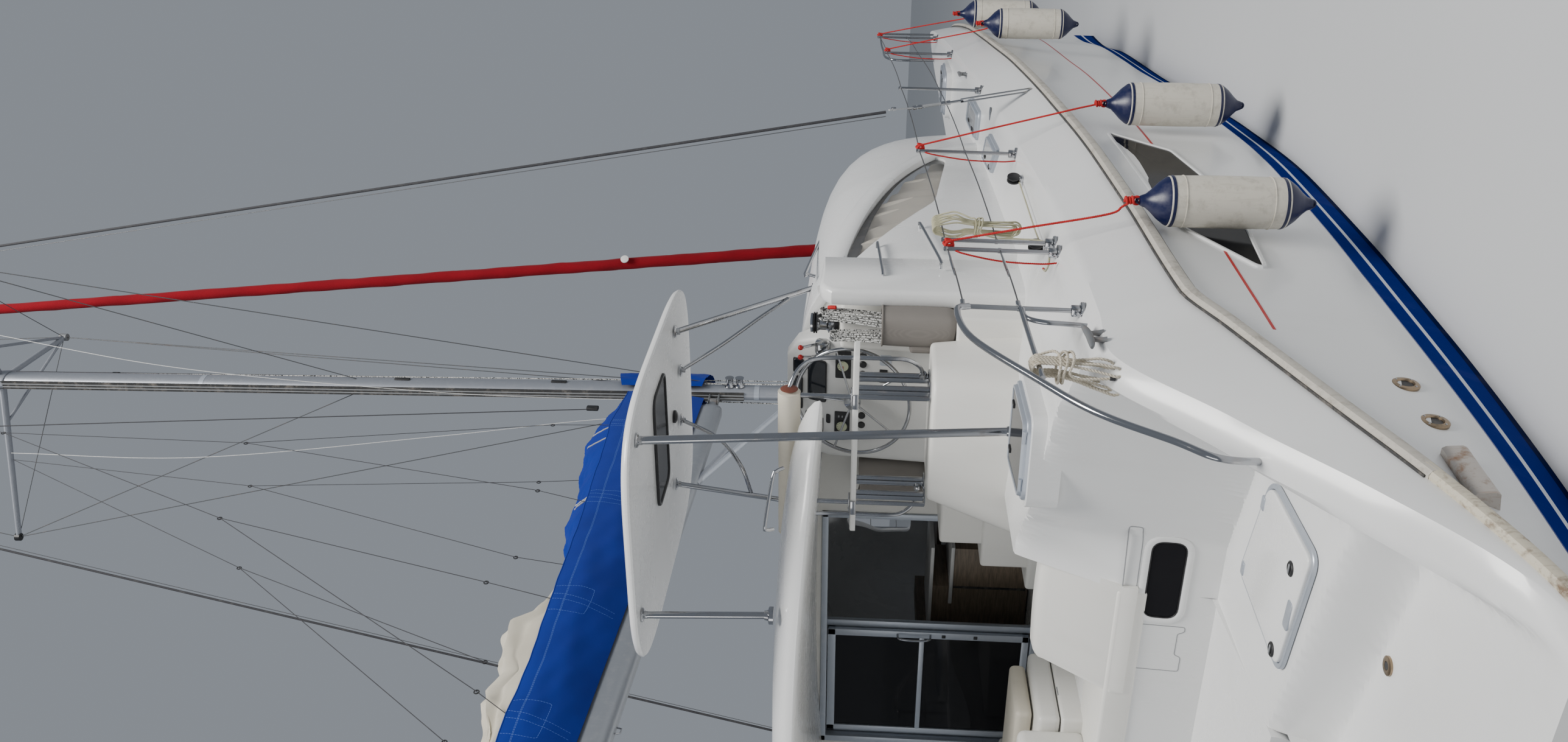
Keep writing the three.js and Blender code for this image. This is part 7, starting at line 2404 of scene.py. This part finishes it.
def hung_turns(rows, turns, lows, across, deep, stop=None, rise=False):
    """Long rope turns over a support.

    rows are (height, place across, place in depth, half depth, pitch, fan), from the support down, and
    fan says how much the turns differ in depth there. lows holds the lowest point of each turn. The last
    turn ends at the stop height, and with rise the first one starts at its foot.
    """
    heights, middle, back, half, pitch, fan = (np.array(column)[::-1] for column in zip(*rows))
    loose = [(-0.30, 0.55, 0.10, 0.85, -0.25, 0.40, 0.0, 0.65)[i % 8] for i in range(turns)]
    across, deep, top = Vector(across), Vector(deep), rows[0][0]

    def point(level, i, side, lift=0.0):
        m, b, h, p, w = (float(np.interp(level, heights, column))
                         for column in (middle, back, half, pitch, fan))
        h *= 1 + w * float(np.interp(i, range(turns), loose))
        return across * (m + (i - (turns - 1) / 2) * p) + deep * (b + side * h) + UP * (level + lift * h)

    path = []
    for i in range(turns):
        foot = lows[i] + float(np.interp(lows[i], heights, half))
        if i or rise:
            before = lows[max(i - 1, 0)]
            start = before + float(np.interp(before, heights, half))
            path += [point(level, i, 1) for level in np.arange(start + 0.05, top - 0.03, 0.05)]
        turn = np.linspace(0 if i or rise else math.pi / 2, math.pi, 9 if i or rise else 5)
        path += [point(top, i, math.cos(a), math.sin(a)) for a in turn]
        last = i == turns - 1
        path += [point(level, i, -1) for level in np.arange(top - 0.05, stop if last and stop else foot,
                                                            -0.05)]
        if not last:
            path += [point(foot, i + (a - math.pi) / math.pi, math.cos(a), math.sin(a))
                     for a in np.linspace(math.pi, 2 * math.pi, 9)]
    return path


def waist_wraps(centre, wide, deep, turns, step, dip=0.0):
    """Turns round the middle of a hank, from its front right corner on to the left."""
    path = []
    for a in np.linspace(0, turns * 2 * math.pi, int(18 * turns)):
        c, s = math.cos(-math.pi / 3 - a), math.sin(-math.pi / 3 - a)
        path.append(Vector(centre) + Vector((wide * bulged(c, 0.92),
                                             deep * bulged(s, 0.92),
                                             0.030 * math.exp(-2.2 * a) - step * a / (2 * math.pi)
                                             + dip * max(-s, 0) * (1 + a / 12))))
    return path


def run_length(path):
    return float(np.sum(np.linalg.norm(np.diff(np.asarray(path), axis=0), axis=1)))


def even_path(points, gap):
    rough = smooth_path(points, 40 * len(points))
    return smooth_path(rough[::8], int(run_length(rough) / gap))


HANK_RAIL = ((1.930, 1.990, -3.378, 0.037, 0.0176, 0.0), (1.850, 1.986, -3.380, 0.034, 0.0170, 0.0),
             (1.780, 1.974, -3.376, 0.036, 0.0172, 0.2), (1.680, 1.954, -3.366, 0.043, 0.0184, 0.8),
             (1.570, 1.925, -3.352, 0.045, 0.0200, 1.0))
HANK_LIFELINE = ((2.300, 3.865, -3.345, 0.034, 0.0240, 0.0), (2.210, 3.850, -3.352, 0.052, 0.0190, 0.5),
                 (2.150, 3.830, -3.356, 0.034, 0.0138, 0.0), (2.080, 3.815, -3.357, 0.026, 0.0112, 0.0),
                 (1.960, 3.808, -3.357, 0.027, 0.0114, 0.5), (1.830, 3.802, -3.355, 0.030, 0.0118, 0.8))
WINCH = {"s": 4.600, "y": -2.372, "z": 2.880}


class YACHT_OT_hanks(bpy.types.Operator):
    """Two hanks of spare rope on the guardrail and the sheet tails between winch and rope bag"""
    bl_idname = "yacht.hanks"
    bl_label = "Rope hanks and winch"

    def hang(self, name, path, diameter, shape, finish, node_name, far_end, pieces=()):
        obj = Mould().add(shape, FINISH[finish]).piece(name, "yacht", "rope", node_name, crease=60)
        tuple(path[0])
        [tuple(p) for p in path]

    def whipping(self, name, path, radius, finish):
        """Twine bound round the end of a rope."""
        end, before = Vector(path[-1]), Vector(path[-3])
        way = (end - before).normalized()
        return Mould().add(turned([(radius, 0.0), (radius + 0.0008, 0.002), (radius + 0.0008, 0.022),
                                   (radius, 0.024)], end - way * 0.012, way, 16),
                           FINISH[finish]).piece(name, "yacht", "rope")

    def make_rail_hank(self):
        """Hank over the pushpit rail"""
        f = FINISH
        rows = [(z, s - AMIDSHIPS, *rest) for z, s, *rest in HANK_RAIL]
        path = hung_turns(rows, 6, (1.562, 1.578, 1.594, 1.608, 1.622, 1.640), (1, 0, 0), (0, 1, 0),
                          stop=1.940)
        waist = waist_wraps((1.984 - AMIDSHIPS, -3.380, 1.860), 0.077, 0.067, 2.3, 0.0200, -0.016)
        end = waist[-1]
        path += waist + [end + Vector(d) for d in ((-0.003, 0.018, -0.008), (-0.007, 0.030, -0.034),
                                                   (-0.010, 0.027, -0.10), (-0.014, 0.020, -0.19))]
        path = even_path(path, 0.008)
        rope = grow_line(path, "rope", f["rope_beige"], Radius=0.0072, Pitch=0.046, Step=0.007)
        tip = self.whipping("whipping_rail", path, 0.0079, "rope_dark")
        self.hang("rope_hank_on_rail", path, 0.0144, rope, "rope_beige", ["rope_hank_rail"], "bare", [tip])

    def make_lifeline_hank(self):
        """Hank over the upper lifeline"""
        rows = [(z, s - AMIDSHIPS, *rest) for z, s, *rest in HANK_LIFELINE]
        path = hung_turns(rows, 8, (1.862, 1.845, 1.875, 1.84, 1.856, 1.838, 1.87, 1.85), (1, 0, 0),
                          (0, 1, 0), stop=2.17)
        waist = waist_wraps((3.816 - AMIDSHIPS, -3.357, 2.10), 0.064, 0.053, 2.32, 0.0128, -0.010)
        down = [waist[-1] + Vector((-0.003, 0.016, -0.008)), waist[-1] + Vector((-0.008, 0.026, -0.034)),
                Vector(at(3.745, -3.322, 1.97)), Vector(at(3.742, -3.320, 1.84)),
                Vector(at(3.712, -3.322, 1.72))]
        curl = [Vector(on_deck(s, y, 0.0056)) for s,
                y in ((3.668, 3.288), (3.622, 3.262), (3.592, 3.222), (3.612, 3.182), (3.668, 3.172))]
        path = even_path(path + waist + down + curl, 0.007)
        tip = self.whipping("whipping_lifeline", path, 0.0054, "rope_red")
        self.hang("rope_hank_on_lifeline", path, 0.0098, tube_along(path, 0.0049, 10), "rope_olive",
                  ["rope_hank_lifeline"], "bare", [tip])

    def make_winch(self):
        """Sheet winch on its plinth, with the hook and arm that carry the sheet tails"""
        f = FINISH
        place = at(WINCH["s"], WINCH["y"], WINCH["z"])
        gear = Mould()
        gear.add(rounded_loft([(4.47, 4.945, -2.50, -2.212, 2.10), (4.50, 4.945, -2.47, -2.215, 2.842)],
                              0.06), f["warm"])
        profile = [(0.074, 0.0), (0.078, 0.004), (0.078, 0.030), (0.066, 0.036)]
        gear.add(turned(profile, place, sides=40), f["black_plastic"])
        gear.add(turned([(0.066, 0.034), (0.069, 0.040), (0.067, 0.072), (0.050, 0.084), (0.048, 0.130),
                         (0.056, 0.142), (0.056, 0.146)], place, sides=40), f["stainless"])
        gear.add(turned([(0.056, 0.145), (0.072, 0.148), (0.072, 0.156), (0.060, 0.160), (0.072, 0.164),
                         (0.072, 0.172), (0.058, 0.176)], place, sides=40), f["black_plastic"])
        gear.add(turned([(0.058, 0.175), (0.066, 0.178), (0.064, 0.192), (0.030, 0.196), (0.028, 0.190),
                         (0.012, 0.188), (0, 0.188)], place, sides=40), f["stainless"])
        hook = [(4.580, -2.470, 2.84), (4.572, -2.485, 2.94), (4.530, -2.500, 2.978),
                (4.446, -2.506, 2.984), (4.405, -2.506, 3.014)]
        gear.add(tube_along(smooth_path([at(*p) for p in hook], 24), 0.011, 14), f["black_plastic"])
        arm = [(4.555, -2.352, 2.945), (4.500, -2.352, 2.925), (4.446, -2.352, 2.914),
               (4.405, -2.352, 2.932)]
        gear.add(tube_along(smooth_path([at(*p) for p in arm], 20), 0.009, 14), f["stainless"])
        sheath = smooth_path([at(4.44, -2.555, 2.95), at(4.43, -2.562, 2.93), at(4.42, -2.566, 2.90)], 12)
        gear.add(tube_along(sheath, 0.013, 12), f["rope_red"])
        gear.piece("sheet_winch", "yacht", "stainless")

    def make_sheet_tails(self):
        """Bunch of sheet tails from the winch to the rope bag"""
        x = AMIDSHIPS
        left = hung_turns([(2.905, -2.352, 4.446 - x, 0.031, -0.0154, 0.0),
                           (2.850, -2.359, 4.438 - x, 0.031, -0.0154, 0.0),
                           (2.710, -2.380, 4.392 - x, 0.032, -0.0162, 0.1),
                           (2.580, -2.400, 4.342 - x, 0.034, -0.0180, 0.3),
                           (2.300, -2.408, 4.305 - x, 0.034, -0.0180, 0.2)], 4, (2.36, 2.40, 2.37, 2.34),
                          (0, 1, 0), (1, 0, 0))
        right = hung_turns([(2.975, -2.506, 4.446 - x, 0.032, -0.0150, 0.0),
                            (2.900, -2.508, 4.436 - x, 0.032, -0.0150, 0.0),
                            (2.740, -2.513, 4.390 - x, 0.034, -0.0160, 0.1),
                            (2.580, -2.520, 4.335 - x, 0.036, -0.0175, 0.3),
                            (2.300, -2.522, 4.305 - x, 0.036, -0.0175, 0.2)], 5,
                           (2.38, 2.35, 2.41, 2.36, 2.33), (0, 1, 0), (1, 0, 0), rise=True)
        lead = [at(4.463, -2.329, 2.142), at(4.471, -2.329, 2.35), at(4.478, -2.329, 2.60),
                at(4.483, -2.329, 2.75), at(4.481, -2.329, 2.84), at(4.477, -2.329, 2.905),
                at(4.468, -2.329, 2.927)]
        path = even_path(lead + left + [at(4.290, -2.450, 2.338), at(4.322, -2.470, 2.346)] + right, 0.008)
        self.hang("sheet_tails", path, 0.0116, tube_along(path, 0.0058, 10), "rope_flecked", (), "object")

    def execute(self, context):
        self.make_rail_hank()
        self.make_lifeline_hank()
        self.make_winch()
        self.make_sheet_tails()
        return {"FINISHED"}


# Lazy jacks: side, node, and each leg's ring and foot as (station, z)
LAZY_JACKS = (
    (1, (5.24, 7.88), ((3.23, 5.47, 3.14, 5.34), (4.06, 5.43, 4.01, 5.31))),
    (1, (6.50, 8.37), ((5.38, 5.55, 5.27, 5.05), (6.56, 5.65, 6.61, 5.12))),
    (-1, (5.17, 7.90), ((3.29, 5.22, 3.10, 4.96), (4.49, 5.50, 4.34, 4.96))),
    (-1, (6.37, 8.24), ((5.79, 5.43, 5.66, 4.98), (6.92, 5.57, 6.98, 5.04))),
)


class YACHT_OT_jacks(bpy.types.Operator):
    """Lazy jacks and control lines between the spreaders and the sail bag, with their rings and blocks"""
    bl_idname = "yacht.jacks"
    bl_label = "Lazy jacks"

    def execute(self, context):
        f = FINISH
        lines = Mould()
        tops = {1: at(7.54, 0.78, 11.47), -1: at(6.35, -0.25, 10.50)}

        def line(points, radius=0.0032):
            dense = [p for a, b in zip(points, points[1:])
                     for p in between(a, b, 24)[:-1]] + [tuple(points[-1])]
            lines.add(tube_along(dense, radius, 6), f["rope_dark"])

        def ring(spot):
            spot = Vector(spot)
            loop = [tuple(spot + Vector((0.017 * math.cos(a), 0.004, 0.017 * math.sin(a))))
                    for a in round_angles(16)]
            lines.add(tube_along(loop, 0.0045, 8, closed=True), f["black_plastic"])

        for way, node_at, legs in LAZY_JACKS:
            knot_at = at(node_at[0], 0.32 if way > 0 else -0.22, node_at[1])
            line([tops[way], knot_at])
            ring(knot_at)
            for s, z, foot_s, foot_z in legs:
                low = at(s, way * 0.20, z)
                line([knot_at, low])
                ring(low)
                line([low, at(foot_s, way * 0.185, foot_z)])
        line([tops[-1], at(7.72, -0.07, 14.3)])
        ring(tops[-1])
        for way in (-1, 1):
            slack = smooth_path([at(7.54, way * 0.70, 11.47), at(7.26, way * 0.50, 9.3),
                                 at(7.40, way * 0.25, 6.9), at(7.60, way * 0.12, 5.4),
                                 at(7.70, way * 0.08, 4.4)], 60)
            lines.add(tube_along(slack, 0.0028, 6), f["rope_white"])
        lines.add(block((7.60, -0.02, 5.30), (7.66, 0.02, 5.42), 0.012), f["black_plastic"])
        obj = lines.piece("lazy_jacks", None, "rigging")
        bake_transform(obj)
        return {"FINISHED"}


# Foredeck gear

BEAM = {"s": 12.480, "z": 1.380, "radius": 0.088}
NET = {"aft": 9.560, "fore": 12.375, "inner": 0.085, "z": 1.800, "fall": 0.122, "mesh": 0.05}


def net_point(s, y, out=0.0):
    """Point on the trampoline, which sags a little between its edges."""
    across = (y - NET["inner"]) / 2.2
    along = (s - NET["aft"]) / (NET["fore"] - NET["aft"])
    sag = 0.035 * math.sin(math.pi * min(max(across, 0), 1)) * math.sin(math.pi * min(max(along, 0), 1))
    return Vector(at(s, -y, NET["z"] - (s - 9.5) * NET["fall"] - sag + out))


def net_reach(s):
    """How far out the trampoline goes before its lacing to the hull."""
    return float(form("in_y", np.float64(s))) - 0.055


class YACHT_OT_foredeck(bpy.types.Operator):
    """Crossbeam with its striker, anchor arm with roller and anchor, and both trampolines"""
    bl_idname = "yacht.foredeck"
    bl_label = "Foredeck gear"

    def make_beam(self):
        """Crossbeam with its striker"""
        f = FINISH
        s0, z0, r = BEAM["s"], BEAM["z"], BEAM["radius"]
        reach = float(form("low_y", np.float64(s0))) - 0.052
        beam = Mould().add(tube_along(between(at(s0, -reach, z0), at(s0, reach, z0), 24), r, 36),
                           f["anodised"])
        for y in (-reach + 0.03, -0.09, 0.09, reach - 0.03):
            beam.add(tube_along(between(at(s0, y - 0.018, z0), at(s0, y + 0.018, z0)), r + 0.006, 36),
                     f["silver_frame"])
        for way in (-1, 1):
            beam.add(tube_along(between(at(s0, way * 2.24, z0 + 0.075), at(s0, way * 0.03, 1.735)), 0.011,
                                14), f["stainless"])
            beam.add(tube_along(between(at(s0, way * 2.10, z0 + 0.098), at(s0, way * 1.88, z0 + 0.133)),
                                0.018, 14), f["stainless"])
            beam.add(block((s0 - 0.02, way * 2.28 - 0.05, z0 + 0.05),
                           (s0 + 0.02, way * 2.28 + 0.05, z0 + 0.11), 0.008), f["stainless"])
            beam.add(sweep(between(at(s0 - 0.094, way * 0.15, z0), at(s0 - 0.094, way * (reach - 0.08), z0),
                                   30), [(-1, 0, 0)] * 30, bar(-0.01, 0.010, 0.010)), f["silver_frame"])
        beam.add(tube_along(between(at(s0, 0, z0), at(s0, 0, 1.752)), 0.030, 24), f["anodised"])
        beam.add(turned([(0.044, -0.03), (0.046, -0.02), (0.046, 0.012), (0.030, 0.018), (0, 0.018)],
                        at(s0, 0, 1.742)), f["stainless"])
        beam.piece("bow_beam", "yacht", "anodised", ["crossbeam"])

    def make_anchor_arm(self):
        """Arm with bow roller, anchor and chain"""
        f = FINISH
        s0 = BEAM["s"]
        arm = Mould()
        section = rounded_outline([(-0.066, 1.234), (0.066, 1.234), (0.066, 1.346), (-0.066, 1.346)], 0.022,
                                  4)
        for low, high in ((9.505, s0 - 0.096), (s0 + 0.096, 12.955)):
            arm.add(outward(skin_rings([[at(s, y, z) for y, z in section]
                                        for s in np.linspace(low, high, 8)])), f["anodised"])
        for way in (-1, 1):
            cheek = rounded_outline([(12.645, 1.205), (12.895, 1.235), (12.895, 1.475), (12.72, 1.470),
                                     (12.645, 1.36)], 0.05, 5)
            arm.add(outward(skin_rings([[at(a, way * y, b) for a, b in inset(cheek, d)] for y,
                                        d in ((0.077, 0.003), (0.079, 0.0), (0.087, 0.0),
                                              (0.089, 0.003))])), f["stainless"])
            for a, b in ((12.70, 1.29), (12.84, 1.29)):
                arm.add(turned([(0.011, 0), (0.011, 0.006), (0, 0.006)], at(a, way * 0.0885, b),
                               (0, way, 0), 6), f["stainless"])
        groove = [(0.040, -0.070), (0.046, -0.066), (0.044, -0.03), (0.028, 0.0), (0.044, 0.03),
                  (0.046, 0.066), (0.040, 0.070)]
        arm.add(turned(groove, at(12.765, 0, 1.420), (0, 1, 0), 28), f["black_plastic"])
        arm.add(turned([(0.009, -0.096), (0.009, 0.096)], at(12.765, 0, 1.420), (0, 1, 0), 14),
                f["stainless"])
        shank = smooth_path([at(11.93, 0, 1.16), at(12.25, 0, 1.205), at(12.60, 0, 1.31),
                             at(12.83, 0, 1.385)], 20)
        arm.add(sweep(shank, [(0, 1, 0)] * 20, bar(-0.009, 0.009, 0.030)),
                f["cast_grey"])
        for way in (-1, 1):
            fluke = [[at(12.14, 0, 1.165 + d), at(11.86, way * 0.085, 1.125 + d),
                      at(11.66, way * 0.165, 1.073 + d), at(11.60, way * 0.120, 1.068 + d),
                      at(11.58, 0, 1.080 + d)] for d in (-0.009, 0.009)]
            arm.add(outward(skin_rings(fluke)), f["cast_grey"])
        arm.add(tube_along(between(at(12.0, 0, 1.15), at(12.0, 0, 1.29)), 0.026, 16), f["stainless"])
        for k in range(26):
            mid = at(12.62 - 0.030 * k, 0, 1.352 + 0.010 * (k % 2))
            wide = (k % 2) * math.pi / 2
            link = [tuple(mid + Vector((0.021 * math.cos(a), 0.011 * math.sin(a) * math.cos(wide),
                                        0.011 * math.sin(a) * math.sin(wide)))) for a in round_angles(12)]
            arm.add(tube_along(link, 0.0042, 6, closed=True), f["cast_grey"])
        arm.piece("anchor_gear", "yacht", "cast_grey", ["anchor_arm"])

    def make_nets(self):
        """Trampolines laced to hulls and crossbeam"""
        f = FINISH
        s0, z0 = BEAM["s"], BEAM["z"]
        for name, way in SIDES:
            net = Mould()
            points, edges = [], []
            stations = np.arange(NET["aft"], NET["fore"] + 0.001, NET["mesh"])
            rows = np.arange(NET["inner"], 2.4, NET["mesh"])

            def run(line):
                start = len(points)
                points.extend(line)
                edges.extend((start + i, start + i + 1) for i in range(len(line) - 1))

            for s in stations:
                run([net_point(s, y) for y in np.linspace(NET["inner"], net_reach(s), 12)])
            for y in rows:
                line = [net_point(s, y, 0.001) for s in stations[::4] if y < net_reach(s)]
                if len(line) > 1:
                    run(line)
            net.add(grow(points, edges, "net", f["netting"], Cord=0.0030), f["netting"], way)
            border = ([net_point(s, NET["inner"]) for s in stations[::6]]
                      + [net_point(NET["fore"], y)
                         for y in np.linspace(NET["inner"], net_reach(NET["fore"]), 8)][1:]
                      + [net_point(s, net_reach(s)) for s in stations[::-6]][1:]
                      + [net_point(NET["aft"], y)
                         for y in np.linspace(net_reach(NET["aft"]), NET["inner"], 8)][1:-1])
            net.add(tube_along(border, 0.009, 8, closed=True), f["netting"], way)
            side_edge = [net_point(s, net_reach(s)) for s in np.arange(NET["aft"], NET["fore"], 0.07)]
            fore_rows = np.arange(NET["inner"] + 0.05, net_reach(NET["fore"]), 0.07)
            fore_edge = [net_point(NET["fore"], y) for y in fore_rows]
            to_hull = [edge + Vector((0, -0.048, 0.012)) for edge in side_edge]
            to_beam = [Vector(at(s0 - 0.100, -y, z0 + 0.015)) for y in fore_rows]
            for near, far in ((side_edge, to_hull), (fore_edge, to_beam)):
                lace = [near[i] if i % 2 else far[i] for i in range(len(near))]
                net.add(tube_along(lace, 0.0032, 6), f["rope_white"], way)
            net.piece(f"trampoline_net_{name}", "yacht", "netting", [f"trampoline_{name}"])

    def execute(self, context):
        self.make_beam()
        self.make_anchor_arm()
        self.make_nets()
        return {"FINISHED"}


# Under water

def foil_ring(low, high, y, thick, z, count=28):
    """Section of a keel, rudder or leg; low and high are the stations of its trailing and leading edges."""
    ring = []
    for a in round_angles(count):
        t = (1 - math.cos(a)) / 2
        half = thick * 2.97 * (math.sqrt(t) - 0.42 * t - 1.171 * t**2 + 0.947 * t**3 - 0.356 * t**4)
        ring.append(at(high - (high - low) * t,
                       y + math.copysign(max(half, 0.0015), math.sin(a)) * (abs(math.sin(a)) > 1e-6), z))
    return ring


class YACHT_OT_underwater(bpy.types.Operator):
    """Rudders, drive legs and propellers, and the engines in their bays"""
    bl_idname = "yacht.underwater"
    bl_label = "Under water"

    def execute(self, context):
        f = FINISH
        mid = 2.570
        for name, way in SIDES:
            rudder = Mould()
            levels = [(-0.400, 0.872, 1.364, 0.028), (-0.42, 0.870, 1.366, 0.030),
                      (-0.85, 0.935, 1.348, 0.026), (-1.20, 0.952, 1.332, 0.021),
                      (-1.232, 0.975, 1.310, 0.014), (-1.240, 1.03, 1.26, 0.006)]
            rudder.add(outward(skin_rings([foil_ring(a, b, -mid, t, z) for z, a, b, t in levels])),
                       f["bottom"], way)
            rudder.add(tube_along(between(at(1.18, -mid, -0.41), at(1.18, -mid, -0.326)), 0.0245, 24),
                       f["stainless"], way)
            rudder.piece(f"rudder_blade_{name}", f"rudder_{name}", "antifouling", [f"rudder_{name}"])

            leg = Mould()
            levels = [(z, 2.51 + 0.05 * t, 2.77 + 0.08 * t, 0.034 + 0.010 * t)
                      for z, t in ((-0.90, 0), (-0.78, 0.25), (-0.62, 0.6), (-0.52, 0.85), (-0.475, 1.0))]
            leg.add(outward(skin_rings([foil_ring(a, b, -mid, t, z) for z, a, b, t in levels])),
                    f["cast_grey"], way)
            pod = [(0.040, 0.0), (0.048, 0.015), (0.054, 0.08), (0.056, 0.16), (0.050, 0.22), (0.034, 0.27),
                   (0.012, 0.288), (0, 0.290)]
            leg.add(turned(pod, at(2.50, -mid, -0.88), (1, 0, 0), 28), f["cast_grey"], way)
            leg.add(block((2.50, -mid - 0.075, -0.790), (2.72, -mid + 0.075, -0.778), 0.005),
                    f["cast_grey"], way)
            leg.add(turned([(0.030, 0), (0.034, 0.006), (0.030, 0.03), (0.012, 0.034), (0, 0.034)],
                           at(2.60, -mid - 0.026, -0.66), (0, -1, 0), 20), f["bronze"], way)
            leg.piece(f"drive_leg_{name}", "yacht", "cast_grey", [f"saildrive_{name}"])

            screw = Mould()
            hub = at(2.410, -mid, -0.880)
            screw.add(turned([(0.0, 0.0), (0.020, 0.004), (0.032, 0.022), (0.038, 0.05), (0.042, 0.0885)],
                             hub, (1, 0, 0), 28), f["bronze"], way)
            for k in range(3):
                spin = Matrix.Rotation(2 * math.pi * k / 3, 3, "X")
                rings = []
                for r, chord, thick, pitch in ((0.030, 0.045, 0.009, 52), (0.07, 0.085, 0.007, 42),
                                               (0.12, 0.118, 0.005, 32), (0.165, 0.110, 0.004, 26),
                                               (0.195, 0.070, 0.003, 23), (0.204, 0.020, 0.002, 22)):
                    a = math.radians(pitch)
                    ring = []
                    for t in round_angles(18):
                        u, v = chord / 2 * math.cos(t), thick * math.sin(t)
                        p = Vector((u * math.sin(a) + v * math.cos(a) + 0.042,
                                    u * math.cos(a) - v * math.sin(a), r))
                        ring.append(hub + spin @ p)
                    rings.append(ring)
                screw.add(outward(skin_rings(rings)), f["bronze"], way)
            screw.piece(f"screw_{name}", f"propeller_{name}", "bronze", [f"propeller_{name}"])

            engine = Mould()
            engine.add(block((1.60, -2.66, 0.105), (2.17, -2.24, 0.42), 0.03), f["cast_grey"], way)
            engine.add(block((1.66, -2.58, 0.41), (2.10, -2.32, 0.595), 0.025), f["moulded"], way)
            for k in range(4):
                engine.add(turned([(0.030, 0), (0.030, 0.03), (0.020, 0.036), (0, 0.036)],
                                  at(1.74 + 0.11 * k, -2.60, 0.42)), f["black_plastic"], way)
            engine.piece(f"engine_block_{name}", "yacht", "cast_grey", [f"engine_{name}"])
        return {"FINISHED"}


OPERATORS = [YACHT_OT_stage, YACHT_OT_materials, YACHT_OT_hulls, YACHT_OT_stern, YACHT_OT_cabin,
             YACHT_OT_cockpit, YACHT_OT_helm, YACHT_OT_hardtop,
             YACHT_OT_rig, YACHT_OT_sails, YACHT_OT_rails, YACHT_OT_fenders,
             YACHT_OT_hanks, YACHT_OT_jacks, YACHT_OT_foredeck, YACHT_OT_underwater]


class YACHT_PT_panel(bpy.types.Panel):
    """Lists the steps that build the yacht's looks"""
    bl_idname = "YACHT_PT_panel"
    bl_label = "Catamaran"
    bl_space_type = "VIEW_3D"
    bl_region_type = "UI"
    bl_category = "Catamaran"

    def draw(self, context):
        for operator in OPERATORS:
            self.layout.operator(operator.bl_idname)
        for name in YachtLooks.__annotations__:
            self.layout.prop(context.scene.yacht_looks, name)


CLASSES = [YachtLooks, *OPERATORS, YACHT_PT_panel]


def register():
    for cls in CLASSES:
        bpy.utils.register_class(cls)
    bpy.types.Scene.yacht_looks = bpy.props.PointerProperty(type=YachtLooks)


def unregister():
    del bpy.types.Scene.yacht_looks
    for cls in reversed(CLASSES):
        bpy.utils.unregister_class(cls)


def main():
    register()
    for operator in OPERATORS:
        getattr(bpy.ops.yacht, operator.bl_idname.split(".")[1])()


if __name__ == "__main__":
    main()
